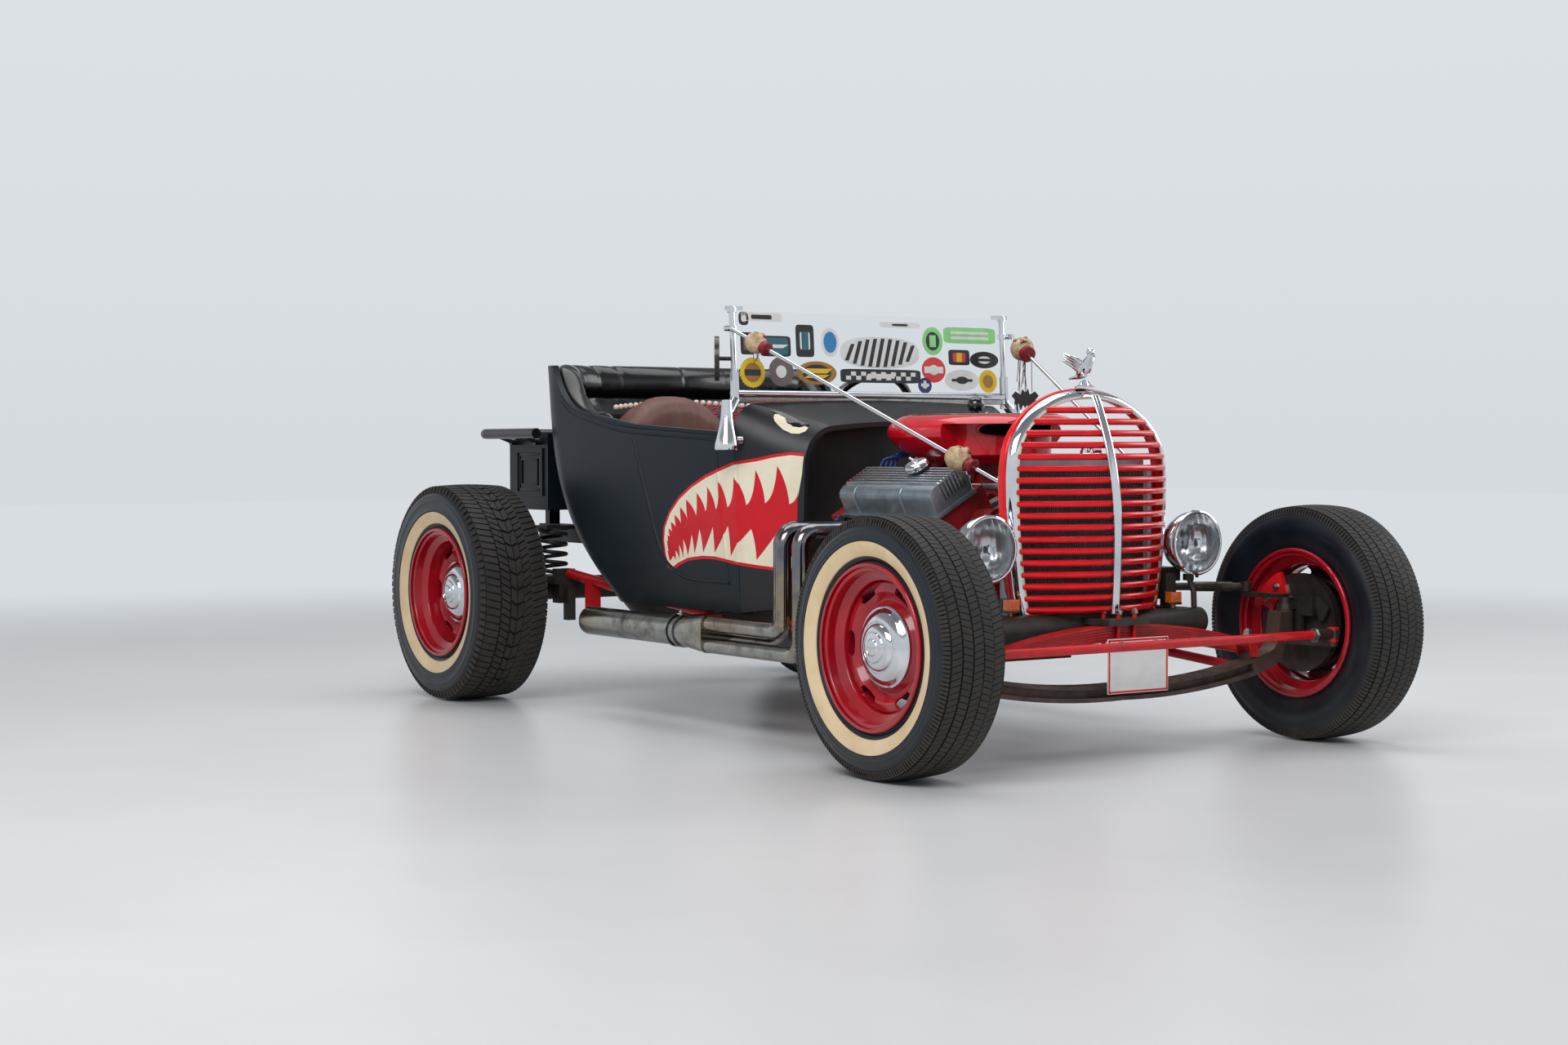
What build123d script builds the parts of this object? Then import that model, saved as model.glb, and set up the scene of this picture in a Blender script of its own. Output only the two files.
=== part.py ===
from build123d import *
from math import asin, cos, radians, sin, sqrt
import os

os.makedirs("parts", exist_ok=True)

# Driving dimensions in millimetres. The nose looks along -Y, +X is the left-hand side, Z is up from
# the ground. A station is a distance behind the front axle.
wheelbase = 2360
front_half_track = 728
rear_half_track = 718
front_tyre_radius = 327
front_tyre_width = 195
rear_tyre_radius = 350
rear_tyre_width = 250
front_axle_y = -(wheelbase + rear_tyre_radius - front_tyre_radius) / 2

# Clearances: between pieces of one body, round a turning pin, and between faces that swing past.
seat_gap = 0.3
pin_gap = 0.3
swing_gap = 0.6


def station(distance):
    """Y of a point that lies this far behind the front axle."""
    return front_axle_y + distance


def keep(piece, label):
    """Labels a finished piece and writes it."""
    piece.part.label = label
    export_step(piece.part, f"parts/{label}.step")


def across(distance):
    """Upright plane across the car at a station: local x is X, local y is Z."""
    return Plane.XZ.offset(-station(distance))


def along(x):
    """Upright plane along the car: local x is Y, local y is Z."""
    return Plane.YZ.offset(x)


def block(x_range, station_range, z_range):
    """Adds a plain block to the part that is being built."""
    width = x_range[1] - x_range[0]
    length = station_range[1] - station_range[0]
    with BuildSketch(Plane.XY.offset(z_range[0])) as base:
        with Locations((x_range[0] + width / 2, station(station_range[0]) + length / 2)):
            Rectangle(width, length)
    extrude(base.sketch, amount=z_range[1] - z_range[0])


def rod(start, end, radius, mode=Mode.ADD):
    """Adds a round bar between two points, or cuts its bore."""
    direction = Vector(end) - Vector(start)
    with BuildSketch(Plane(origin=start, z_dir=direction)) as section:
        Circle(radius)
    extrude(section.sketch, amount=direction.length, mode=mode)


def pipe(points, radius, bend, wall=0):
    """Sweeps a round tube along straight runs joined by arcs."""
    with BuildLine() as route:
        FilletPolyline(*points, radius=bend)
    with BuildSketch(Plane(origin=route.line @ 0, z_dir=route.line % 0)) as section:
        Circle(radius)
        if wall:
            Circle(radius - wall, mode=Mode.SUBTRACT)
    sweep(section.sketch, path=route.line)


def mirrored(x):
    """Both sides of the car."""
    return (-x, x)


def crown(radius, height):
    """Middle point of the arc that closes a round dome, with its centre on the dome's axis."""
    ball = (radius**2 + height**2) / (2 * height)
    half_turn = asin(radius / ball) / 2
    return height - ball + ball * cos(half_turn), ball * sin(half_turn)


# Wheels and tyres
rim_flange_radius = 208
rim_seat_radius = 190.5
rim_drop_radius = 168
rim_sheet = 4
rim_lip = 9
front_rim_half = 76
rear_rim_half = 102
disc_face = 25
disc_sheet = 6
cap_radius = 102.5
cap_height = 48
hub_radius = 34
hub_bore = 17.3
spindle_radius = hub_bore - pin_gap
slot_count = 6
slot_radius = 144
slot_length = 68
slot_width = 24

# Brakes: rotor at the front, drum at the rear, each with its own radius and place inboard of the
# wheel's middle plane
rotor_radius = 137
rotor_inner = -62
rotor_outer = -40
drum_radius = 140
drum_inner = -75
drum_outer = -15

corners = [
    # name, side, station, half track
    ("front_right", -1, 0, front_half_track),
    ("front_left", 1, 0, front_half_track),
    ("rear_right", -1, wheelbase, rear_half_track),
    ("rear_left", 1, wheelbase, rear_half_track),
]
wheel_sizes = {
    # station: tyre radius, tyre width, rim half width, brake radius, its inner and outer face
    0: (front_tyre_radius, front_tyre_width, front_rim_half, rotor_radius, rotor_inner, rotor_outer),
    wheelbase: (rear_tyre_radius, rear_tyre_width, rear_rim_half, drum_radius, drum_inner, drum_outer),
}


def wheel_plane(side, distance, half_track, radius):
    """Plane through the wheel's axis: local x points outboard from the tyre's middle, local y up."""
    return Plane(
        origin=(side * half_track, station(distance), radius),
        x_dir=(side, 0, 0),
        z_dir=(0, -side, 0),
    )


for name, side, distance, half_track in corners:
    tyre_radius, tyre_width, rim_half, brake_radius, brake_inner, brake_outer = wheel_sizes[distance]
    middle = wheel_plane(side, distance, half_track, tyre_radius)
    axis = Axis(middle.origin, (side, 0, 0))
    bead = rim_half - seat_gap
    belly = tyre_width / 2
    shoulder = belly - 12

    with BuildPart() as tyre:
        with BuildSketch(middle):
            with BuildLine():
                Line((-bead, rim_seat_radius + seat_gap), (bead, rim_seat_radius + seat_gap))
                Line((bead, rim_seat_radius + seat_gap), (bead, rim_flange_radius + 3))
                ThreePointArc(
                    (bead, rim_flange_radius + 3),
                    (belly, (rim_flange_radius + tyre_radius) / 2 - 4),
                    (belly - 5, tyre_radius - 28),
                )
                ThreePointArc(
                    (belly - 5, tyre_radius - 28),
                    (belly - 8, tyre_radius - 14),
                    (shoulder - 4, tyre_radius - 5),
                )
                ThreePointArc(
                    (shoulder - 4, tyre_radius - 5), (0, tyre_radius), (-shoulder + 4, tyre_radius - 5)
                )
                ThreePointArc(
                    (-shoulder + 4, tyre_radius - 5),
                    (-belly + 8, tyre_radius - 14),
                    (-belly + 5, tyre_radius - 28),
                )
                ThreePointArc(
                    (-belly + 5, tyre_radius - 28),
                    (-belly, (rim_flange_radius + tyre_radius) / 2 - 4),
                    (-bead, rim_flange_radius + 3),
                )
                Line((-bead, rim_flange_radius + 3), (-bead, rim_seat_radius + seat_gap))
            make_face()
        revolve(axis=axis)
    keep(tyre, f"tyre_{name}")

    half_sheet = rim_sheet / 2
    seat = rim_seat_radius - half_sheet
    drop = rim_drop_radius - half_sheet
    with BuildPart() as rim:
        with BuildSketch(middle):
            with BuildLine():
                FilletPolyline(
                    (rim_half + rim_lip, rim_flange_radius - 8),
                    (rim_half + rim_lip, rim_flange_radius - half_sheet),
                    (rim_half + half_sheet, rim_flange_radius - half_sheet),
                    (rim_half + half_sheet, seat),
                    (rim_half - 24, seat),
                    (rim_half - 36, drop),
                    (-rim_half + 36, drop),
                    (-rim_half + 24, seat),
                    (-rim_half - half_sheet, seat),
                    (-rim_half - half_sheet, rim_flange_radius - half_sheet),
                    (-rim_half - rim_lip, rim_flange_radius - half_sheet),
                    (-rim_half - rim_lip, rim_flange_radius - 8),
                    radius=2.5,
                )
                offset(amount=half_sheet)
            make_face()
        revolve(axis=axis)
        # Pressed disc: a rolled edge, a raised shoulder with slots and a nave for the cap
        with BuildSketch(middle):
            with BuildLine():
                FilletPolyline(
                    (disc_face - 26, drop - half_sheet - disc_sheet / 2 + 0.5),
                    (disc_face + 4, drop - half_sheet - disc_sheet / 2 + 0.5),
                    (disc_face + 8, slot_radius - 4),
                    (disc_face - 14, cap_radius + 14),
                    (disc_face + 2, cap_radius - 4),
                    (disc_face + 2, hub_radius - 6),
                    radius=6,
                )
                offset(amount=disc_sheet / 2)
            make_face()
        revolve(axis=axis)
        # Slots through the shoulder
        slot_plane = Plane(
            origin=middle.origin, x_dir=(0, 1, 0), z_dir=(side, 0, 0)
        ).offset(disc_face - 20)
        with BuildSketch(slot_plane):
            with PolarLocations(slot_radius, slot_count):
                RectangleRounded(slot_width, slot_length, slot_width / 2 - 1)
        extrude(amount=40, mode=Mode.SUBTRACT)
        # Hub and brake
        rod(middle.from_local_coords((brake_outer - 1, 0, 0)),
            middle.from_local_coords((disc_face + 1, 0, 0)), hub_radius + 26)
        rod(middle.from_local_coords((brake_inner, 0, 0)),
            middle.from_local_coords((brake_outer, 0, 0)), brake_radius)
        rod(middle.from_local_coords((brake_inner - 1, 0, 0)),
            middle.from_local_coords((disc_face - 20, 0, 0)), hub_bore, Mode.SUBTRACT)
    keep(rim, f"rim_{name}")

    with BuildPart() as cap:
        base = disc_face + 2 + disc_sheet / 2 + seat_gap
        with BuildSketch(middle):
            with BuildLine():
                Line((base, 0), (base, cap_radius))
                Line((base, cap_radius), (base + 5, cap_radius))
                ThreePointArc(
                    (base + 5, cap_radius), (base + 22, cap_radius - 12), (base + 31, cap_radius - 38)
                )
                Line((base + 31, cap_radius - 38), (base + 27, cap_radius - 41))
                ThreePointArc(
                    (base + 27, cap_radius - 41), (base + 38, cap_radius - 58), (base + 43, cap_radius - 70)
                )
                dome = crown(cap_radius - 70, cap_height - 43)
                ThreePointArc(
                    (base + 43, cap_radius - 70), (base + 43 + dome[0], dome[1]), (base + cap_height, 0)
                )
                Line((base + cap_height, 0), (base, 0))
            make_face()
        revolve(axis=axis)
    keep(cap, f"cap_{name}")

# Front axle: a dropped I-beam with upright ends that carry the kingpins
kingpin_x = 612
kingpin_radius = 11
kingpin_boss = 22
boss_low = 288
boss_high = 366
beam_width = 50
beam_flange = 15
beam_web = 14
with BuildPart() as front_axle:
    with BuildSketch(across(-beam_width / 2)):
        with BuildLine():
            ThreePointArc((0, 153), (250, 160), (478, 192))
            Line((478, 192), (546, 214))
            ThreePointArc((546, 214), (577, 240), (584, 290))
            Line((584, 290), (606, 290))
            Line((606, 290), (606, 360))
            Line((606, 360), (572, 360))
            Line((572, 360), (564, 300))
            ThreePointArc((564, 300), (552, 268), (520, 252))
            Line((520, 252), (462, 236))
            ThreePointArc((462, 236), (245, 204), (0, 197))
            Line((0, 197), (0, 153))
        make_face()
        mirror(about=Plane.YZ)
    extrude(amount=-beam_width)
    # Channels on the front and rear of the beam
    for face, reach in ((-beam_width / 2, -1), (beam_width / 2, 1)):
        with BuildSketch(across(face)):
            with BuildLine():
                ThreePointArc((0, 164), (245, 171), (470, 203))
                Line((470, 203), (462, 225))
                ThreePointArc((462, 225), (245, 193), (0, 186))
                Line((0, 186), (0, 164))
            make_face()
            mirror(about=Plane.YZ)
        extrude(amount=reach * (beam_width - beam_web) / 2, mode=Mode.SUBTRACT)
    for x in mirrored(kingpin_x):
        rod((x, station(0), boss_low), (x, station(0), boss_high), kingpin_boss)
    for x in mirrored(kingpin_x):
        rod((x, station(0), boss_low - 1), (x, station(0), boss_high + 1), kingpin_radius + pin_gap,
            Mode.SUBTRACT)
    # Spring perches on the beam
    for x in mirrored(470):
        rod((x, station(-18), 246), (x, station(18), 246), 11)
        block((x - 11, x + 11), (-18, 18), (226, 246))
keep(front_axle, "front_axle")

# Knuckles: yoke, kingpin, spindle, steering arms and caliper
arm_reach = 150
arm_spread = 30
arm_z = 284
arm_thick = 12
tie_pin_radius = 7
tie_eye_radius = 15
tie_z = 306
link_reach = 150
link_z = 420
yoke_thick = 16
caliper_gap = 5.5
caliper_thick = 10.5
steer_arms = [
    # label, side
    ("right", -1),
    ("left", 1),
]
for label, side in steer_arms:
    pin = (side * kingpin_x, station(0))
    low_top = boss_low - swing_gap
    high_bottom = boss_high + swing_gap
    tie_pin = (side * (kingpin_x + arm_spread), station(-arm_reach))
    with BuildPart() as knuckle:
        rod((*pin, low_top - yoke_thick), (*pin, high_bottom + yoke_thick), kingpin_radius)
        rod((*pin, low_top - yoke_thick), (*pin, low_top), kingpin_boss)
        rod((*pin, high_bottom), (*pin, high_bottom + yoke_thick), kingpin_boss)
        # Upright plate outboard of the beam's end, and the spindle
        plate_in = kingpin_x + kingpin_boss + 3
        inner, outer = sorted((side * plate_in, side * (plate_in + 14)))
        block((inner, outer), (-36, 36), (low_top - yoke_thick, high_bottom + yoke_thick))
        for low in (low_top - yoke_thick, high_bottom):
            inner, outer = sorted((side * kingpin_x, side * (plate_in + 1)))
            block((inner, outer), (-20, 20), (low, low + yoke_thick))
        rod((side * (plate_in + 10), station(0), front_tyre_radius),
            (side * (front_half_track - 20), station(0), front_tyre_radius), spindle_radius)
        # Forward arm to the tie rod, under the rod's eye
        with BuildSketch(Plane.XY.offset(low_top - yoke_thick)):
            with BuildLine():
                Polyline(
                    (pin[0] - side * 14, pin[1] - 12),
                    (tie_pin[0] - side * 14, tie_pin[1]),
                    (tie_pin[0] + side * 14, tie_pin[1]),
                    (pin[0] + side * 32, pin[1] - 12),
                    close=True,
                )
            make_face()
            with Locations(tie_pin):
                Circle(14)
        extrude(amount=arm_thick)
        # Caliper ahead of the spindle, on a bracket beside the rotor
        caliper_out = front_half_track + rotor_inner - caliper_gap
        block(sorted((side * plate_in, side * (caliper_out - 1))), (-78, -30), (350, 402))
        with BuildSketch(along(side * caliper_out)) as pad_holder:
            with BuildLine():
                Polyline(
                    (station(-96), front_tyre_radius - 6),
                    (station(-60), front_tyre_radius + 96),
                    (station(-128), front_tyre_radius + 50),
                    close=True,
                )
            make_face()
            fillet(pad_holder.vertices(), 12)
        extrude(amount=-side * caliper_thick)
    if side > 0:
        with BuildPart(mode=Mode.PRIVATE) as upper_arm:
            with BuildSketch(Plane.XY.offset(link_z - 24)):
                with BuildLine():
                    Polyline(
                        (pin[0] - 16, pin[1]),
                        (pin[0] - 12, pin[1] + link_reach),
                        (pin[0] + 12, pin[1] + link_reach),
                        (pin[0] + 16, pin[1]),
                        close=True,
                    )
                make_face()
                with Locations((pin[0], pin[1] + link_reach)):
                    Circle(13)
            extrude(amount=arm_thick)
            rod((*pin, high_bottom + yoke_thick - 1), (*pin, link_z - 20), 16)
            rod((pin[0], pin[1] + link_reach, link_z - 14), (pin[0], pin[1] + link_reach, link_z + 16), 6)
        with BuildPart() as full_knuckle:
            add(knuckle.part)
            add(upper_arm.part)
        knuckle = full_knuckle
    keep(knuckle, f"knuckle_{label}")

# Tie rod ahead of the axle, hinged at the right-hand arm
tie_rod_radius = 12
eye_low = boss_low - swing_gap - yoke_thick + arm_thick + swing_gap
with BuildPart() as tie_rod:
    ends = mirrored(kingpin_x + arm_spread)
    rod((ends[0] + 10, station(-arm_reach), tie_z), (ends[1] - 10, station(-arm_reach), tie_z),
        tie_rod_radius)
    for x in ends:
        rod((x, station(-arm_reach), eye_low), (x, station(-arm_reach), tie_z + 18), tie_eye_radius)
keep(tie_rod, "tie_rod")

# Pitman arm under the steering box, and the drag link to the left-hand knuckle
pitman_x = 330
pitman_station = 200
link_radius = 11
box_low = link_z + 26
with BuildPart() as pitman_arm:
    with BuildSketch(Plane.XY.offset(link_z - 24)):
        with BuildLine():
            Polyline(
                (pitman_x - 15, station(pitman_station)),
                (pitman_x - 11, station(pitman_station + link_reach)),
                (pitman_x + 11, station(pitman_station + link_reach)),
                (pitman_x + 15, station(pitman_station)),
                close=True,
            )
        make_face()
        with Locations((pitman_x, station(pitman_station))):
            Circle(20)
        with Locations((pitman_x, station(pitman_station + link_reach))):
            Circle(13)
    extrude(amount=arm_thick)
    pin_station = station(pitman_station + link_reach)
    rod((pitman_x, pin_station, link_z - 14), (pitman_x, pin_station, link_z + 16), 6)
    rod((pitman_x, station(pitman_station), link_z - 14),
        (pitman_x, station(pitman_station), box_low - swing_gap), 12)
keep(pitman_arm, "pitman_arm")

with BuildPart() as drag_link:
    pins = [
        Vector(pitman_x, station(pitman_station + link_reach), link_z),
        Vector(kingpin_x, station(link_reach), link_z),
    ]
    run = (pins[1] - pins[0]).normalized()
    lift = Vector(0, 0, 2)
    rod(pins[0] + run * 12 + lift, pins[1] - run * 12 + lift, link_radius)
    rod(pins[0] + run * 200 + lift, pins[1] - run * 40 + lift, 14)
    for pin in pins:
        rod(pin - Vector(0, 0, 11), pin + Vector(0, 0, 15), 17)
    for pin in pins:
        rod(pin - Vector(0, 0, 12), pin + Vector(0, 0, 17), 6 + pin_gap, Mode.SUBTRACT)
keep(drag_link, "drag_link")

# Frame: two rails with a kick-up over the rear axle, a round front tube and crossmembers
rail_x = 310
rail_width = 50
rail_low = 300
rail_high = 378
tube_station = 95
tube_radius = 37
tube_z = 340
rail_front = tube_station
kick_start = wheelbase - 560
kick_end = wheelbase - 160
kick_low = 500
kick_high = 560
rail_rear = wheelbase + 220
tube_half = 378
strap_stations = (1420, wheelbase - 720)
strap_low = 262
strap_high = 280
leaf_top = 350
leaf_width = 45
clamp_x = 28
clamp_radius = 6
clamp_reach = leaf_width / 2 + clamp_radius + seat_gap
spring_x = 408
coil_radius = 45
with BuildPart() as chassis_frame:
    for x in mirrored(rail_x):
        with BuildSketch(along(x - rail_width / 2)):
            with BuildLine():
                Polyline(
                    (station(rail_front), rail_low),
                    (station(kick_start), rail_low),
                    (station(kick_end), kick_low),
                    (station(rail_rear), kick_low),
                    (station(rail_rear), kick_high),
                    (station(kick_end - 30), kick_high),
                    (station(kick_start - 30), rail_high),
                    (station(rail_front), rail_high),
                    close=True,
                )
            make_face()
        extrude(amount=rail_width)
    rod((-tube_half, station(tube_station), tube_z), (tube_half, station(tube_station), tube_z),
        tube_radius)
    # Saddle over the front spring, bored for its clamps
    block((-70, 70), (-42, tube_station), (leaf_top + seat_gap, leaf_top + 16))
    for x in mirrored(clamp_x):
        for distance in mirrored(clamp_reach):
            rod((x, station(distance), leaf_top), (x, station(distance), leaf_top + 17),
                clamp_radius + pin_gap, Mode.SUBTRACT)
    # Engine mounts, straps under the gearbox and shaft, crossmembers behind the tub
    for side in (-1, 1):
        block(sorted((side * 200.4, side * rail_x)), (540, 590), (335, rail_high))
    for distance in strap_stations:
        block((-rail_x - rail_width / 2, rail_x + rail_width / 2), (distance - 20, distance + 20),
              (strap_low, strap_high))
        for side in (-1, 1):
            block(sorted((side * (rail_x - 20), side * (rail_x + 20))), (distance - 20, distance + 20),
                  (strap_high, rail_low))
    for distance in (wheelbase - 145, wheelbase + 190):
        block((-rail_x, rail_x), (distance - 20, distance + 20), (kick_low + 5, kick_high - 5))
    # Outriggers for the rear springs and the arms' brackets
    for side in (-1, 1):
        block(sorted((side * rail_x, side * (spring_x + coil_radius + 3))),
              (wheelbase - 58, wheelbase + 38), (kick_high - 12, kick_high))
        for distance in (1300, 935):
            block(sorted((side * rail_x, side * 415)), (distance, distance + 30), (268, 292))
            block(sorted((side * (rail_x - 20), side * (rail_x + 20))), (distance, distance + 30),
                  (268, rail_low))
            block(sorted((side * 378, side * 415)), (distance, distance + 30), (292, 338))
keep(chassis_frame, "frame")

# Front leaf spring: stepped leaves across the car, with its U-bolts
leaf_thick = 7
leaf_drop = 62
leaves = [
    # half length, count from the top down
    (452, 0), (400, 1), (345, 2), (290, 3), (235, 4), (180, 5),
]
with BuildPart() as leaf_spring:
    for half_length, count in leaves:
        top = leaf_top - count * leaf_thick
        sag = leaf_drop * (half_length / leaves[0][0]) ** 2
        middle_sag = leaf_drop * (half_length / 2 / leaves[0][0]) ** 2
        with BuildSketch(across(-leaf_width / 2)):
            with BuildLine():
                ThreePointArc((-half_length, top - sag), (0, top), (half_length, top - sag))
                Line((half_length, top - sag), (half_length, top - sag - leaf_thick))
                ThreePointArc(
                    (half_length, top - sag - leaf_thick), (0, top - leaf_thick),
                    (-half_length, top - sag - leaf_thick),
                )
                Line((-half_length, top - sag - leaf_thick), (-half_length, top - sag))
            make_face()
        extrude(amount=-leaf_width)
    # Eyes and shackles down to the perches
    for x in mirrored(leaves[0][0] + 8):
        rod((x, station(-leaf_width / 2), leaf_top - leaf_drop - 6),
            (x, station(leaf_width / 2), leaf_top - leaf_drop - 6), 13)
    for x, end in ((-leaves[0][0] - 8, -470), (leaves[0][0] + 8, 470)):
        for face in (-leaf_width / 2 - 6, leaf_width / 2):
            with BuildSketch(across(face)):
                with BuildLine():
                    Polyline(
                        (x - 12, leaf_top - leaf_drop), (x + 12, leaf_top - leaf_drop),
                        (end + 12, 243), (end - 12, 243), close=True,
                    )
                make_face()
            extrude(amount=-6)
    # U-bolts that clamp the spring to the saddle
    for x in mirrored(clamp_x):
        pipe(
            [(x, station(-clamp_reach), 385), (x, station(-clamp_reach), 290),
             (x, station(clamp_reach), 290), (x, station(clamp_reach), 385)],
            clamp_radius, 8,
        )
keep(leaf_spring, "leaf_spring")

# Locating arms: front hairpins and rear trailing arms
arm_radius = 13
hairpin_x = 500
hairpin_station = beam_width / 2 + arm_radius - 1 + seat_gap
trail_radius = 17
trail_rear = (wheelbase - 114, 402)
trail_front = (1385, 318)
post_start = wheelbase - 285
with BuildPart() as locating_arms:
    for side in (-1, 1):
        pipe(
            [(side * hairpin_x, station(hairpin_station), 258), (side * 403, station(860), 318),
             (side * 398, station(931), 316)],
            arm_radius, 120,
        )
        pipe(
            [(side * hairpin_x, station(hairpin_station), 205), (side * 402, station(860), 292),
             (side * 398, station(931), 298)],
            arm_radius, 120,
        )
        rod((side * hairpin_x, station(hairpin_station), 192),
            (side * hairpin_x, station(hairpin_station), 271), arm_radius - 1)
    for side in (-1, 1):
        rod((side * 400, station(trail_rear[0]), trail_rear[1]),
            (side * 398, station(trail_front[0]), trail_front[1]), trail_radius)
        block((side * 400 - 19, side * 400 + 19), (post_start, post_start + 37), (292, 385))
        rod((side * 398, station(trail_front[0] + 3), trail_front[1]),
            (side * 398, station(1331.5), 312), 11)
keep(locating_arms, "locating_arms")

# Rear axle: housing, differential, brackets; coil springs stand on it
axle_tube = 38
nose_reach = 230
coil_wire = 7
coil_turns = 4
spring_seat = rear_tyre_radius + axle_tube
with BuildPart() as rear_axle:
    rod((-600, station(wheelbase), rear_tyre_radius), (600, station(wheelbase), rear_tyre_radius),
        axle_tube)
    with BuildSketch(across(wheelbase)):
        with BuildLine():
            Line((-135, rear_tyre_radius), (135, rear_tyre_radius))
            ThreePointArc((135, rear_tyre_radius), (0, rear_tyre_radius + 125), (-135, rear_tyre_radius))
        make_face()
    revolve(axis=Axis((0, station(wheelbase), rear_tyre_radius), (1, 0, 0)))
    rod((0, station(wheelbase - nose_reach), rear_tyre_radius),
        (0, station(wheelbase), rear_tyre_radius), 48)
    for side in (-1, 1):
        rod((side * 598, station(wheelbase), rear_tyre_radius),
            (side * (rear_half_track + drum_inner - 6), station(wheelbase), rear_tyre_radius), 100)
        rod((side * 600, station(wheelbase), rear_tyre_radius),
            (side * (rear_half_track - 25), station(wheelbase), rear_tyre_radius), spindle_radius)
        block((side * spring_x - 48, side * spring_x + 48), (wheelbase - 110, wheelbase + 50),
              (spring_seat - 20, spring_seat + 6))
        block((side * spring_x - 30, side * spring_x + 30), (wheelbase - 110, wheelbase - 63),
              (rear_tyre_radius - 45, spring_seat + 30))
        block((side * spring_x - 14, side * spring_x + 14), (wheelbase - 140, wheelbase - 108), (250, 352))
keep(rear_axle, "rear_axle")

with BuildPart() as rear_springs:
    seat_low = spring_seat + 6 + seat_gap
    seat_high = kick_high - 12 - seat_gap
    cup = 6
    coil_low = seat_low + cup + coil_wire / 2
    coil_pitch = (seat_high - cup - coil_wire / 2 - coil_low) / coil_turns
    for side in (-1, 1):
        centre = (side * spring_x, station(wheelbase - 10))
        for turn in range(coil_turns + 1):
            level = coil_low + turn * coil_pitch
            with BuildSketch(Plane(origin=(centre[0] + coil_radius, centre[1], level), z_dir=(0, 1, 0))):
                Circle(coil_wire)
            revolve(axis=Axis((*centre, 0), (0, 0, 1)))
        # The wire climbs from turn to turn at the outer and inner side by turns
        for turn in range(coil_turns):
            level = coil_low + turn * coil_pitch
            climb_x = centre[0] + (-1) ** turn * coil_radius
            rod((climb_x, centre[1], level), (climb_x, centre[1], level + coil_pitch), coil_wire - 1)
        rod((*centre, seat_low), (*centre, seat_high), 12)
        for level in (seat_low, seat_high - cup):
            rod((*centre, level), (*centre, level + cup), coil_radius)
keep(rear_springs, "rear_springs")

# Engine: a V engine open to view, three ports a side
engine_front = 320
engine_rear = 820
bank = [(196, 715), (352, 625), (302, 538), (146, 628)]
with BuildPart() as engine_block:
    with BuildSketch(across(engine_front + 20)):
        with BuildLine():
            Polyline(
                (0, 640), (146, 628), (302, 538), (200, 430), (190, 330), (130, 300), (130, 232),
                (0, 232), close=True,
            )
        make_face()
        mirror(about=Plane.YZ)
    extrude(amount=-(engine_rear - engine_front - 40))
    for side in (-1, 1):
        with BuildSketch(across(engine_front + 8)):
            with BuildLine():
                Polyline(*[(side * x, z) for x, z in bank], close=True)
            make_face()
        extrude(amount=-(engine_rear - engine_front - 16))
    # Intake manifold and carburettor
    block((-110, 110), (430, 720), (600, 690))
    block((-62, 62), (500, 660), (690, 800))
    # Timing case, crank pulley, water pump and their shafts
    block((-120, 120), (engine_front - 30, engine_front + 30), (330, 610))
    rod((0, station(engine_front - 75), 365), (0, station(engine_front - 20), 365), 75)
    rod((0, station(engine_front - 75), 560), (0, station(engine_front - 20), 560), 60)
    rod((-190, station(engine_front - 60), 600), (-190, station(engine_front + 60), 600), 52)
    # Bell housing and distributor
    rod((0, station(engine_rear - 30), 400), (0, station(engine_rear + 95), 400), 150)
    rod((0, station(engine_rear - 60), 630), (0, station(engine_rear - 60), 770), 42)
keep(engine_block, "engine")

with BuildPart() as valve_covers:
    for side in (-1, 1):
        with BuildSketch(across(engine_front)):
            with BuildLine():
                Polyline(
                    (side * 196, 715 + seat_gap), (side * 222, 766), (side * 252, 775),
                    (side * 372, 706), (side * 378, 680), (side * 352, 625 + seat_gap), close=True,
                )
            make_face()
            fillet(vertices(), 6)
        extrude(amount=-(engine_rear - engine_front))
keep(valve_covers, "valve_covers")

with BuildPart() as breather:
    foot = Vector(-290, station(484), 753.2)
    lean = Vector(-0.498, 0, 0.867)
    rod(foot + lean * seat_gap, foot + lean * 12, 36)
    rod(foot + lean * 12, foot + lean * 38, 29)
keep(breather, "breather")

# Air scoop with a flat lid and an open mouth to the front
scoop_front = 262
scoop_rear = 758
scoop_half = 205
scoop_levels = [
    # height, share of the half width
    (800.5, 0.74), (868, 1.0), (910, 0.82),
]
with BuildPart() as scoop:
    for low, high in zip(scoop_levels, scoop_levels[1:]):
        for level, share in (low, high):
            half = scoop_half * share
            with BuildSketch(Plane.XY.offset(level)):
                with BuildLine():
                    Line((-half * 0.8, station(scoop_front)), (half * 0.8, station(scoop_front)))
                    Line((half * 0.8, station(scoop_front)), (half, station(scoop_front + 120)))
                    Line((half, station(scoop_front + 120)), (half, station(scoop_rear - half)))
                    ThreePointArc(
                        (half, station(scoop_rear - half)), (0, station(scoop_rear)),
                        (-half, station(scoop_rear - half)),
                    )
                    Line((-half, station(scoop_rear - half)), (-half, station(scoop_front + 120)))
                    Line((-half, station(scoop_front + 120)), (-half * 0.8, station(scoop_front)))
                make_face()
        loft(ruled=True)
    with BuildSketch(across(scoop_front)):
        with Locations((0, 858)):
            RectangleRounded(250, 62, 24)
    extrude(amount=-170, mode=Mode.SUBTRACT)
keep(scoop, "scoop")

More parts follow.
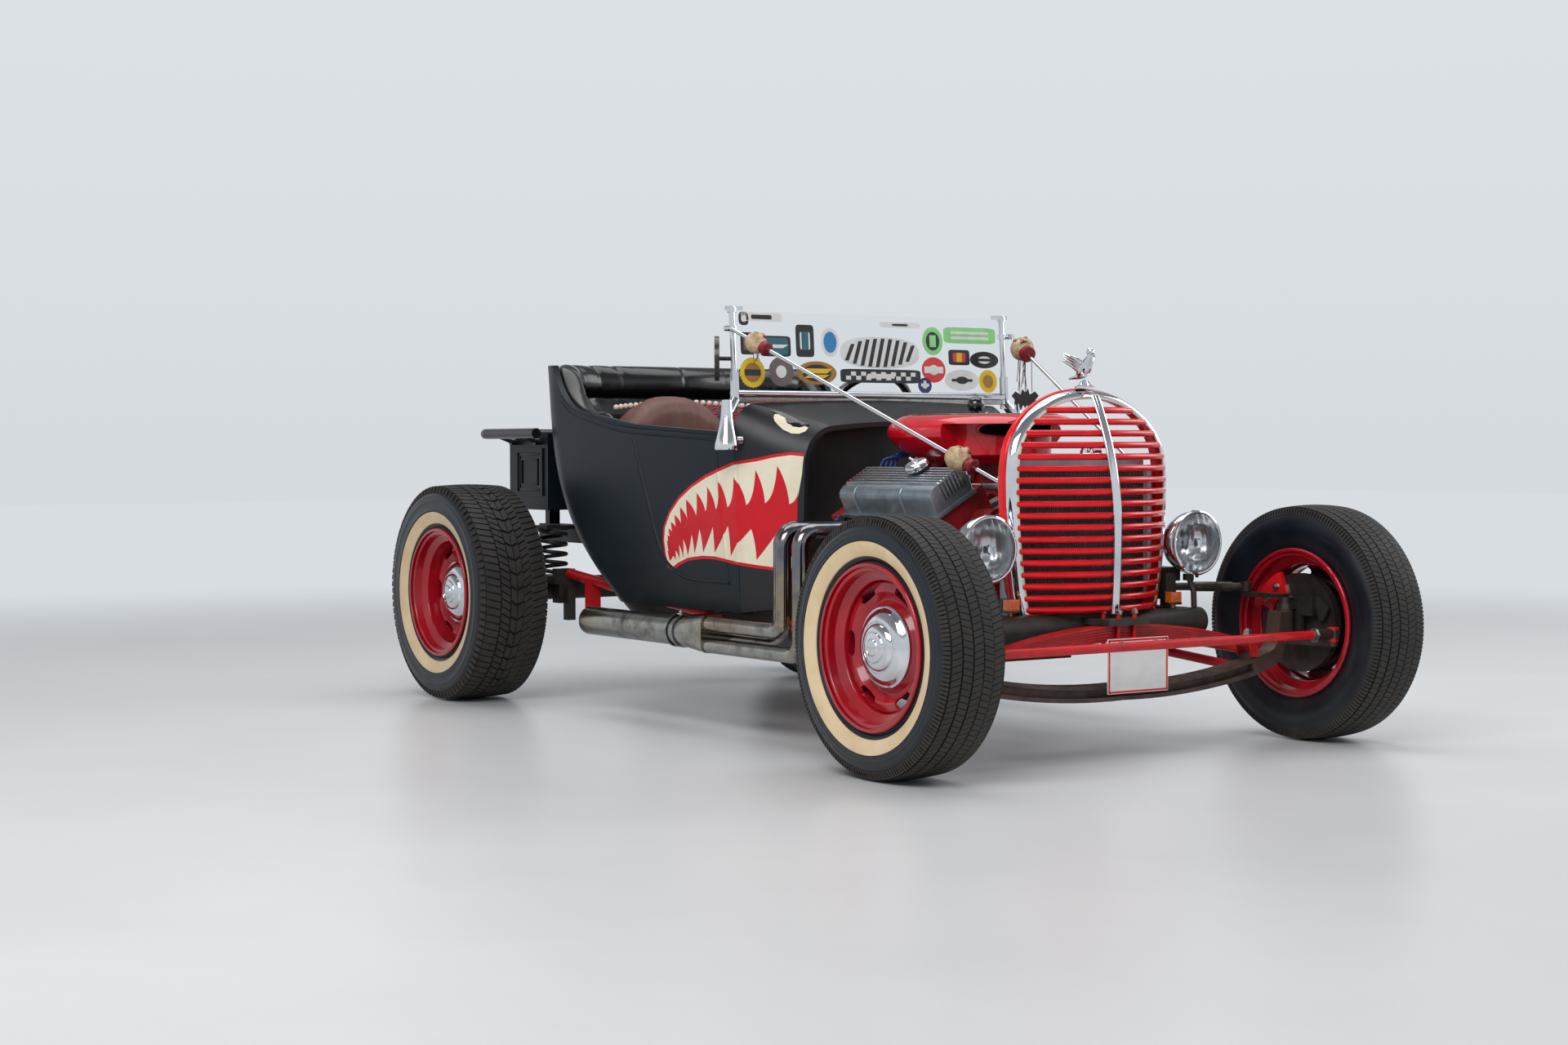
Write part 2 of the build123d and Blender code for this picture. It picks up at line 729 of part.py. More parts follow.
with BuildPart() as scoop_knob:
    rod((0, station(600), 910 + seat_gap), (0, station(600), 922), 13)
    with BuildSketch(across(600)):
        with BuildLine():
            CenterArc((0, 936), 24.5, -90, 180)
            Line((0, 936 + 24.5), (0, 936 - 24.5))
        make_face()
    revolve(axis=Axis((0, station(600), 0), (0, 0, 1)))
keep(scoop_knob, "scoop_knob")

# Gearbox and propeller shaft under the floor
shaft_radius = 34
shaft_front_z = 322
with BuildPart() as gearbox:
    block((-95, 95), (engine_rear + 95 + seat_gap, 1180), (250, 372))
    block((-65, 65), (1180, 1480), (strap_high + seat_gap, 366))
    rod((0, station(1480), shaft_front_z), (0, station(wheelbase - nose_reach - 2), rear_tyre_radius),
        shaft_radius)
keep(gearbox, "gearbox")

# Exhaust: three pipes a side run out, down and back into a collector and a plain side pipe
header_radius = 22
header_wall = 2
header_ports = [
    # station, outboard x, height of the rearward run, bend radius
    (735, 574, 292, 44), (655, 621, 316, 44), (575, 621, 256, 44),
]
side_pipe_radius = 43
collector_start = 1035
collector_end = 1165
side_pipe_end = 1725
side_pipe_z = 287
header_z = 592
side_pipe_x = 615
header_stub = 352
with BuildPart() as headers:
    for side in (-1, 1):
        for port, outboard, run_z, bend in header_ports:
            pipe(
                [(side * header_stub, station(port), header_z), (side * outboard, station(port), header_z),
                 (side * outboard, station(port), run_z),
                 (side * outboard, station(collector_start + 8), run_z)],
                header_radius, bend,
            )
        with BuildSketch(across(collector_start)) as collector_mouth:
            with Locations((side * 606, side_pipe_z)):
                RectangleRounded(84, 108, 24)
        with BuildSketch(across(collector_end)) as collector_neck:
            with Locations((side * side_pipe_x, side_pipe_z)):
                Circle(side_pipe_radius)
        loft([collector_mouth.sketch, collector_neck.sketch])
        # Flange along the slanted face of the head
        with BuildSketch(across(545)) as flange:
            with BuildLine():
                Polyline((side * 320.2, 569), (side * 346.6, 615), (side * 358, 615), (side * 358, 569),
                         close=True)
            make_face()
        extrude(flange.sketch, amount=-220)
keep(headers, "headers")

with BuildPart() as side_pipes:
    for side in (-1, 1):
        centre = (side * side_pipe_x, side_pipe_z)
        with BuildSketch(across(collector_end + seat_gap)) as tube:
            with Locations(centre):
                Circle(side_pipe_radius)
        extrude(tube.sketch, amount=-(side_pipe_end - collector_end))
        with BuildSketch(across(collector_end + 200)) as bore:
            with Locations(centre):
                Circle(side_pipe_radius - 2)
        extrude(bore.sketch, amount=-(side_pipe_end - collector_end), mode=Mode.SUBTRACT)
        for ring in (collector_end + 6, collector_end + 50):
            with BuildSketch(across(ring)) as band:
                with Locations(centre):
                    Circle(side_pipe_radius + 2)
            extrude(band.sketch, amount=-4)
        # Hanger to the frame rail
        block(sorted((side * (rail_x + rail_width / 2 + seat_gap), side * 600)), (1240, 1262), (322, 328))
keep(side_pipes, "side_pipes")

# Body tub: plan outlines at five heights, each with a straight front, curved sides and round rear
# corners
door_line = 1080
wall = 20
tub_levels = [
    # height, half width at the front, half width at the seat, station of the back, corner radius
    (338, 482, 500, wheelbase - 510, 150),
    (430, 488, 512, wheelbase - 385, 160),
    (580, 496, 524, wheelbase - 230, 170),
    (790, 504, 532, wheelbase - 128, 175),
    (1110, 508, 534, wheelbase - 80, 175),
]


def tub_outline(front_half, seat_half, back, corner, inset, front):
    """Closed plan outline of the tub, moved inwards by the inset."""
    half_front = front_half - inset
    half_seat = seat_half - inset
    rear = station(back - inset)
    radius = corner - inset * 0.6
    bend = rear - radius
    diagonal = radius * (1 - sqrt(0.5))
    with BuildLine() as outline:
        Line((-half_front, front), (half_front, front))
        ThreePointArc((half_front, front), (half_seat - 2, (front + bend) / 2 + 60), (half_seat, bend))
        ThreePointArc((half_seat, bend), (half_seat - diagonal, rear - diagonal),
                      (half_seat - radius, rear))
        Line((half_seat - radius, rear), (-half_seat + radius, rear))
        ThreePointArc((-half_seat + radius, rear), (-half_seat + diagonal, rear - diagonal),
                      (-half_seat, bend))
        ThreePointArc((-half_seat, bend), (-half_seat + 2, (front + bend) / 2 + 60), (-half_front, front))
    make_face(outline.edges())


notches = [
    # x, half width, top
    (0, 52, 405),
    (-rail_x, rail_width / 2 + 6, 524), (rail_x, rail_width / 2 + 6, 524),
    (-399, 26, 400), (399, 26, 400),
]



def tub_sections(inset, front, drop=0):
    """Plan sections of the tub from the bottom up; the lowest one can be dropped to cut through."""
    sections = []
    for level, front_half, seat_half, back, corner in tub_levels:
        lower = drop if level == tub_levels[0][0] else 0
        with BuildSketch(Plane.XY.offset(level - lower)) as section:
            tub_outline(front_half, seat_half, back, corner, inset, station(front))
        sections.append(section.sketch)
    return sections


# Belt line seen from the side
belt = [
    # station, height
    (1080, 860), (1600, 890), (wheelbase - 500, 925),
]
belt_top = 1084
belt_knee = wheelbase - 250
belt_dip = wheelbase - 330
behind_tub = wheelbase + 40
notch_station = wheelbase - 425
cavity_front = door_line - 30
cavity_drop = 22
with BuildPart() as body_tub:
    loft(tub_sections(0, door_line))
    loft(tub_sections(wall, cavity_front, cavity_drop), mode=Mode.SUBTRACT)
    # Notches in the low rear edge for the propeller shaft, the rails and the trailing arms
    for x, half, top in notches:
        with BuildSketch(Plane.XY.offset(rail_low)):
            with Locations((x, station(notch_station))):
                Rectangle(2 * half, 330)
        extrude(amount=top - rail_low, mode=Mode.SUBTRACT)
    # Belt line
    with BuildSketch(along(-700)):
        with BuildLine():
            Line((station(door_line - 60), belt[0][1]), (station(belt[0][0]), belt[0][1]))
            Line((station(belt[0][0]), belt[0][1]), (station(belt[1][0]), belt[1][1]))
            Line((station(belt[1][0]), belt[1][1]), (station(belt[2][0]), belt[2][1]))
            ThreePointArc(
                (station(belt[2][0]), belt[2][1]), (station(belt_dip), 975), (station(belt_knee), belt_top)
            )
            Line((station(belt_knee), belt_top), (station(behind_tub), belt_top))
            Line((station(behind_tub), belt_top), (station(behind_tub), 1300))
            Line((station(behind_tub), 1300), (station(door_line - 60), 1300))
            Line((station(door_line - 60), 1300), (station(door_line - 60), belt[0][1]))
        make_face()
    extrude(amount=1400, mode=Mode.SUBTRACT)
keep(body_tub, "body_tub")

# Floor and toe board, between the tub's walls and above the rails
floor_z = rail_high + seat_gap
floor_thick = 10
pan_start = wheelbase - 605
pan_end = wheelbase - 325
pan_high = 556
with BuildPart() as floor:
    block((-444, 444), (door_line + 6, pan_start + 5), (floor_z, floor_z + floor_thick))
    block((-404, 404), (1002, door_line + 6), (floor_z, floor_z + floor_thick))
    with BuildSketch(along(-400)):
        with BuildLine():
            Polyline(
                (station(pan_start), floor_z), (station(pan_start), floor_z + floor_thick),
                (station(pan_end), pan_high), (station(pan_end + 8), pan_high - 9), close=True,
            )
        make_face()
    extrude(amount=800)
keep(floor, "floor")

# Cowl: upright sections that narrow from the door line to the open arch in front of the firewall
arch_station = 930
cowl_wall = 14
cowl_sections = [
    # station, half width low, half width at the shoulder, shoulder height, top height, foot, corner
    (arch_station, 372, 360, 770, 893, 362, 90),
    (1000, 434, 424, 800, 922, 352, 96),
    (door_line - seat_gap, 482, 506, 846, 958, 340, 60),
]


def cowl_outline(low_half, high_half, shoulder, top, foot, corner, inset):
    """Closed section of the cowl: upright sides, round shoulders and a slightly crowned top."""
    low = low_half - inset
    high = high_half - inset
    crown = top - inset
    edge = crown - 14
    with BuildLine() as outline:
        Line((-low, foot), (low, foot))
        Line((low, foot), (high, shoulder))
        ThreePointArc(
            (high, shoulder),
            (high - corner * 0.32, edge - (edge - shoulder) * 0.3),
            (high - corner, edge),
        )
        ThreePointArc((high - corner, edge), (0, crown), (-high + corner, edge))
        ThreePointArc(
            (-high + corner, edge),
            (-high + corner * 0.32, edge - (edge - shoulder) * 0.3),
            (-high, shoulder),
        )
        Line((-high, shoulder), (-low, foot))
    make_face(outline.edges())


with BuildPart() as cowl_inside:
    for place, low_half, high_half, shoulder, top, foot, corner in cowl_sections:
        reach = {arch_station: -1, door_line - seat_gap: 1}.get(place, 0)
        with BuildSketch(across(place + reach)):
            cowl_outline(low_half, high_half, shoulder, top, foot - 20, corner, cowl_wall)
    loft()

with BuildPart() as cowl:
    for place, low_half, high_half, shoulder, top, foot, corner in cowl_sections:
        with BuildSketch(across(place)):
            cowl_outline(low_half, high_half, shoulder, top, foot, corner, 0)
    loft()
    add(cowl_inside.part, mode=Mode.SUBTRACT)
keep(cowl, "cowl")

# Steering column: from the wheel's hub down to a joint beside the engine
column_x = 215
column_radius = 16
column_tilt = 26
column_axis = Vector(0, cos(radians(column_tilt)), sin(radians(column_tilt)))
wheel_hub = Vector(column_x, station(1430), 892)
column_top = wheel_hub - column_axis * (20 + seat_gap)
column_low = wheel_hub - column_axis * 470
column_joint = Vector(365, station(872), 500)

# Firewall, set back inside the arch
firewall_station = 992
with BuildPart() as firewall:
    block((-480, 480), (firewall_station, firewall_station + 8), (floor_z + 14, 940))
    add(cowl_inside.part, mode=Mode.INTERSECT)
    rod(column_top, column_low, column_radius + 3, Mode.SUBTRACT)
    rod(column_low, column_joint, 14, Mode.SUBTRACT)
keep(firewall, "firewall")

# Dashboard panel under the rear edge of the cowl
with BuildPart() as dashboard:
    block((-500, 500), (1058, 1074), (700, 1000))
    add(cowl_inside.part, mode=Mode.INTERSECT)
    rod(column_top, column_low, column_radius + 3, Mode.SUBTRACT)
keep(dashboard, "dashboard")

# Windscreen: two posts with their stanchions, a bottom rail and a plain sheet of glass
screen_low_station = 1083
screen_high_station = 1101
screen_low = 963
screen_high = 1225
post_x = 498
post_radius = 9
sleeve_radius = 13
screen_rail_z = 972
screen_rail_radius = 11
glass_half = post_x - sleeve_radius - seat_gap
glass_low = screen_rail_z + screen_rail_radius + seat_gap
glass_thick = 6
with BuildPart() as screen_frame:
    rod((-post_x, station(screen_low_station), screen_rail_z),
        (post_x, station(screen_low_station), screen_rail_z), screen_rail_radius)
    for side in (-1, 1):
        rod((side * post_x, station(screen_low_station), 940),
            (side * post_x, station(screen_high_station), screen_high), post_radius)
        rod((side * post_x, station(screen_low_station), 935),
            (side * post_x, station(screen_low_station + 4), 1035), sleeve_radius)
        block((side * 490 - 26, side * 490 + 26), (screen_high_station - 8, screen_high_station + 8),
              (screen_high - 12, screen_high))
        pipe(
            [(side * post_x, station(screen_low_station), 955),
             (side * 536, station(screen_low_station - 14), 905),
             (side * 533, station(screen_low_station - 20), 815)],
            15, 40,
        )
        rod((side * 490, station(screen_low_station - 18), 838),
            (side * 533, station(screen_low_station - 18), 838), 13)
    add(cowl.part, mode=Mode.SUBTRACT)
keep(screen_frame, "screen_frame")

with BuildPart() as screen_glass:
    with BuildSketch(along(-glass_half)):
        with BuildLine():
            Polyline(
                (station(screen_low_station) - glass_thick / 2, glass_low),
                (station(screen_low_station) + glass_thick / 2, glass_low),
                (station(screen_high_station) + glass_thick / 2, screen_high - 13),
                (station(screen_high_station) - glass_thick / 2, screen_high - 13),
                close=True,
            )
        make_face()
    extrude(amount=2 * glass_half)
keep(screen_glass, "screen_glass")

# Mirror on the right-hand post, folded in towards it
mirror_height = 1073
mirror_radius = 64
mirror_half = Vector(0.85, -0.53, 0).normalized() * 7
with BuildPart() as mirror_head:
    arm_start = Vector(-548, station(1102), mirror_height)
    rod(arm_start - mirror_half, arm_start + mirror_half, mirror_radius)
    post_point = Vector(-post_x, station(1091.4), mirror_height)
    arm_end = post_point + (arm_start - post_point).normalized() * (post_radius + 2 * seat_gap)
    rod(arm_start, arm_end, 6)
keep(mirror_head, "mirror")

# Stay rods from the posts to the radiator, with carved heads on them
stay_radius = 5.5
stay_top = (518, 1078, 1160)
stay_foot = (264.6, 165, 722)


def stay_point(side, share):
    """Point on a stay, from its top at 0 to its foot at 1."""
    x, distance, z = (a + (b - a) * share for a, b in zip(stay_top, stay_foot))
    return (side * x, station(distance), z)


with BuildPart() as stays:
    for side in (-1, 1):
        rod(stay_point(side, 0), stay_point(side, 1), stay_radius)
        rod((side * 518, station(1070), 1160), (side * 518, station(1100), 1160), 8)
        foot_x, foot_station, foot_z = stay_foot
        rod((side * foot_x, station(foot_station), foot_z - 18),
            (side * foot_x, station(foot_station), foot_z + 18), 8)
keep(stays, "stays")

heads = [
    # side, share of the way down, half length, radius
    (-1, 0.13, 38, 30), (-1, 0.84, 42, 33), (1, 0.10, 40, 36),
]
with BuildPart() as stay_heads:
    for side, share, half_length, radius in heads:
        centre = Vector(*stay_point(side, share))
        direction = Vector(*stay_point(side, 1)) - Vector(*stay_point(side, 0))
        head_plane = Plane(origin=centre, x_dir=direction, z_dir=direction.cross(Vector(0, 0, 1)))
        with BuildSketch(head_plane):
            with BuildLine():
                Line((-half_length, stay_radius + seat_gap), (half_length, stay_radius + seat_gap))
                Line((half_length, stay_radius + seat_gap), (half_length, radius * 0.5))
                ThreePointArc(
                    (half_length, radius * 0.5), (0, radius), (-half_length, radius * 0.5)
                )
                Line((-half_length, radius * 0.5), (-half_length, stay_radius + seat_gap))
            make_face()
        revolve(axis=Axis(centre, direction))
keep(stay_heads, "stay_heads")

# Cockpit: seat cushion, two domed seat backs, the padded roll round the rear
def pan_top(distance):
    """Height of the floor pan's upper face at a station."""
    rise = pan_high - floor_z - floor_thick
    return floor_z + floor_thick + rise * max(0, distance - pan_start) / (pan_end - pan_start)


cushion_rear = wheelbase - 530
cushion_front = cushion_rear - 450
cushion_top = 580
with BuildPart() as seat_cushion:
    with BuildSketch(along(-430)):
        with BuildLine():
            Polyline(
                (station(cushion_front), pan_top(cushion_front) + seat_gap),
                (station(pan_start - 1), pan_top(pan_start) + seat_gap),
                (station(cushion_rear), pan_top(cushion_rear) + 2 * seat_gap),
                (station(cushion_rear), cushion_top), (station(cushion_front), cushion_top), close=True,
            )
        make_face()
    extrude(amount=860)
    fillet(edges().group_by(Axis.Z)[-1], 40)
keep(seat_cushion, "seat_cushion")

dome_half = 196
back_front = cushion_rear + 30
back_rear = back_front + 130
with BuildPart() as seat_backs:
    for x in mirrored(205):
        with BuildSketch(across(back_front)):
            with BuildLine():
                Line((x - dome_half, 440), (x + dome_half, 440))
                Line((x + dome_half, 440), (x + dome_half, 880))
                ThreePointArc((x + dome_half, 880), (x, 982), (x - dome_half, 880))
                Line((x - dome_half, 880), (x - dome_half, 440))
            make_face()
        extrude(amount=back_front - back_rear)
    fillet(edges().filter_by(GeomType.CIRCLE), 30)
    with BuildSketch(along(-600)):
        with BuildLine():
            Polyline(
                (station(back_front - 10), 400), (station(back_front - 10), pan_top(back_front - 10) + 0.6),
                (station(back_rear + 10), pan_top(back_rear + 10) + 0.6), (station(back_rear + 10), 400),
                close=True,
            )
        make_face()
    extrude(amount=1200, mode=Mode.SUBTRACT)
keep(seat_backs, "seat_backs")

# Padded roll that follows the inside of the rear wall, under the belt line
pad_thick = 62
pad_gap = 0.8
pad_low = 870
pad_start = belt[2][0]
with BuildPart() as cockpit_pad:
    loft(tub_sections(wall + pad_gap, cavity_front, cavity_drop))
    loft(tub_sections(wall + pad_thick, cavity_front, cavity_drop), mode=Mode.SUBTRACT)
    with BuildSketch(along(-700)):
        with BuildLine():
            Line((station(pad_start), pad_low), (station(behind_tub), pad_low))
            Line((station(behind_tub), pad_low), (station(behind_tub), belt_top + 8))
            Line((station(behind_tub), belt_top + 8), (station(belt_knee + 8), belt_top + 8))
            ThreePointArc((station(belt_knee + 8), belt_top + 8), (station(belt_dip), 983),
                          (station(pad_start), 933))
            Line((station(pad_start), 933), (station(pad_start), pad_low))
        make_face()
    extrude(amount=1400, mode=Mode.INTERSECT)
keep(cockpit_pad, "cockpit_pad")

# Steering column, box and shaft
with BuildPart() as steering_column:
    rod(column_top, column_low, column_radius)
    rod(column_low, column_joint, 9)
    rod(column_joint, (345, station(280), box_low + 20), 9)
    # Steering box over the pitman arm, on the left-hand rail
    block((pitman_x - 34, pitman_x + 38), (pitman_station - 42, pitman_station + 90),
          (box_low, box_low + 38))
    block((rail_x - 12, rail_x + 24), (pitman_station - 60, pitman_station - 36),
          (rail_high + seat_gap, box_low + 24))
keep(steering_column, "steering_column")

rim_ring = 170
rim_grip = 13
with BuildPart() as steering_wheel:
    dish = Plane(origin=wheel_hub, x_dir=(1, 0, 0), z_dir=column_axis)
    with BuildSketch(Plane(origin=wheel_hub + Vector(rim_ring, 0, 0), x_dir=(1, 0, 0),
                           z_dir=dish.y_dir)):
        Circle(rim_grip)
    revolve(axis=Axis(wheel_hub, column_axis))
    with BuildSketch(dish.offset(-20)):
        Circle(30)
    extrude(amount=28)
    for turn in (90, 210, 330):
        tip = wheel_hub + dish.x_dir * (rim_ring * cos(radians(turn))) + dish.y_dir * (
            rim_ring * sin(radians(turn)))
        rod(wheel_hub, tip, 7)
keep(steering_wheel, "steering_wheel")

# Grille shell: an arch that leans round to the sides
grille_levels = [
    # height, half width of the opening
    (385, 226), (485, 243), (610, 258), (725, 262), (827, 243), (905, 172), (944, 70),
]
grille_apex = 952
shell_rim = 24
shell_front = 84
shell_depth = 62


def arch_outline(grow):
    """Closed outline of the grille's opening, grown outwards."""
    low, flank, high = grille_levels[0], grille_levels[3], grille_levels[5]
    flank_low = grille_levels[1]
    with BuildLine() as outline:
        Line((-low[1] - grow, low[0] - grow * 0.3), (low[1] + grow, low[0] - grow * 0.3))
        ThreePointArc((low[1] + grow, low[0] - grow * 0.3), (flank_low[1] + 4 + grow, 530),
                      (flank[1] + grow, flank[0]))
        ThreePointArc((flank[1] + grow, flank[0]), (grille_levels[4][1] + grow * 0.92, 838 + grow * 0.3),
                      (high[1] + grow * 0.6, high[0] + 6 + grow * 0.8))
        ThreePointArc((high[1] + grow * 0.6, high[0] + 6 + grow * 0.8), (0, grille_apex + grow),
                      (-high[1] - grow * 0.6, high[0] + 6 + grow * 0.8))
        ThreePointArc((-high[1] - grow * 0.6, high[0] + 6 + grow * 0.8),
                      (-grille_levels[4][1] - grow * 0.92, 838 + grow * 0.3), (-flank[1] - grow, flank[0]))
        ThreePointArc((-flank[1] - grow, flank[0]), (-flank_low[1] - 4 - grow, 530),
                      (-low[1] - grow, low[0] - grow * 0.3))
    make_face(outline.edges())


with BuildPart() as grille_shell:
    with BuildSketch(across(shell_front)):
        arch_outline(shell_rim)
    extrude(amount=-shell_depth)
    with BuildSketch(across(shell_front - 1)):
        arch_outline(0)
    extrude(amount=-shell_depth - 2, mode=Mode.SUBTRACT)
keep(grille_shell, "grille_shell")

# Radiator between the grille and the engine
with BuildPart() as radiator:
    tank_front = shell_front + shell_depth + seat_gap
    block((-225, 225), (152, 202), (385, 900))
    block((-200, 200), (tank_front, 208), (900, 935))
    block((-218, 218), (tank_front, 208), (380, 425))
    rod((0, station(178), 934), (0, station(178), 975), 28)
    for side in (-1, 1):
        block(sorted((side * 224, side * 256)), (150, 180), (392, 760))
        block(sorted((side * 196, side * 256)), (150, 180), (tube_z - 10, 394))
        block(sorted((side * 196, side * 256)), (tube_station + tube_radius + seat_gap, 151),
              (tube_z - 10, tube_z + 10))
keep(radiator, "radiator")

# Grille bars bowed from the sides to the centre strip
bar_radius = 6.5
bar_count = 19
bar_low = 400
bar_pitch = 28.3
prow_top = 66
prow_middle = -13
prow_low = 12


def prow_station(z):
    """Station of the centre strip at a height, on the arc through its low, middle and top points."""
    ax, ay = prow_low, 377
    bx, by = prow_middle, 660
    cx, cy = prow_top, grille_apex
    turn = 2 * (ax * (by - cy) + bx * (cy - ay) + cx * (ay - by))
    a, b, c = ax**2 + ay**2, bx**2 + by**2, cx**2 + cy**2
    middle_x = (a * (by - cy) + b * (cy - ay) + c * (ay - by)) / turn
    middle_y = (a * (cx - bx) + b * (ax - cx) + c * (bx - ax)) / turn
    radius = sqrt((ax - middle_x) ** 2 + (ay - middle_y) ** 2)
    return middle_x - sqrt(radius**2 - (z - middle_y) ** 2)


def half_width(z):
    """Half width of the grille's opening at a height."""
    for (low, narrow), (high, wide) in zip(grille_levels, grille_levels[1:]):
        if low <= z <= high:
            return narrow + (wide - narrow) * (z - low) / (high - low)
    return grille_levels[-1][1]


with BuildPart() as grille_bars:
    for count in range(bar_count):
        level = bar_low + count * bar_pitch
        reach = half_width(level) - 10
        lean = (prow_station(level + 1) - prow_station(level - 1)) / 2
        nose = prow_station(level) + 1 + (bar_radius + seat_gap) * sqrt(1 + lean**2) + seat_gap / 2
        with BuildLine(mode=Mode.PRIVATE) as bow:
            ThreePointArc((-reach, station(102), level), (0, station(nose), level),
                          (reach, station(102), level))
        with BuildSketch(Plane(origin=bow.line @ 0, z_dir=bow.line % 0)):
            Circle(bar_radius)
        sweep(path=bow.line)
keep(grille_bars, "grille_bars")

# Bright trim: the band over the arch and the strip down the prow
strip_half = 10
band_depth = 9
with BuildPart() as grille_trim:
    with BuildSketch(across(shell_front - band_depth)):
        arch_outline(shell_rim - 1)
    extrude(amount=-(band_depth - seat_gap))
    with BuildSketch(across(shell_front - band_depth)):
        arch_outline(3)
    extrude(amount=-band_depth, mode=Mode.SUBTRACT)
    with BuildSketch(along(-strip_half)):
        with BuildLine():
            ThreePointArc((station(prow_station(377) + 1), 377), (station(prow_station(660) + 1), 660),
                          (station(prow_station(950) + 1), 950))
            Line((station(prow_station(950) + 1), 950), (station(prow_station(950) - 7), 958))
            ThreePointArc((station(prow_station(950) - 7), 958), (station(prow_station(660) - 7), 660),
                          (station(prow_station(377) - 7), 377))
            Line((station(prow_station(377) - 7), 377), (station(prow_station(377) + 1), 377))
        make_face()
    extrude(amount=2 * strip_half)
    # Tongue that joins the strip to the band
    block((-strip_half, strip_half), (prow_top - 6, shell_front - seat_gap),
          (grille_apex - 3, grille_apex + 12))
keep(grille_trim, "grille_trim")

# Ornament on top of the shell: a plain bird-like form on a cap
with BuildPart() as mascot:
    shell_top = grille_apex + shell_rim
    rod((0, station(92), shell_top + seat_gap), (0, station(92), 990), 26)
    rod((0, station(92), 989), (0, station(84), 1018), 17)
    with BuildSketch(along(0)):
        with BuildLine():
            CenterArc((station(78), 1032), 20, 0, 180)
            Line((station(78) - 20, 1032), (station(78) + 20, 1032))
        make_face()
    revolve(axis=Axis((0, station(78), 1032), (0, 1, 0)))
keep(mascot, "mascot")

# Headlamps, their stems, lenses and the indicators
lamp_x = 364
lamp_z = 553
lamp_station = 82
lamp_radius = 90
lens_radius = 84
with BuildPart() as headlamps:
    for x in mirrored(lamp_x):
        with BuildSketch(along(x)):
            with BuildLine():
                Line((station(lamp_station), lamp_z), (station(lamp_station), lamp_z + lamp_radius - 5))
                Line((station(lamp_station), lamp_z + lamp_radius - 5),
                     (station(lamp_station + 4), lamp_z + lamp_radius))
                Line((station(lamp_station + 4), lamp_z + lamp_radius),
                     (station(lamp_station + 16), lamp_z + lamp_radius))
                ThreePointArc((station(lamp_station + 16), lamp_z + lamp_radius),
                              (station(lamp_station + 62), lamp_z + 76),
                              (station(lamp_station + 96), lamp_z + 45))
                Line((station(lamp_station + 96), lamp_z + 45), (station(lamp_station + 112), lamp_z + 16))
                Line((station(lamp_station + 112), lamp_z + 16), (station(lamp_station + 112), lamp_z))
                Line((station(lamp_station + 112), lamp_z), (station(lamp_station), lamp_z))
            make_face()
        revolve(axis=Axis((x, station(lamp_station), lamp_z), (0, 1, 0)))
keep(headlamps, "headlamps")

with BuildPart() as lamp_lenses:
    for x in mirrored(lamp_x):
        with BuildSketch(along(x)):
            with BuildLine():
                Line((station(lamp_station) - seat_gap, lamp_z),
                     (station(lamp_station) - seat_gap, lamp_z + lens_radius))
                bulge = crown(lens_radius, 18 - seat_gap)
                ThreePointArc((station(lamp_station) - seat_gap, lamp_z + lens_radius),
                              (station(lamp_station) - seat_gap - bulge[0], lamp_z + bulge[1]),
                              (station(lamp_station - 18), lamp_z))
                Line((station(lamp_station - 18), lamp_z), (station(lamp_station) - seat_gap, lamp_z))
            make_face()
        revolve(axis=Axis((x, station(lamp_station), lamp_z), (0, 1, 0)))
keep(lamp_lenses, "lamp_lenses")

with BuildPart() as lamp_stems:
    for side in (-1, 1):
        pipe(
            [(side * 360, station(tube_station), tube_z + tube_radius + seat_gap),
             (side * 360, station(tube_station + 2), 420),
             (side * lamp_x, station(lamp_station + 40), lamp_z - lamp_radius - 1)],
            8, 14,
        )
        rod((side * (lamp_x), station(lamp_station + 40), lamp_z - lamp_radius - 14),
            (side * (lamp_x), station(lamp_station + 40), lamp_z - lamp_radius + 4), 15)
    add(headlamps.part, mode=Mode.SUBTRACT)
keep(lamp_stems, "lamp_stems")

with BuildPart() as indicators:
    for x in mirrored(285):
        block((x - 19, x + 19), (86, 116), (390, 421))
        rod((x, station(101), tube_z + tube_radius - 4), (x, station(101), 392), 6)
    add(chassis_frame.part, mode=Mode.SUBTRACT)
keep(indicators, "indicators")

# Plate with its border, blank, on a bracket at the spring clamp
plate_x = 14
plate_half = 105
plate_low = 175
plate_high = 318
plate_station = -60
plate_hole_spacing = 170
plate_hole_radius = 3.2
plate_hole_z = 306
with BuildPart() as plate:
    block((plate_x - plate_half, plate_x + plate_half), (plate_station, plate_station + 3),
          (plate_low, plate_high))
    with BuildSketch(across(plate_station)) as holes:
        with Locations((plate_x - plate_hole_spacing / 2, plate_hole_z),
                       (plate_x + plate_hole_spacing / 2, plate_hole_z)):
            Circle(plate_hole_radius)
    extrude(holes.sketch, amount=-3, mode=Mode.SUBTRACT)
    for x in mirrored(clamp_x):
        block((x - 8, x + 8), (plate_station + 3, -clamp_reach - clamp_radius - seat_gap),
              (plate_high - 20, plate_high - 8))
keep(plate, "plate")

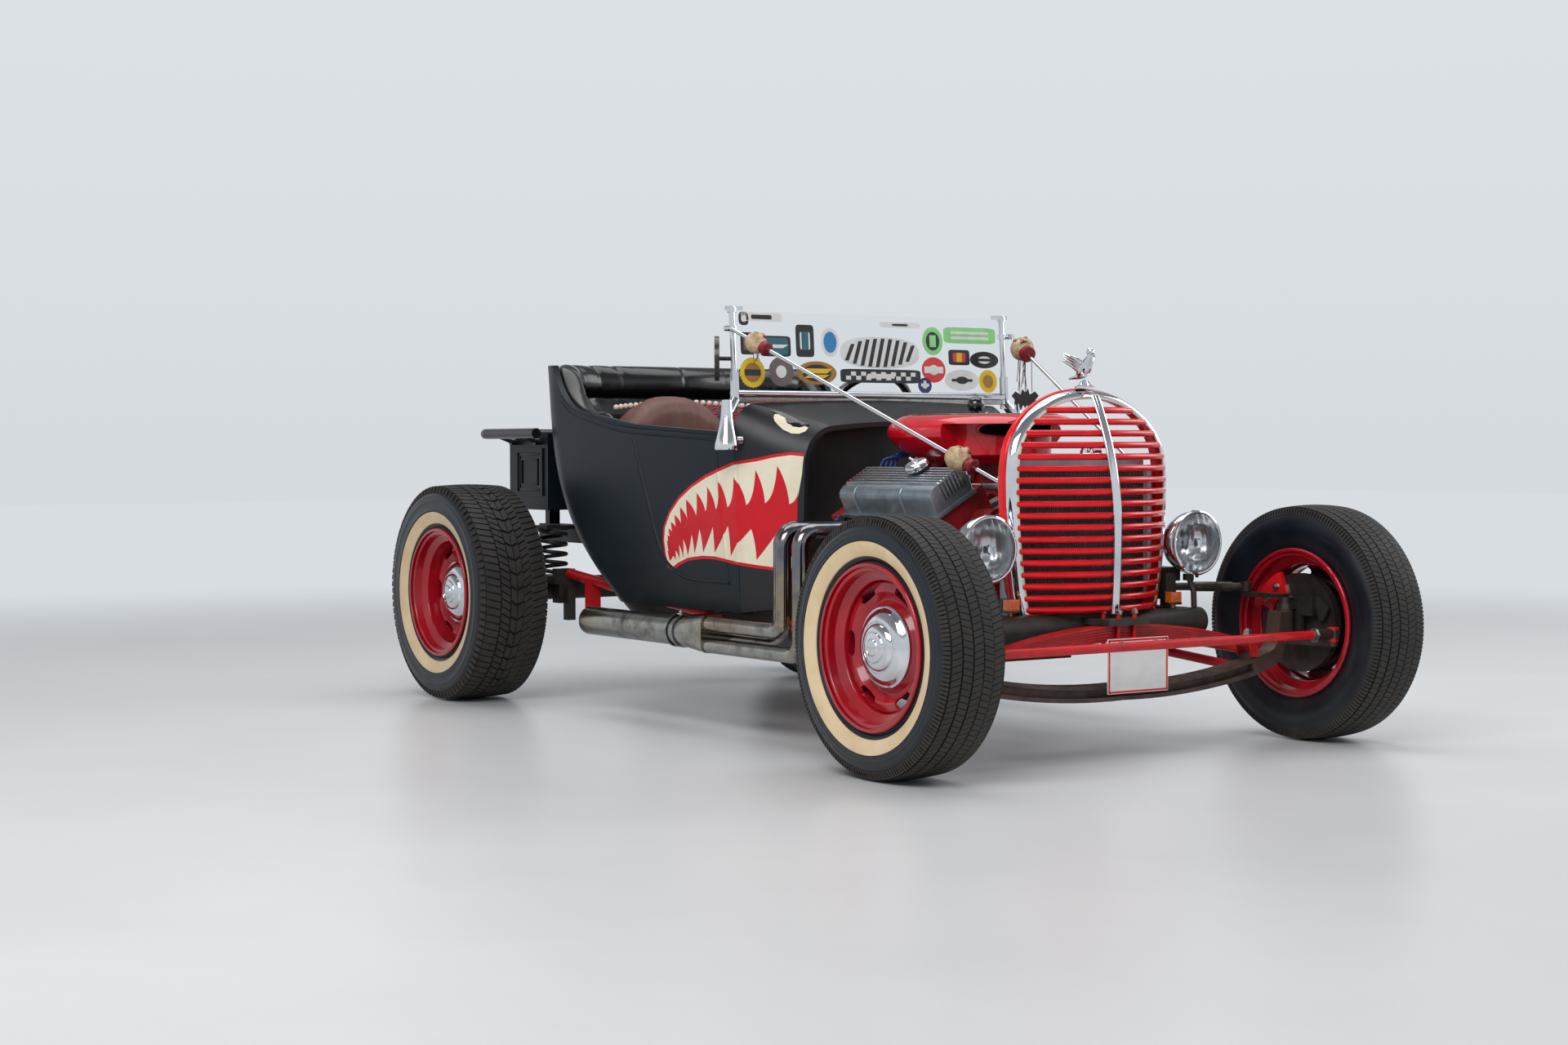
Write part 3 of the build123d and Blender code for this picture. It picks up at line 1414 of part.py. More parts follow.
# Pickup bed behind the tub, the round rail about it and the tail lamps
bed_half = 452
bed_front = wheelbase - 60
bed_rear = wheelbase + 210
bed_low = 612
bed_high = 866
bed_wall = 16
with BuildPart() as bed:
    block((-bed_half, bed_half), (bed_front, bed_rear), (bed_low, bed_high))
    block((-bed_half + bed_wall, bed_half - bed_wall), (bed_front + bed_wall, bed_rear - bed_wall),
          (bed_low + bed_wall, bed_high))
    with BuildSketch(Plane.XY.offset(bed_low + bed_wall)):
        with Locations((0, station((bed_front + bed_rear) / 2))):
            Rectangle(2 * (bed_half - bed_wall), bed_rear - bed_front - 2 * bed_wall)
    extrude(amount=bed_high - bed_low, mode=Mode.SUBTRACT)
    # Feet down to the rails
    for x in mirrored(rail_x):
        for distance in (bed_front + 30, bed_rear - 40):
            block((x - 20, x + 20), (distance - 15, distance + 15), (kick_high + seat_gap, bed_low))
    # Pressed panel on each side
    for side in (-1, 1):
        with BuildSketch(along(side * bed_half)):
            with Locations((station(bed_front + 125), 738)):
                Rectangle(190, 160)
                Rectangle(160, 130, mode=Mode.SUBTRACT)
        extrude(amount=side * 6)
keep(bed, "bed")

rail_half = 545
rail_tube = 17
bed_rail_z = 866
rail_start = bed_front - 95
rail_end = bed_rear + 42
with BuildPart() as bed_rail:
    pipe(
        [(-rail_half, station(rail_start), bed_rail_z), (-rail_half, station(rail_end), bed_rail_z),
         (rail_half, station(rail_end), bed_rail_z), (rail_half, station(rail_start), bed_rail_z)],
        rail_tube, 60,
    )
    for side in (-1, 1):
        for distance in (bed_front + 50, bed_rear - 50):
            rod((side * rail_half, station(distance), bed_rail_z),
                (side * (bed_half + 20), station(distance), bed_rail_z - 26), 7)
            rod((side * (bed_half + 24), station(distance), bed_rail_z - 26),
                (side * (bed_half + seat_gap), station(distance), bed_rail_z - 26), 12)
keep(bed_rail, "bed_rail")

with BuildPart() as tail_lamps:
    for x in mirrored(370):
        rod((x, station(bed_rear + seat_gap), 735), (x, station(bed_rear + 26), 735), 42)
keep(tail_lamps, "tail_lamps")
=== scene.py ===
# %% [markdown]
# # Street rod roadster
# This lesson dresses a finished construction model of an open two-seat street rod. The model gives
# every part its place and size, so the lesson only adds what the eye looks for: paint, chrome,
# rubber, stitched vinyl, and the small pieces that the construction leaves out. Lengths are in
# metres. The nose looks along -Y, the car's left side is +X, and Z is up from the ground.

# %% load the frame
import random
from math import copysign, cos, degrees, exp, hypot, pi, radians, sin, sqrt

import bmesh
import bpy
from mathutils import Matrix, Vector
from mathutils.bvhtree import BVHTree


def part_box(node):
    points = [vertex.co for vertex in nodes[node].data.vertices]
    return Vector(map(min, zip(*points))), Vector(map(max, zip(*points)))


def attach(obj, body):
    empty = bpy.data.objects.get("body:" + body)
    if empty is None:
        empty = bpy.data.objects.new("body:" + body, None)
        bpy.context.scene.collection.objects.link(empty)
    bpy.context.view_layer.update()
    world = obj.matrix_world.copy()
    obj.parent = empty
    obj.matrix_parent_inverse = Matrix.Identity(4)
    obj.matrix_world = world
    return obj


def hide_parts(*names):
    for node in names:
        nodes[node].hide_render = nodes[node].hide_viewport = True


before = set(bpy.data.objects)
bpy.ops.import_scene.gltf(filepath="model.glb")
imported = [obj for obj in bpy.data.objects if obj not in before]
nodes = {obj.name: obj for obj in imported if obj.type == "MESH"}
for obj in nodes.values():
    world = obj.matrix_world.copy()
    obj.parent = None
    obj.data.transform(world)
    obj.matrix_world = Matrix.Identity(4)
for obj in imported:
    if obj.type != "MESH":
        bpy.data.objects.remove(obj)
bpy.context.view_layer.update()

# %% places that the frame gives
def middle(node):
    """Middle of a CAD node's box."""
    low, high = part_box(node)
    return (low + high) / 2


CORNERS = ("front_right", "front_left", "rear_right", "rear_left")
WHEEL = {corner: middle("tyre_" + corner) for corner in CORNERS}
SIDE_OF = {corner: -1 if corner.endswith("right") else 1 for corner in CORNERS}
FRONT_Y = WHEEL["front_right"].y
SIDES = (-1, 1)
BACK, UP = (0, 1, 0), (0, 0, 1)


def behind(distance):
    """Y of a place that lies this far behind the front axle."""
    return FRONT_Y + distance


def at(x, distance, height):
    """A place by its distance behind the front axle."""
    return Vector((x, behind(distance), height))


print("front axle at y", round(FRONT_Y, 4), "wheelbase", round(WHEEL["rear_right"].y - FRONT_Y, 3))

# %% [markdown]
# ## Shapes by numbers
# Most pieces here are turned, bent from tube or pressed from sheet, so a small class that gathers
# points and faces is enough: it turns a profile, sweeps a tube, adds a ball, a bevelled block or a
# pressed outline. A whole piece then becomes one mesh, which keeps the part list short.

# %% shape helper
def circle(count):
    """Cosine and sine of evenly spread angles."""
    return [(cos(2 * pi * step / count), sin(2 * pi * step / count)) for step in range(count)]


def squared(value, exponent):
    """A power that keeps the sign; it squares a circle off."""
    return copysign(abs(value) ** exponent, value)


def cross_axes(direction):
    """The direction and two more square to it."""
    ahead = Vector(direction).normalized()
    side = ahead.cross(Vector(UP))
    if side.length < 1e-3:
        side = Vector((1, 0, 0))
    side.normalize()
    return ahead, side, side.cross(ahead)


def smooth_line(knots, step=0.012):
    """Points along a soft curve through the knots."""
    knots = [Vector(knot) for knot in knots]
    line = []
    for number, (here, there) in enumerate(zip(knots, knots[1:])):
        before, after = knots[max(number - 1, 0)], knots[min(number + 2, len(knots) - 1)]
        count = max(2, int((there - here).length / step))
        for part in range(count):
            t = part / count
            line.append(0.5 * (2 * here + (there - before) * t + (2 * before - 5 * here + 4 * there -
                after) * t * t + (3 * here - before - 3 * there + after) * t ** 3))
    return line + [knots[-1]]


def strip_faces(one, two, count, closed=True):
    """Quads between two rings or rows of points."""
    return [(one + step, one + (step + 1) % count, two + (step + 1) % count,
        two + step) for step in range(count if closed else count - 1)]


class Shape:
    """Gathers the points and faces of one piece; self.skin is the number of the material in use."""

    def __init__(self):
        self.points = []
        self.faces = []
        self.skins = []
        self.skin = 0

    def add(self, points, faces):
        base = len(self.points)
        self.points.extend(Vector(p) for p in points)
        self.faces.extend(tuple(base + i for i in face) for face in faces)
        self.skins.extend([self.skin] * len(faces))

    def turn(self, profile, origin, direction, steps=48, skins=None):
        """Turns (along, radius) pairs about an axis."""
        ahead, side, rise = cross_axes(direction)
        origin = Vector(origin)
        first = len(self.points)
        rings = []
        for along, radius in profile:
            spokes = circle(steps) if radius >= 1e-6 else [(1.0, 0.0)]
            rings.append((first, len(spokes)))
            first += len(spokes)
            self.points += [origin + ahead * along + (side * cosine + rise * sine) * radius for cosine,
                sine in spokes]
        for number, ((first, count), (second, others)) in enumerate(zip(rings, rings[1:])):
            for step in range(steps):
                after = (step + 1) % steps
                ring = (first + step % count, first + after % count, second + after % others,
                    second + step % others)
                face = tuple(dict.fromkeys(ring))
                if len(face) > 2:
                    self.faces.append(face)
                    self.skins.append(skins[number] if skins else self.skin)

    def collar(self, origin, direction, half, inner, outer, steps):
        """A short sleeve, or a disc where the inner radius is 0."""
        self.turn([(-half, inner), (-half, outer), (half, outer), (half, inner)], origin, direction,
            steps)

    def tube(self, path, radius, sides=12, closed=False):
        """Sweeps a round section along points; radius is one number or one for each point."""
        path = [Vector(p) for p in path]
        count = len(path)
        radii = radius if isinstance(radius, list) else [radius] * count
        side = None
        points = []
        for number, point in enumerate(path):
            back = path[number - 1] if number or closed else point
            front = path[(number + 1) % count] if number < count - 1 or closed else point
            ahead = (front - back).normalized()
            if side is None:
                side = cross_axes(ahead)[1]
            side = (side - ahead * side.dot(ahead)).normalized()
            rise = side.cross(ahead)
            points += [point + (side * cosine + rise * sine) * radii[number] for cosine,
                sine in circle(sides)]
        faces = []
        for number in range(count if closed else count - 1):
            faces += strip_faces(number * sides, (number + 1) % count * sides, sides)
        if not closed:
            faces.append(tuple(reversed(range(sides))))
            faces.append(tuple((count - 1) * sides + step for step in range(sides)))
        self.add(points, faces)

    def ball(self, centre, radius, squash=1.0, direction=UP, steps=24):
        """A ball, or a flattened one, about an axis."""
        half = steps // 2
        angles = [pi * step / half for step in range(half + 1)]
        self.turn([(-cos(angle) * radius * squash, abs(sin(angle)) * radius) for angle in angles],
            centre, direction, steps)

    def block(self, low, high, bevel=0.002):
        """A block with bevelled edges."""
        shape = bmesh.new()
        bmesh.ops.create_cube(shape, size=1)
        low = Vector(low)
        size = Vector(high) - low
        for vert in shape.verts:
            vert.co = low + Vector(((vert.co[i] + 0.5) * size[i] for i in range(3)))
        self.take(shape, bevel)

    def plate(self, outline, offset, bevel=0.0):
        """Pushes a flat outline of points along an offset; both faces closed."""
        shape = bmesh.new()
        first = [shape.verts.new(p) for p in outline]
        second = [shape.verts.new(Vector(p) + Vector(offset)) for p in outline]
        shape.faces.new(first)
        shape.faces.new(list(reversed(second)))
        count = len(outline)
        for step in range(count):
            after = (step + 1) % count
            shape.faces.new((first[step], second[step], second[after], first[after]))
        self.take(shape, bevel)

    def grid(self, rows, closed=False, ends=False):
        """A sheet through rows of points; closed joins each row's end to its start."""
        width = len(rows[0])
        faces = []
        for number in range(len(rows) - 1):
            faces += strip_faces(number * width, (number + 1) * width, width, closed)
        if ends:
            total = len(rows) * width
            faces += [tuple(range(width)), tuple(range(total - width, total))]
        self.add([p for row in rows for p in row], faces)

    def take(self, shape, bevel):
        """Bevels a bmesh, takes it over and frees it."""
        if bevel:
            bmesh.ops.bevel(shape, geom=shape.edges[:], offset=bevel, segments=2, profile=0.7,
                affect="EDGES")
        shape.verts.index_update()
        self.add([v.co.copy() for v in shape.verts], [[v.index for v in f.verts] for f in shape.faces])
        shape.free()


SMOOTH = 38


def smooth_mesh(mesh, angle=SMOOTH):
    """Smooth shading with sharp edges above an angle."""
    mesh.shade_smooth()
    mesh.set_sharp_from_angle(angle=radians(angle))
    mesh.update()
    return mesh


def make_mesh(name, shape, skins, smooth=SMOOTH, outward=True):
    """Turns a Shape into a mesh with its materials, its faces pointing outwards."""
    mesh = bpy.data.meshes.new(name)
    mesh.from_pydata(shape.points, [], shape.faces)
    for skin in skins:
        mesh.materials.append(skin)
    mesh.polygons.foreach_set("material_index", shape.skins)
    if outward:
        work = bmesh.new()
        work.from_mesh(mesh)
        bmesh.ops.recalc_face_normals(work, faces=work.faces)
        work.to_mesh(mesh)
        work.free()
    return smooth_mesh(mesh, smooth)


def add_object(name, data):
    """A new object in the scene."""
    thing = bpy.data.objects.new(name, data)
    bpy.context.scene.collection.objects.link(thing)
    return thing


def show(name, mesh, body, stands_for=()):
    """Puts a finished mesh in the scene on its body."""
    thing = add_object(name, mesh)
    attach(thing, body)
    if stands_for:
        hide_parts(*stands_for)
    tris = sum(len(p.vertices) - 2 for p in mesh.polygons)
    print(f"{name}: {tris} triangles on {body}")
    return thing


def build(name, shape, skins, body, stands_for=(), smooth=SMOOTH, outward=True):
    """A Shape straight to a piece in the scene."""
    return show(name, make_mesh(name, shape, skins, smooth, outward), body, stands_for)


def run_modifier(mesh, kind, prepare):
    """Puts a modifier on a mesh, lets it be prepared, and gives the plain mesh that comes out."""
    holder = add_object("holder", mesh)
    prepare(holder.modifiers.new("step", kind))
    graph = bpy.context.evaluated_depsgraph_get()
    made = bpy.data.meshes.new_from_object(holder.evaluated_get(graph), depsgraph=graph)
    bpy.data.objects.remove(holder)
    return made


def search_tree(meshes):
    """A search tree over the faces of some meshes, for casting rays."""
    points = []
    faces = []
    for mesh in meshes:
        base = len(points)
        points.extend(vert.co.copy() for vert in mesh.vertices)
        faces.extend(tuple(base + i for i in face.vertices) for face in mesh.polygons)
    return BVHTree.FromPolygons(points, faces)


# %% [markdown]
# ## Repeats by Geometry Nodes
# Tread blocks, bolts, fins, beads and springs repeat by a rule. Each rule is one small tree with named
# inputs. The tree ends in Realize Instances and Set Material, and its result is turned into a plain
# mesh.

# %% node helper
def feed(tree, made, values):
    """Sets a node's inputs or links them to a socket, or to another node's first output."""
    for key, value in values.items():
        if isinstance(value, bpy.types.Node):
            value = value.outputs[0]
        if isinstance(value, bpy.types.NodeSocket):
            tree.links.new(value, made.inputs[key])
        else:
            made.inputs[key].default_value = value


def node(tree, kind, inputs=(), **settings):
    """Adds a node with its properties and inputs."""
    made = tree.nodes.new(kind)
    for key, value in settings.items():
        setattr(made, key, value)
    feed(tree, made, dict(inputs))
    return made


def maths(tree, operation, *values, clamp=False):
    """A Math node on its values."""
    return node(tree, "ShaderNodeMath", dict(enumerate(values)), operation=operation, use_clamp=clamp)


SOCKET_OF = {float: "Float", int: "Int", tuple: "Vector"}


def new_tree(name, kind, inputs, output):
    """A node group; an input is given by its value, or by its kind where it has none."""
    tree = bpy.data.node_groups.new(name, kind)
    for label, value in inputs.items():
        bare = isinstance(value, str)
        socket = tree.interface.new_socket(name=label, in_out="INPUT",
            socket_type="NodeSocket" + (value if bare else SOCKET_OF[type(value)]))
        if not bare:
            socket.default_value = value
    tree.interface.new_socket(name=output[0], in_out="OUTPUT", socket_type="NodeSocket" + output[1])
    return tree, tree.nodes.new("NodeGroupInput").outputs, tree.nodes.new("NodeGroupOutput")


def rule(name, inputs, copies):
    """A tree that ends in real geometry with its material; copies(tree, source) makes its middle."""
    tree, source, leave = new_tree(name, "GeometryNodeTree", {"Geometry": "Geometry", **inputs,
        "Material": "Material"}, ("Geometry", "Geometry"))
    real = node(tree, "GeometryNodeRealizeInstances", {0: copies(tree, source)})
    feed(tree, leave, {0: node(tree, "GeometryNodeSetMaterial", {"Geometry": real,
        "Material": source["Material"]})})
    return tree


def copies_round(tree, source):
    """Copies of what comes in, spread evenly about an axis."""
    back = node(tree, "ShaderNodeVectorMath", {0: source["Centre"], 1: (-1, -1, -1)},
        operation="MULTIPLY")
    local = node(tree, "GeometryNodeTransform", {"Geometry": source["Geometry"], "Translation": back})
    points = node(tree, "GeometryNodePoints", {"Count": source["Count"], "Position": source["Centre"]})
    share = maths(tree, "DIVIDE", node(tree, "GeometryNodeInputIndex"), source["Count"])
    turn = node(tree, "FunctionNodeAxisAngleToRotation", {"Axis": source["Axis"], "Angle": maths(tree,
        "MULTIPLY", share, 2 * pi)})
    return node(tree, "GeometryNodeInstanceOnPoints", {"Points": points, "Instance": local,
        "Rotation": turn})


def copies_along(tree, source):
    """Copies of what comes in, each one step further."""
    place = node(tree, "ShaderNodeVectorMath", {0: source["Step"], "Scale": node(tree,
        "GeometryNodeInputIndex")}, operation="SCALE")
    points = node(tree, "GeometryNodePoints", {"Count": source["Count"], "Position": place})
    return node(tree, "GeometryNodeInstanceOnPoints", {"Points": points,
        "Instance": source["Geometry"]})


def wire_coil(tree, source):
    """A round wire wound into an upright coil."""
    spiral = node(tree, "GeometryNodeCurveSpiral", {"Resolution": 28, "Rotations": source["Turns"],
        "Start Radius": source["Coil Radius"], "End Radius": source["Coil Radius"],
        "Height": source["Height"]})
    section = node(tree, "GeometryNodeCurvePrimitiveCircle", {"Resolution": 12,
        "Radius": source["Wire Radius"]})
    wire = node(tree, "GeometryNodeCurveToMesh", {"Curve": spiral, "Profile Curve": section,
        "Fill Caps": True})
    return node(tree, "GeometryNodeTransform", {"Geometry": wire, "Translation": source["Foot"]})


def beads_on_path(tree, source):
    """Round beads threaded along a line of edges."""
    thread = node(tree, "GeometryNodeMeshToCurve", {"Mesh": source["Geometry"]})
    stops = node(tree, "GeometryNodeResampleCurve", {"Curve": thread, "Length": source["Spacing"]},
        mode="LENGTH")
    bead = node(tree, "GeometryNodeMeshUVSphere", {"Segments": 12, "Rings": 8,
        "Radius": source["Bead Radius"]})
    return node(tree, "GeometryNodeInstanceOnPoints", {"Points": stops, "Instance": bead})


ROUND = rule("copies_round", {"Count": 6, "Centre": (0, 0, 0), "Axis": (1, 0, 0)}, copies_round)
ALONG = rule("copies_along", {"Count": 6, "Step": (0, 0, 0.1)}, copies_along)
COIL = rule("wire_coil", {"Turns": 4.0, "Coil Radius": 0.045, "Height": 0.15, "Wire Radius": 0.006,
    "Foot": (0, 0, 0)}, wire_coil)
BEADS = rule("beads_on_path", {"Spacing": 0.02, "Bead Radius": 0.009}, beads_on_path)


def run_tree(tree, mesh, inputs, smooth=SMOOTH):
    """Runs a tree on a mesh and gives the plain mesh that comes out."""
    def prepare(modifier):
        modifier.node_group = tree
        for item in tree.interface.items_tree:
            if item.in_out == "INPUT" and item.name in inputs:
                modifier[item.identifier] = inputs[item.name]

    return smooth_mesh(run_modifier(mesh, "NODES", prepare), smooth)


def join_meshes(name, meshes):
    """Several plain meshes in one, with their materials kept."""
    skins = []
    work = bmesh.new()
    for mesh in meshes:
        start = len(work.faces)
        work.from_mesh(mesh)
        work.faces.ensure_lookup_table()
        skins += dict.fromkeys(skin for skin in list(mesh.materials) if skin not in skins)
        places = [skins.index(skin) for skin in mesh.materials]
        for face in work.faces[start:]:
            face.material_index = places[face.material_index] if places else 0
    joined = bpy.data.meshes.new(name)
    work.to_mesh(joined)
    work.free()
    for skin in skins:
        joined.materials.append(skin)
    return joined


print("trees:", [tree.name for tree in (ROUND, ALONG, COIL, BEADS)])

# %% [markdown]
# ## Finishes
# Real paint is never one colour: it is cloudy, a little dusty low down, and its surface has a fine
# texture. Each of these effects is a shader group with named inputs, built once. Every material
# then places the groups with its own values, so the finishes look related without being the same.

# %% shader groups
def linear(*colour):
    """A colour as seen on a screen, 0 to 255, as the linear values that a shader takes."""
    shares = [value / 255 for value in colour]
    return (*(v / 12.92 if v <= 0.04045 else ((v + 0.055) / 1.055) ** 2.4 for v in shares), 1.0)


def effect(name, inputs, shading, output="Mask"):
    """A shader group of one effect; shading(tree, where, source) makes its nodes."""
    tree, source, leave = new_tree(name, "ShaderNodeTree", {"Vector": "Vector", **inputs},
        (output, "Float"))
    feed(tree, leave, {0: shading(tree, source["Vector"], source)})
    return tree


def clouds(tree, where, source):
    """Soft cloudy mask."""
    noise = node(tree, "ShaderNodeTexNoise", {"Vector": where, "Scale": source["Scale"], "Detail": 6.0,
        "Roughness": 0.6})
    return node(tree, "ShaderNodeMapRange", {"Value": noise, "From Min": source["Low"],
        "From Max": source["High"]})


def low_dust(tree, where, source):
    """Mask of dust that settles low down."""
    height = node(tree, "ShaderNodeSeparateXYZ", {"Vector": where}).outputs["Z"]
    fade = node(tree, "ShaderNodeMapRange", {"Value": height, "From Min": source["Top"],
        "From Max": 0.0})
    noise = node(tree, "ShaderNodeTexNoise", {"Vector": where, "Scale": 23.0, "Detail": 5.0})
    both = maths(tree, "MULTIPLY", fade, noise)
    return maths(tree, "MULTIPLY", both, source["Amount"], clamp=True)


def surface_grain(tree, where, source):
    """Height of a fine surface texture: smooth noise mixed with cells."""
    noise = node(tree, "ShaderNodeTexNoise", {"Vector": where, "Scale": source["Scale"], "Detail": 3.0})
    cells = node(tree, "ShaderNodeTexVoronoi", {"Vector": where, "Scale": source["Scale"]},
        feature="DISTANCE_TO_EDGE")
    crease = node(tree, "ShaderNodeMapRange", {"Value": cells.outputs["Distance"], "From Max": 0.25})
    return node(tree, "ShaderNodeMix", {0: source["Cells"], 2: noise, 3: crease})


def scratches(tree, where, source):
    """Mask of fine scratches and chips."""
    stretch = node(tree, "ShaderNodeMapping", {"Vector": where, "Rotation": (0.4, 0.2, 0.9),
        "Scale": (1.0, 9.0, 3.0)})
    noise = node(tree, "ShaderNodeTexNoise", {"Vector": stretch, "Scale": source["Scale"],
        "Detail": 8.0, "Roughness": 0.7})
    thin = node(tree, "ShaderNodeMapRange", {"Value": noise, "From Min": 0.66, "From Max": 0.72})
    return maths(tree, "MULTIPLY", thin, source["Amount"], clamp=True)


CLOUDS = effect("clouds", {"Scale": 5.0, "Low": 0.35, "High": 0.65}, clouds)
DUST = effect("low_dust", {"Top": 0.4, "Amount": 0.3}, low_dust)
GRAIN = effect("surface_grain", {"Scale": 300.0, "Cells": 0.0}, surface_grain, "Height")
SCRATCHES = effect("scratches", {"Scale": 30.0, "Amount": 0.3}, scratches)
print("shader groups:", [tree.name for tree in (CLOUDS, DUST, GRAIN, SCRATCHES)])


# %% finish builder
DUST_COLOUR = linear(138, 130, 118)


def group(tree, kind, where, **inputs):
    """Places a shader group in a material."""
    return node(tree, "ShaderNodeGroup", {"Vector": where, **inputs}, node_tree=kind)


def mix(tree, share, one, other):
    """Mixes two colours."""
    return node(tree, "ShaderNodeMix", {0: share, 6: one, 7: other}, data_type="RGBA").outputs[2]


def add_up(tree, one, other, factor):
    """one + other * factor."""
    return maths(tree, "MULTIPLY_ADD", other, factor, one)


def start(name):
    """An empty material with its output, its Principled shader and its Object coordinates."""
    made = bpy.data.materials.new(name)
    made.use_nodes = True
    tree = made.node_tree
    tree.nodes.clear()
    skin = node(tree, "ShaderNodeBsdfPrincipled")
    node(tree, "ShaderNodeOutputMaterial", {"Surface": skin})
    return made, tree, skin, node(tree, "ShaderNodeTexCoord").outputs["Object"]


def bump(tree, height, depth):
    """A bump of a real depth in metres."""
    return node(tree, "ShaderNodeBump", {"Height": height, "Distance": depth, "Strength": 0.8})


def finish(name, colour, worn, rough, cloud, grain, depth, metallic=0.0, coat=0.0, spread=0.12,
        cells=0.0, dust=None, scratch=None, shine=0.5):
    """The usual finish: clouds between two colours, dust, scratches and grain.

    dust is (amount, top), scratch is (amount, colour).
    """
    made, tree, skin, where = start(name)
    mask = group(tree, CLOUDS, where, Scale=cloud)
    tone = mix(tree, mask, linear(*colour), linear(*worn))
    roughness = add_up(tree, rough - spread / 2, mask, spread)
    if scratch:
        marks = group(tree, SCRATCHES, where, Amount=scratch[0])
        tone = mix(tree, marks, tone, linear(*scratch[1]))
        roughness = add_up(tree, roughness, marks, 0.2)
    if dust:
        film = group(tree, DUST, where, Top=dust[1], Amount=dust[0])
        tone = mix(tree, film, tone, DUST_COLOUR)
        roughness = add_up(tree, roughness, film, 0.5)
    texture = group(tree, GRAIN, where, Scale=grain, Cells=cells)
    feed(tree, skin, {"Base Color": tone, "Roughness": roughness, "Metallic": metallic,
        "Coat Weight": coat, "Coat Roughness": 0.05, "Specular IOR Level": shine, "Normal": bump(tree,
        texture, depth)})
    return made


# %% [markdown]
# ## The paint and metal of this car
# The tub is satin black with a blue cast, the cowl a greyer black. The wheels and running gear are
# red enamel, the front beam is bare iron gone brown, and the bright parts are chrome.

# %% paint and metal: name, colour, worn colour, roughness, cloud scale, grain scale and depth
TUB_PAINT = finish("tub_satin_black", (10, 20, 28), (15, 27, 36), 0.36, 2.2, 900, 0.00004,
    dust=(0.09, 0.75), scratch=(0.08, (52, 60, 66)), shine=0.24)
COWL_PAINT = finish("cowl_satin_black", (25, 26, 30), (31, 32, 36), 0.33, 2.2, 900, 0.00004,
    dust=(0.1, 0.75), scratch=(0.08, (60, 60, 62)), shine=0.33)
CHASSIS_PAINT = finish("chassis_black", (16, 16, 17), (32, 28, 26), 0.45, 9, 500, 0.0001,
    dust=(0.4, 0.7), scratch=(0.3, (80, 66, 55)), shine=0.4)
GLOSS_BLACK = finish("gloss_black", (9, 9, 10), (14, 14, 15), 0.12, 3, 700, 0.00002, coat=0.6)
RAIL_BLACK = finish("rail_black", (20, 22, 24), (30, 32, 34), 0.3, 6, 600, 0.00005,
    scratch=(0.2, (60, 62, 64)), coat=0.2)
WHEEL_RED = finish("wheel_red", (176, 10, 32), (150, 6, 26), 0.2, 6, 700, 0.00003, dust=(0.08, 0.5),
    coat=0.6, shine=0.3)
BAR_RED = finish("bar_red", (234, 12, 24), (212, 8, 20), 0.24, 14, 260, 0.00015,
    scratch=(0.25, (150, 16, 18)), coat=0.4, shine=0.25)
SCOOP_RED = finish("scoop_red", (212, 12, 34), (190, 8, 28), 0.24, 4, 600, 0.00003, coat=0.5, shine=0.3)
GEAR_RED = finish("gear_red", (212, 18, 28), (178, 14, 22), 0.34, 18, 300, 0.00012, dust=(0.1, 0.6),
    scratch=(0.5, (74, 24, 20)), coat=0.2, shine=0.3)
ENGINE_RED = finish("engine_red", (150, 12, 22), (86, 12, 14), 0.42, 16, 180, 0.0004, dust=(0.15, 0.8),
    scratch=(0.5, (36, 22, 20)), coat=0.1, shine=0.35)
BEAM_BROWN = finish("beam_brown", (74, 48, 40), (44, 30, 27), 0.52, 22, 160, 0.0005, dust=(0.5, 0.5),
    scratch=(0.6, (112, 74, 56)), metallic=0.25, spread=0.3)
DARK_STEEL = finish("dark_steel", (66, 62, 60), (38, 33, 31), 0.42, 25, 220, 0.0003, dust=(0.7, 0.6),
    scratch=(0.4, (110, 88, 70)), metallic=0.8, spread=0.25)
BRIGHT_STEEL = finish("bright_steel", (176, 174, 170), (142, 138, 132), 0.3, 30, 400, 0.0001,
    scratch=(0.3, (96, 88, 80)), metallic=1.0, spread=0.2)
CHROME = finish("chrome", (226, 228, 231), (205, 207, 211), 0.07, 7, 60, 0.00004,
    scratch=(0.05, (150, 150, 152)), metallic=1.0, spread=0.06)
CAST_ALLOY = finish("cast_alloy", (146, 156, 162), (112, 122, 128), 0.38, 12, 420, 0.0002,
    scratch=(0.2, (160, 162, 164)), metallic=0.75, spread=0.18)
POLISHED = finish("polished_alloy", (214, 216, 218), (182, 184, 188), 0.22, 12, 200, 0.00008,
    metallic=1.0, spread=0.14)
COPPER = finish("copper_brown", (150, 84, 64), (96, 50, 40), 0.45, 20, 300, 0.0001)
RUBBER = finish("black_rubber", (24, 24, 25), (34, 33, 33), 0.55, 14, 500, 0.00012, dust=(0.3, 0.8))
CORE_BLACK = finish("core_black", (20, 19, 19), (38, 34, 32), 0.6, 10, 300, 0.0002, dust=(0.5, 1.0))
TANK_PALE = finish("tank_pale", (150, 172, 184), (186, 196, 202), 0.4, 9, 200, 0.0001, metallic=0.5)
LEAD_BLUE = finish("lead_blue", (44, 78, 152), (30, 56, 120), 0.35, 40, 500, 0.00005)
CREAM_PAINT = finish("cream_paint", (226, 212, 184), (208, 190, 158), 0.4, 30, 500, 0.00005,
    scratch=(0.2, (150, 90, 70)))
MOUTH_RED = finish("mouth_red", (216, 26, 40), (204, 18, 34), 0.36, 8, 900, 0.00003,
    scratch=(0.1, (170, 36, 38)), shine=0.3)
TOOTH_CREAM = finish("tooth_cream", (244, 236, 212), (236, 224, 196), 0.38, 8, 900, 0.00003,
    scratch=(0.1, (204, 192, 164)))
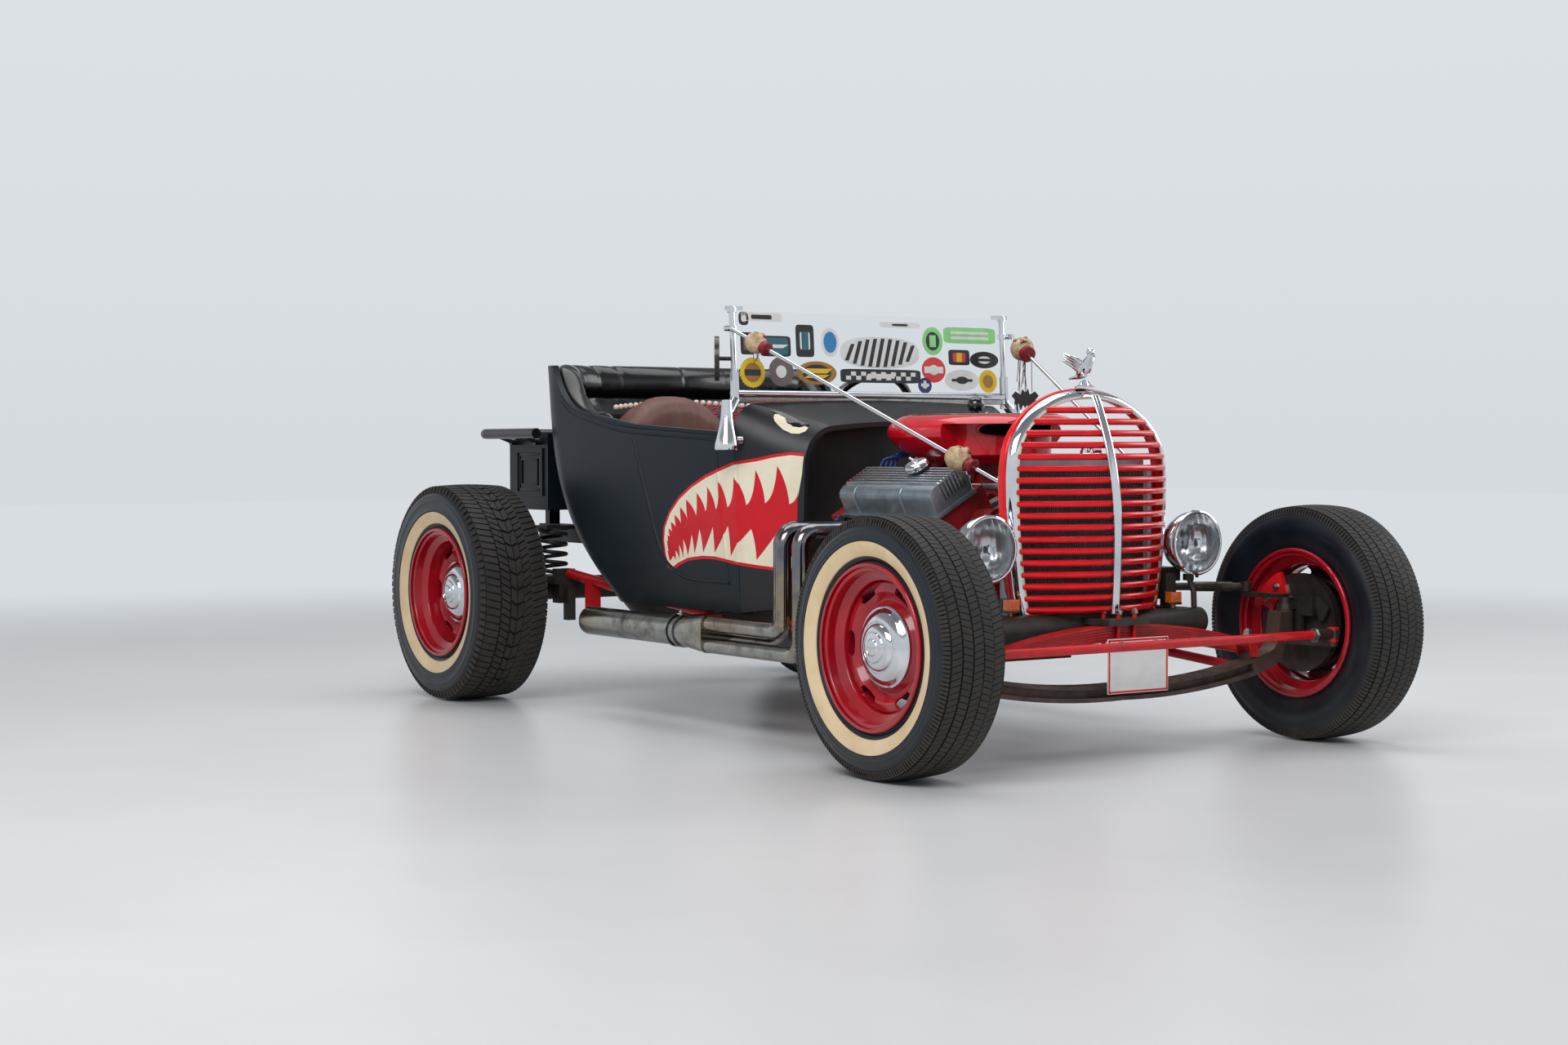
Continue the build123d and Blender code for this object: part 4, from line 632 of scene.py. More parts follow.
EYE_WHITE = finish("eye_white", (236, 228, 204), (226, 214, 186), 0.38, 12, 900, 0.00003)
PLATE_WHITE = finish("plate_white", (242, 243, 242), (230, 230, 227), 0.35, 14, 700, 0.00003,
    dust=(0.4, 0.4), scratch=(0.2, (150, 140, 130)))
HEAD_CREAM = finish("carved_cream", (206, 184, 148), (156, 124, 90), 0.6, 60, 160, 0.0008,
    scratch=(0.6, (92, 58, 42)))
HEAD_RED = finish("carved_red", (150, 22, 32), (104, 14, 24), 0.5, 60, 160, 0.0008)
STRING = finish("string", (104, 88, 78), (70, 58, 52), 0.8, 200, 900, 0.0002)
print("finishes so far:", len(bpy.data.materials))

# %% [markdown]
# ## Upholstery, rubber, timber and glass
# Vinyl shows grain as fine cells, so its bump comes from the edges of a Voronoi texture. The bed's
# planks take long stretched noise as wood grain. Glass keeps plain values on the shader itself.

# %% upholstery and timber
SEAT_VINYL = finish("seat_vinyl", (112, 72, 62), (92, 58, 50), 0.42, 7, 520, 0.0003, cells=0.8)
ROLL_VINYL = finish("roll_vinyl", (7, 7, 8), (11, 11, 13), 0.24, 8, 700, 0.00008, coat=0.35, cells=0.7,
    shine=0.4)
CARPET = finish("carpet", (26, 25, 25), (36, 34, 33), 0.95, 40, 900, 0.001)
BEAD_PALE = finish("bead_pale", (226, 208, 198), (204, 180, 170), 0.3, 60, 200, 0.00005, coat=0.3)
BEAD_RED = finish("bead_red", (200, 40, 52), (170, 26, 40), 0.3, 60, 200, 0.00005, coat=0.3)
WHITEWALL = finish("whitewall", (233, 210, 172), (220, 192, 150), 0.5, 10, 500, 0.00008,
    dust=(0.15, 0.6))
# painted reflection: the sidewall is black rubber, tinted blue here as the sheen of the studio's light
# on it
SIDEWALL_PAINTED_SHEEN = finish("sidewall", (11, 18, 26), (18, 28, 38), 0.34, 9, 700, 0.00006, dust=(0.1, 0.4),
    shine=0.4)
TREAD = finish("tread_rubber", (28, 27, 28), (42, 40, 39), 0.62, 18, 420, 0.0002, dust=(0.2, 0.7),
    shine=0.35)
# painted shade: a black darker than the tread, laid on the floors of the tread grooves and inside the
# scoop's mouth, where shade falls
PAINTED_SHADE_BLACK = finish("groove_rubber", (17, 17, 18), (24, 23, 23), 0.7, 20, 300, 0.0002)


def timber():
    """Planks: stretched noise for the grain, with darker pores."""
    made, tree, skin, where = start("bed_timber")
    stretch = node(tree, "ShaderNodeMapping", {"Vector": where, "Scale": (14.0, 1.3, 6.0)})
    rings = node(tree, "ShaderNodeTexNoise", {"Vector": stretch, "Scale": 5.0, "Detail": 8.0,
        "Distortion": 1.2})
    tone = mix(tree, rings, linear(70, 44, 28), linear(146, 100, 62))
    pores = group(tree, SCRATCHES, stretch, Scale=9.0, Amount=0.7)
    tone = mix(tree, pores, tone, linear(40, 26, 18))
    feed(tree, skin, {"Base Color": tone, "Roughness": 0.46, "Normal": bump(tree, rings, 0.0006)})
    return made


TIMBER = timber()


# %% heat tint and glass
def colour_ramp(tree, share, first, last, between):
    """A ramp through (position, colour) stops."""
    ramp = node(tree, "ShaderNodeValToRGB", {"Fac": share})
    stops = ramp.color_ramp.elements
    for stop, (position, colour) in zip(stops, (first, last)):
        stop.position = position
        stop.color = linear(*colour)
    for position, colour in between:
        stops.new(position).color = linear(*colour)
    return ramp


def heat_tinted():
    """Stainless pipe that ran hot: straw and blue bands drift along the tube."""
    made, tree, skin, where = start("heat_tinted_steel")
    drift = node(tree, "ShaderNodeTexNoise", {"Vector": where, "Scale": 7.0, "Detail": 3.0})
    height = node(tree, "ShaderNodeSeparateXYZ", {"Vector": where}).outputs["Z"]
    ramp = colour_ramp(tree, add_up(tree, height, drift, 0.5), (0.42, (132, 136, 140)),
        (0.92, (128, 122, 116)), ((0.55, (160, 158, 150)), (0.68, (150, 136, 116)),
        (0.8, (112, 118, 130))))
    soot = group(tree, CLOUDS, where, Scale=16.0, Low=0.5, High=0.75)
    tone = mix(tree, soot, ramp, linear(84, 80, 78))
    feed(tree, skin, {"Base Color": tone, "Metallic": 1.0, "Roughness": add_up(tree, 0.13, soot, 0.2),
        "Normal": bump(tree, drift, 0.0004)})
    return made


HEADER_STEEL = heat_tinted()


def clear(name, colour, ior, flutes=0.0, depth=0.002):
    """Clear glass; flutes is the number of ribs in a metre."""
    made, tree, skin, where = start(name)
    feed(tree, skin, {"Base Color": linear(*colour), "Roughness": 0.02, "IOR": ior,
        "Transmission Weight": 1.0})
    if flutes:
        wave = node(tree, "ShaderNodeTexWave", {"Vector": where, "Scale": flutes}, wave_type="BANDS",
            bands_direction="X")
        feed(tree, skin, {"Normal": bump(tree, wave.outputs["Fac"], depth)})
    return made


SCREEN_GLASS = clear("screen_clear", (250, 252, 252), 1.03)
LAMP_GLASS = clear("lamp_fluted", (252, 254, 255), 1.3, flutes=14.0, depth=0.0016)
AMBER_LENS = finish("amber_lens", (232, 118, 22), (206, 84, 10), 0.18, 20, 90, 0.0008, coat=0.8,
    cells=1.0)
RED_LENS = finish("red_lens", (168, 14, 20), (128, 8, 14), 0.18, 20, 90, 0.0008, coat=0.8, cells=1.0)
print("finishes:", len(bpy.data.materials))

# %% [markdown]
# ## Camera and studio
# The camera stands where the photograph was taken: well to the car's right, in front and 0.8 m
# up, with a 55 mm lens. The floor and the world are pale; the light comes from large soft
# panels, so that the chrome has something to show and the paint keeps its written colour.

# %% camera
CAMERA_PLACE = Vector((-4.24, -5.908, 0.813))
AZIMUTH, PITCH, ROLL = radians(-33.99), radians(1.76), radians(-0.14)


def make_camera():
    """Looks along an azimuth, a little down, with a touch of roll."""
    data = bpy.data.cameras.new("camera")
    data.sensor_width = 36
    data.lens = 55.0
    data.clip_end = 60
    camera = add_object("camera", data)
    ahead = Vector((-sin(AZIMUTH) * cos(PITCH), cos(AZIMUTH) * cos(PITCH), -sin(PITCH)))
    level = Vector((cos(AZIMUTH), sin(AZIMUTH), 0))
    rise = level.cross(ahead)
    right = level * cos(ROLL) + rise * sin(ROLL)
    up = rise * cos(ROLL) - level * sin(ROLL)
    camera.matrix_world = Matrix.Translation(CAMERA_PLACE) @ Matrix((right, up,
        -ahead)).transposed().to_4x4()
    bpy.context.scene.camera = camera
    return camera


print("camera looks from", tuple(make_camera().location))


# %% studio
def panel(name, place, target, width, height, power):
    """A soft rectangular light."""
    data = bpy.data.lights.new(name, "AREA")
    data.shape = "RECTANGLE"
    data.size = width
    data.size_y = height
    data.energy = power
    lamp = add_object(name, data)
    lamp.location = place
    lamp.rotation_euler = (Vector(target) - Vector(place)).to_track_quat("-Z", "Y").to_euler()


def seen_directly(tree):
    """1 for rays of the camera and of reflections; also gives the Light Path node."""
    rays = node(tree, "ShaderNodeLightPath")
    return maths(tree, "MAXIMUM", rays.outputs["Is Camera Ray"], rays.outputs["Is Glossy Ray"]), rays


def far_away(tree, skin, where):
    """Far from the car the floor fades into the pale wall for the camera and for reflections."""
    distance = node(tree, "ShaderNodeVectorMath", {0: where}, operation="LENGTH").outputs["Value"]
    fade = node(tree, "ShaderNodeMapRange", {"Value": distance, "From Min": 3.0, "From Max": 8.0},
        interpolation_type="SMOOTHSTEP")
    share = maths(tree, "MULTIPLY", fade, seen_directly(tree)[0])
    glow = node(tree, "ShaderNodeEmission", {"Color": linear(216, 221, 226), "Strength": 1.0})
    both = node(tree, "ShaderNodeMixShader", {0: share, 1: skin, 2: glow})
    feed(tree, tree.nodes["Material Output"], {"Surface": both})


def make_floor(reach=30):
    """A pale floor, a little cloudy."""
    shape = Shape()
    shape.add([(-reach, -reach, 0), (reach, -reach, 0), (reach, reach, 0), (-reach, reach, 0)],
        [(0, 1, 2, 3)])
    made, tree, skin, where = start("studio_floor")
    tone = mix(tree, group(tree, CLOUDS, where, Scale=0.8), linear(206, 208, 210), linear(214, 215,
        216))
    feed(tree, skin, {"Base Color": tone, "Roughness": 0.32, "Specular IOR Level": 0.35})
    far_away(tree, skin, where)
    add_object("studio_floor", make_mesh("studio_floor", shape, [made], outward=False))


def make_world():
    """A pale wall with a darker beam, dimmer as a light than as a picture."""
    world = bpy.data.worlds.new("studio")
    world.use_nodes = True
    tree = world.node_tree
    tree.nodes.clear()
    where = node(tree, "ShaderNodeTexCoord").outputs["Generated"]
    height = node(tree, "ShaderNodeSeparateXYZ", {"Vector": where}).outputs["Z"]
    ramp = colour_ramp(tree, height, (0.0, (214, 219, 224)), (1.0, (120, 124, 130)),
        ((0.32, (226, 231, 236)), (0.45, (150, 152, 154))))
    shown, rays = seen_directly(tree)
    through = maths(tree, "MAXIMUM", shown, rays.outputs["Is Transmission Ray"])
    light = node(tree, "ShaderNodeBackground", {"Color": ramp, "Strength": add_up(tree, 0.55, through,
        0.45)})
    node(tree, "ShaderNodeOutputWorld", {"Surface": light})
    bpy.context.scene.world = world


make_floor()
make_world()
panel("key_panel", (-4.5, -3.5, 4.6), (0, 0, 0.4), 4.5, 3.0, 270)
panel("top_panel", (0.5, 0.5, 5.2), (0, 0, 0), 6.0, 4.0, 190)
panel("side_panel", (5.5, -2.0, 3.2), (0, -0.4, 0.5), 3.5, 3.0, 110)
bpy.context.scene.view_settings.view_transform = "Standard"
print("studio set")

# %% [markdown]
# ## Finishes on the construction model's own parts
# Many parts already have their true shape: pipes, beam, leaf spring, frame, linkage. They stay,
# and only take a better material in their slots.

# %% skins for parts that stay
STAYING = ((BEAM_BROWN, "front_axle"),
    (DARK_STEEL, "knuckle_right knuckle_left pitman_arm drag_link gearbox"),
    (GEAR_RED, "tie_rod leaf_spring locating_arms"), (ENGINE_RED, "engine"),
    (CAST_ALLOY, "valve_covers"),
    (CHASSIS_PAINT, "frame rear_axle rear_springs firewall steering_column lamp_stems"),
    (CHROME, "breather screen_frame mirror stays grille_trim mascot headlamps"), (SCOOP_RED, "scoop"),
    (GLOSS_BLACK, "scoop_knob steering_wheel"), (HEADER_STEEL, "headers side_pipes"),
    (TUB_PAINT, "body_tub bed"), (CARPET, "floor"), (COWL_PAINT, "cowl dashboard"),
    (SCREEN_GLASS, "screen_glass"), (HEAD_CREAM, "stay_heads"), (SEAT_VINYL, "seat_cushion seat_backs"),
    (ROLL_VINYL, "cockpit_pad"), (CORE_BLACK, "radiator"), (BAR_RED, "grille_shell grille_bars"),
    (LAMP_GLASS, "lamp_lenses"), (AMBER_LENS, "indicators"), (PLATE_WHITE, "plate"),
    (RAIL_BLACK, "bed_rail"), (RED_LENS, "tail_lamps"))
CAD_SKINS = {name: skin for skin, names in STAYING for name in names.split()}
for corner in CORNERS:
    CAD_SKINS.update({"tyre_" + corner: RUBBER, "rim_" + corner: WHEEL_RED, "cap_" + corner: CHROME})
for name, skin in CAD_SKINS.items():
    nodes[name].data.materials.clear()
    nodes[name].data.materials.append(skin)
HUB_RADIUS = 0.15
for corner in CORNERS:
    mesh = nodes["rim_" + corner].data
    mesh.materials.append(DARK_STEEL)
    for face in mesh.polygons:
        off = face.center - WHEEL[corner]
        behind_spider = off.x * SIDE_OF[corner] < 0.006 or face.normal.x * SIDE_OF[corner] < -0.3
        if hypot(off.y, off.z) < HUB_RADIUS and behind_spider:
            face.material_index = 1
print("skinned", len(CAD_SKINS), "of", len(nodes), "parts")

# %% [markdown]
# ## Tyres
# The tyre is turned from its real section: bead, black band, raised whitewall, ribbed black
# sidewall and a tread floor. The tread itself stands on that floor as blocks. One pitch of blocks
# is drawn by numbers and the tree repeats it round the axle. The front tyres have ribs with slanted
# cuts, the wide rear ones have chevrons.

# %% tyre section
BEAD_SEAT = 0.1909
SHOULDER = ((0.0063, 0.028), (0.0085, 0.014))  # in from the flank, down from the crown
CROWN_DROP = 0.005


def sidewall(radius, half, outer, flange, bead):
    """How far the sidewall stands out at a radius: a curve through bead, belly and shoulder."""
    known = ((flange + 0.003, bead), ((flange + outer) / 2 - 0.004, half),
        (outer - 0.028, half - 0.005))
    total = 0.0
    for i, (r_i, x_i) in enumerate(known):
        share = x_i
        for j, (r_j, _) in enumerate(known):
            if i != j:
                share *= (radius - r_j) / (r_i - r_j)
        total += share
    return total - 0.0013


def tread_line(half, outer):
    """(across, radius) points of the tread from shoulder to shoulder."""
    edge = half - 0.016
    shoulder = [(half - inset, outer - drop) for inset, drop in SHOULDER]
    crown = [(edge * step / 4, outer - CROWN_DROP * (step / 4) ** 2) for step in range(-4, 5)]
    return [(-across, radius) for across, radius in shoulder] + crown + shoulder[::-1]


def on_tread(across, half, outer):
    """Radius of the tread at a place across it."""
    line = tread_line(half, outer)
    for (x_a, r_a), (x_b, r_b) in zip(line, line[1:]):
        if x_a <= across <= x_b:
            return r_a + (r_b - r_a) * (across - x_a) / (x_b - x_a)
    return line[0][1]


def outwards(across, radius, outer):
    """Direction out of the tread at a place of the section."""
    return (Vector((across, radius)) - Vector((0, outer - 0.06))).normalized()


def tyre_body(shape, centre, side, half, outer, bead, flange, depth):
    """The turned tyre without its tread blocks."""
    # the floor skin is the painted-shade black: the groove floors are painted darker than the tread, as
    # shade
    black, white, floor = 0, 1, 2

    def wall(radius, extra=0.0):
        return sidewall(radius, half, outer, flange, bead) + extra

    raised = 0.0009
    bands = [(0.2115, 0, black), (0.2165, 0.0006, black), (0.2235, 0.0004, black), (0.2243, -0.0006,
        black), (0.225, -0.0006, white), (0.2256, 0.0008, white)]
    bands += [(radius, raised, white) for radius in (0.23, 0.237, 0.244, 0.251, 0.2575)]
    bands += [(0.2614, 0.0008, white), (0.262, -0.0006, black), (0.2628, -0.0006, black),
        (0.2636, 0.0006, black), (0.2672, 0.0006, black), (0.268, 0.0, black)]
    bands += [(outer - low, extra, black) for low, extra in ((0.054, 0.0), (0.051, 0.0008),
        (0.048, 0.0), (0.04, 0.0), (0.037, 0.0008), (0.034, 0.0), (0.029, 0.0))]
    profile = [(-bead, BEAD_SEAT), (bead, BEAD_SEAT), (bead, flange + 0.002)]
    profile += [(wall(radius, extra), radius) for radius, extra, _ in bands]
    skins = [floor, floor] + [skin for _, _, skin in bands]
    for across, radius in reversed(tread_line(half, outer)[1:-1]):
        out = outwards(across, radius, outer)
        profile.append((across - out.x * depth, radius - out.y * depth))
        skins.append(floor)
    for radius in (outer - 0.03, outer - 0.045, outer - 0.06, 0.2435, 0.225, flange + 0.002):
        profile.append((-wall(radius) if radius > flange + 0.003 else -bead, radius))
        skins.append(black)
    profile.append((-bead, BEAD_SEAT))
    skins.append(black)
    shape.turn(profile, centre, (side, 0, 0), 120, skins)


def tread_block(shape, centre, side, corners, half, outer, depth):
    """One tread block; corners are (across, along) pairs round it, in metres on the tread."""
    top = []
    foot = []
    for across, along in corners:
        radius = on_tread(across, half, outer)
        out = outwards(across, radius, outer)
        for ring, level in ((top, -0.0002), (foot, depth + 0.001)):
            x = across - out.x * level
            r = radius - out.y * level if level > 0 else radius
            angle = along / outer
            ring.append(Vector((centre.x + side * x, centre.y + r * sin(angle),
                centre.z + r * cos(angle))))
    count = len(corners)
    shape.add(top + foot, [tuple(range(count))] + strip_faces(0, count, count))


def strips(low, high, first, last, count, lean):
    """Outline of a slanted block between two places across the tread, in short steps that follow it."""
    shares = [step / count for step in range(count + 1)]
    near, far = ([(low + (high - low) * share, start_at + lean * share) for share in shares] for
        start_at in (first, last))
    return near + far[::-1]


def rib_pitch(shape, centre, side, half, outer, pitch):
    """One pitch of the front tread: five ribs with slanted cuts and fine shoulder ribs."""
    edge = half - 0.018
    width = 2 * edge / 5
    for row in range(5):
        low = -edge + row * width + 0.0022
        high = low + width - 0.0044
        lean = 0.008 if row % 2 else -0.008
        for first, last in ((0, 0.44), (0.5, 0.94)):
            outline = strips(low, high, pitch * first, pitch * last, 2, lean)
            tread_block(shape, centre, side, outline, half, outer, 0.006)
    for flank in SIDES:
        low, high = sorted((flank * (edge + 0.0025), flank * (half - 0.0066)))
        for part in range(3):
            outline = strips(low, high, pitch * part / 3, pitch * part / 3 + pitch * 0.25, 3, 0)
            tread_block(shape, centre, side, outline, half, outer, 0.004)


def chevron_pitch(shape, centre, side, half, outer, pitch):
    """One pitch of the rear tread: a broken middle rib, chevrons and shoulder lugs."""
    edge = half - 0.018
    rows = [(0.0015, 0.021, 0, 0.8, 2, 0.012), (0.025, 0.055, 0.1, 0.48, 3, 0.017), (0.025, 0.055, 0.58,
        0.98, 3, 0.017), (0.059, edge - 0.001, 0.2, 0.6, 3, 0.012), (0.059, edge - 0.001, 0.7, 1.1, 3,
        0.012), (edge + 0.002, half - 0.0066, 0.05, 0.38, 3, 0.0), (edge + 0.002, half - 0.0066, 0.55,
        0.88, 3, 0.0)]
    for flank in SIDES:
        for low, high, first, last, steps, lean in rows:
            outline = strips(flank * low, flank * high, pitch * first, pitch * last, steps, lean)
            tread_block(shape, centre, side, outline, half, outer, 0.008)


# %% the four tyres
TYRE_KINDS = {
    # axle: half width, radius, bead, flange, blocks round, pitch drawing, tread depth
    "front": (0.0975, 0.327, 0.0758, 0.208, 62, rib_pitch, 0.006),
    "rear": (0.125, 0.35, 0.1018, 0.208, 46, chevron_pitch, 0.008),
}
for corner in CORNERS:
    half, outer, bead, flange, count, drawing, depth = TYRE_KINDS[corner.split("_")[0]]
    side, centre = SIDE_OF[corner], WHEEL[corner]
    body = Shape()
    tyre_body(body, centre, side, half, outer, bead, flange, depth)
    pitch = Shape()
    drawing(pitch, centre, side, half, outer, 2 * pi * outer / count)
    blocks = run_tree(ROUND, make_mesh("pitch", pitch, [TREAD], 25), {"Count": count, "Centre": centre,
        "Axis": (1, 0, 0), "Material": TREAD}, 25)
    carcass = make_mesh("carcass", body, [SIDEWALL_PAINTED_SHEEN, WHITEWALL, PAINTED_SHADE_BLACK])
    show("tyre_look_" + corner, join_meshes("tyre_look_" + corner, [carcass, blocks]),
        "wheel_" + corner, ["tyre_" + corner])

# %% [markdown]
# ## Wheel caps
# The caps are turned too: a rolled rim, a stepped cone and a ringed dome. The rings are what
# catches the light. A rubber valve stem stands by each cap.

# %% caps and valves
CAP = [(0.0303, 0.0), (0.0303, 0.1005), (0.0312, 0.1022), (0.0335, 0.1025), (0.0356, 0.1018),
    (0.0372, 0.0992), (0.0358, 0.0966), (0.0368, 0.0948), (0.044, 0.0905), (0.0505, 0.083),
    (0.055, 0.0745), (0.0578, 0.0672), (0.0582, 0.065), (0.055, 0.063), (0.0546, 0.061),
    (0.059, 0.0586), (0.064, 0.0545), (0.0672, 0.049), (0.0694, 0.043), (0.0699, 0.0412),
    (0.0676, 0.0398), (0.0678, 0.0384), (0.0712, 0.0362), (0.073, 0.031), (0.0742, 0.0245),
    (0.0744, 0.0232), (0.0726, 0.022), (0.0729, 0.0208), (0.0758, 0.0185), (0.077, 0.012),
    (0.0776, 0.0)]
for corner in CORNERS:
    side = SIDE_OF[corner]
    cap = Shape()
    cap.turn(CAP, WHEEL[corner], (side, 0, 0), 96)
    build("cap_look_" + corner, cap, [CHROME], "wheel_" + corner, ["cap_" + corner],
        smooth=32)
    stem = Shape()
    foot = WHEEL[corner] + Vector((side * 0.02, 0.0, 0.0)) + Vector((0, -0.62, 0.785)) * 0.168
    stem.turn([(-0.004, 0.0), (-0.004, 0.0075), (0.003, 0.0075), (0.006, 0.0045), (0.024, 0.004),
        (0.025, 0.0048), (0.034, 0.0048), (0.036, 0.003), (0.036, 0.0)], foot, (side, 0.05, -0.06), 16)
    build("valve_" + corner, stem, [RUBBER], "wheel_" + corner)

# %% [markdown]
# ## Headlamps
# Each lamp is turned: a chrome bucket and rim, a bowl-shaped reflector with a bulb inside, and a
# fluted lens in front of it. The clear lens is what makes the lamp deep, so it is a real shell of
# glass.

# %% headlamps
LAMP_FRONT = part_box("headlamps")[0].y
LAMP_X = 0.364
LAMP_Z = 0.553
BUCKET = [(0.0, 0.08), (-0.001, 0.084), (0.001, 0.088), (0.005, 0.0898), (0.009, 0.0892),
    (0.0125, 0.0865), (0.014, 0.0845), (0.017, 0.0852), (0.023, 0.0862), (0.035, 0.085), (0.05, 0.0805),
    (0.065, 0.073), (0.08, 0.062), (0.093, 0.048), (0.103, 0.032), (0.109, 0.017), (0.111, 0.0)]
REFLECTOR = [(0.003, 0.0815), (0.012, 0.079), (0.026, 0.072), (0.04, 0.062), (0.054, 0.047),
    (0.063, 0.03), (0.066, 0.014), (0.0665, 0.0)]
LENS = [(0.0035, 0.0822), (0.0005, 0.0818), (-0.0035, 0.078), (-0.008, 0.068), (-0.012, 0.054),
    (-0.015, 0.036), (-0.0168, 0.018), (-0.0172, 0.0)]
lamps = Shape()
lenses = Shape()
for side in SIDES:
    face = Vector((side * LAMP_X, LAMP_FRONT + 0.0005, LAMP_Z))
    lamps.skin = 0
    lamps.turn(BUCKET, face, BACK, 64)
    lamps.skin = 1
    lamps.turn(REFLECTOR, face, BACK, 64)
    lamps.skin = 0
    lamps.turn([(0.022, 0.0), (0.0222, 0.008), (0.028, 0.0125), (0.034, 0.012), (0.06, 0.006)], face,
        BACK, 24)
    lamps.block(face + Vector((-0.007, 0.004, 0.0865)), face + Vector((0.007, 0.02, 0.0895)), 0.0015)
    lamps.collar(face + Vector((0, 0.006, -0.09)), (0, -1, 0), 0.002, 0.0, 0.0055, 12)
    back = [(along + 0.0028, radius - 0.0012 if radius else 0.0) for along, radius in reversed(LENS)]
    lenses.turn(LENS + back + [LENS[0]], face, BACK, 72)
build("headlamp_look", lamps, [CHROME, POLISHED], "chassis", ["headlamps"])
build("lens_look", lenses, [LAMP_GLASS], "chassis", ["lamp_lenses"], smooth=60)

# %% [markdown]
# ## Radiator, grille line and mascot
# Thin upright fins repeat across the core. A cream line follows the inside of the grille's chrome
# band. The mascot is a plain bird about to take off, turned and bent from simple shapes.

# %% grille: shell, chrome arch, bowed bars and prow strip
EDGE = [(0.222, 0.378), (0.239, 0.47), (0.253, 0.6), (0.258, 0.725), (0.252, 0.79), (0.237, 0.832),
    (0.207, 0.872), (0.166, 0.905), (0.116, 0.93), (0.062, 0.944), (0.0, 0.949)]
SHELL_BACK = 0.156


def edge_station(z):
    """How far behind the axle the bars meet the arch; the arch leans back near its top."""
    return 0.104 + 0.016 * max(0.0, (z - 0.725) / 0.224) ** 2


def prow(z):
    """How far behind the axle the strip down the prow lies."""
    if z > 0.6:
        return 0.006 + 0.09 * ((z - 0.6) / 0.352) ** 2
    return 0.006 + 0.01 * ((0.6 - z) / 0.223) ** 2


def half_at(z):
    """Half width of the opening at a height."""
    for (narrow, low), (wide, high) in zip(EDGE, EDGE[1:]):
        if low <= z <= high:
            return narrow + (wide - narrow) * (z - low) / (high - low)
    return 0.0


arch = smooth_line([(-x, 0, z) for x, z in EDGE] + [(x, 0, z) for x, z in EDGE[-2::-1]])


def along_arch(shape, section):
    """Sweeps a closed section of (outwards, behind the bars' ends) pairs over the arch."""
    rows = []
    for number, point in enumerate(arch):
        run = (arch[min(number + 1, len(arch) - 1)] - arch[max(number - 1, 0)]).normalized()
        out = Vector((-run.z, 0, run.x))
        rows.append([at(point.x, min(edge_station(point.z) + back, SHELL_BACK),
            point.z) + out * grow for grow, back in section])
    shape.grid(rows, closed=True, ends=True)


shell = Shape()
along_arch(shell, [(-0.002, 0.006), (0.017, 0.027), (0.0205, 0.0275), (0.023, 0.03), (0.0238, 0.034),
    (0.0225, 0.06), (-0.001, 0.06), (-0.004, 0.012)])
shell.block(at(-0.226, 0.1, 0.372), at(0.226, 0.14, 0.379), 0.002)
build("grille_shell_look", shell, [BAR_RED], "chassis", ["grille_shell"], smooth=45)
trim = Shape()
section = []
for step in range(9):
    share = step / 8
    rise = 0.006 * sin(pi * share) ** 0.6
    section.append((0.02 * share + rise * 0.77, 0.024 * share - rise * 0.64))
along_arch(trim, section + [(0.018, 0.028), (-0.001, 0.006)])
HALF_STRIP = [(0.0135, 0.0), (0.0135, 0.003), (0.011, 0.0058), (0.005, 0.007)]
STRIP = [(-x, rise) for x, rise in HALF_STRIP] + [(0.0, 0.0052)] + HALF_STRIP[::-1]
heights = [0.377 + 0.576 * step / 48 for step in range(49)]
trim.grid([[at(across, prow(z) - rise, z) for across, rise in STRIP] for z in heights], closed=True,
    ends=True)
trim.block(at(-0.012, 0.094, 0.944), at(0.012, 0.15, 0.957), 0.003)
build("grille_trim_look", trim, [CHROME], "chassis", ["grille_trim"], smooth=50)
bars = Shape()
for count in range(18):
    z = 0.39 + 0.0308 * count
    reach = half_at(z) - 0.001
    if reach < 0.03:
        continue
    end, nose = edge_station(z) + 0.005, prow(z) + 0.0105
    shares = [step / 12 - 1 for step in range(25)]
    bars.tube([at(share * reach, nose + (end - nose) * abs(share) ** 2.1, z) for share in shares],
        0.0088)
build("grille_bar_look", bars, [BAR_RED], "chassis", ["grille_bars"])
line = Shape()
line.tube([at(p.x * 0.988, edge_station(p.z) + 0.0008, p.z - (0.003 if p.z > 0.88 else 0)) for p in
    arch], 0.0026, 8)
build("grille_line", line, [CREAM_PAINT], "chassis")

# %% radiator
core = Shape()
core.block(at(-0.2225, 0.156, 0.4), at(0.2225, 0.201, 0.752), 0.001)
core.block(at(-0.218, 0.1475, 0.381), at(0.218, 0.207, 0.424), 0.008)
core.skin = 1
core.block(at(-0.227, 0.15, 0.748), at(0.227, 0.206, 0.792), 0.014)
for side in SIDES:
    core.block(at(side * 0.24 - 0.0155, 0.1505, 0.392), at(side * 0.24 + 0.0155, 0.18, 0.762), 0.004)
    core.block(at(side * 0.226 - 0.0295, 0.1505, 0.326), at(side * 0.226 + 0.0295, 0.1795, 0.393),
        0.003)
    core.tube([at(side * 0.2405, 0.1485, 0.398), at(side * 0.2405, 0.1485, 0.75)], 0.0115, 16)
core.skin = 2
core.turn([(0.0, 0.031), (0.002, 0.033), (0.01, 0.033), (0.012, 0.0305), (0.02, 0.0295),
    (0.0205, 0.0275), (0.028, 0.0265), (0.0285, 0.0)], at(0.06, 0.178, 0.788), UP, 36)
core.skin = 3
core.tube(smooth_line([at(-0.212, 0.178, 0.785), at(-0.212, 0.178, 0.822), at(-0.2, 0.186, 0.838),
    at(-0.16, 0.205, 0.84), at(-0.11, 0.235, 0.826)], 0.006), 0.0048, 10)
fin = Shape()
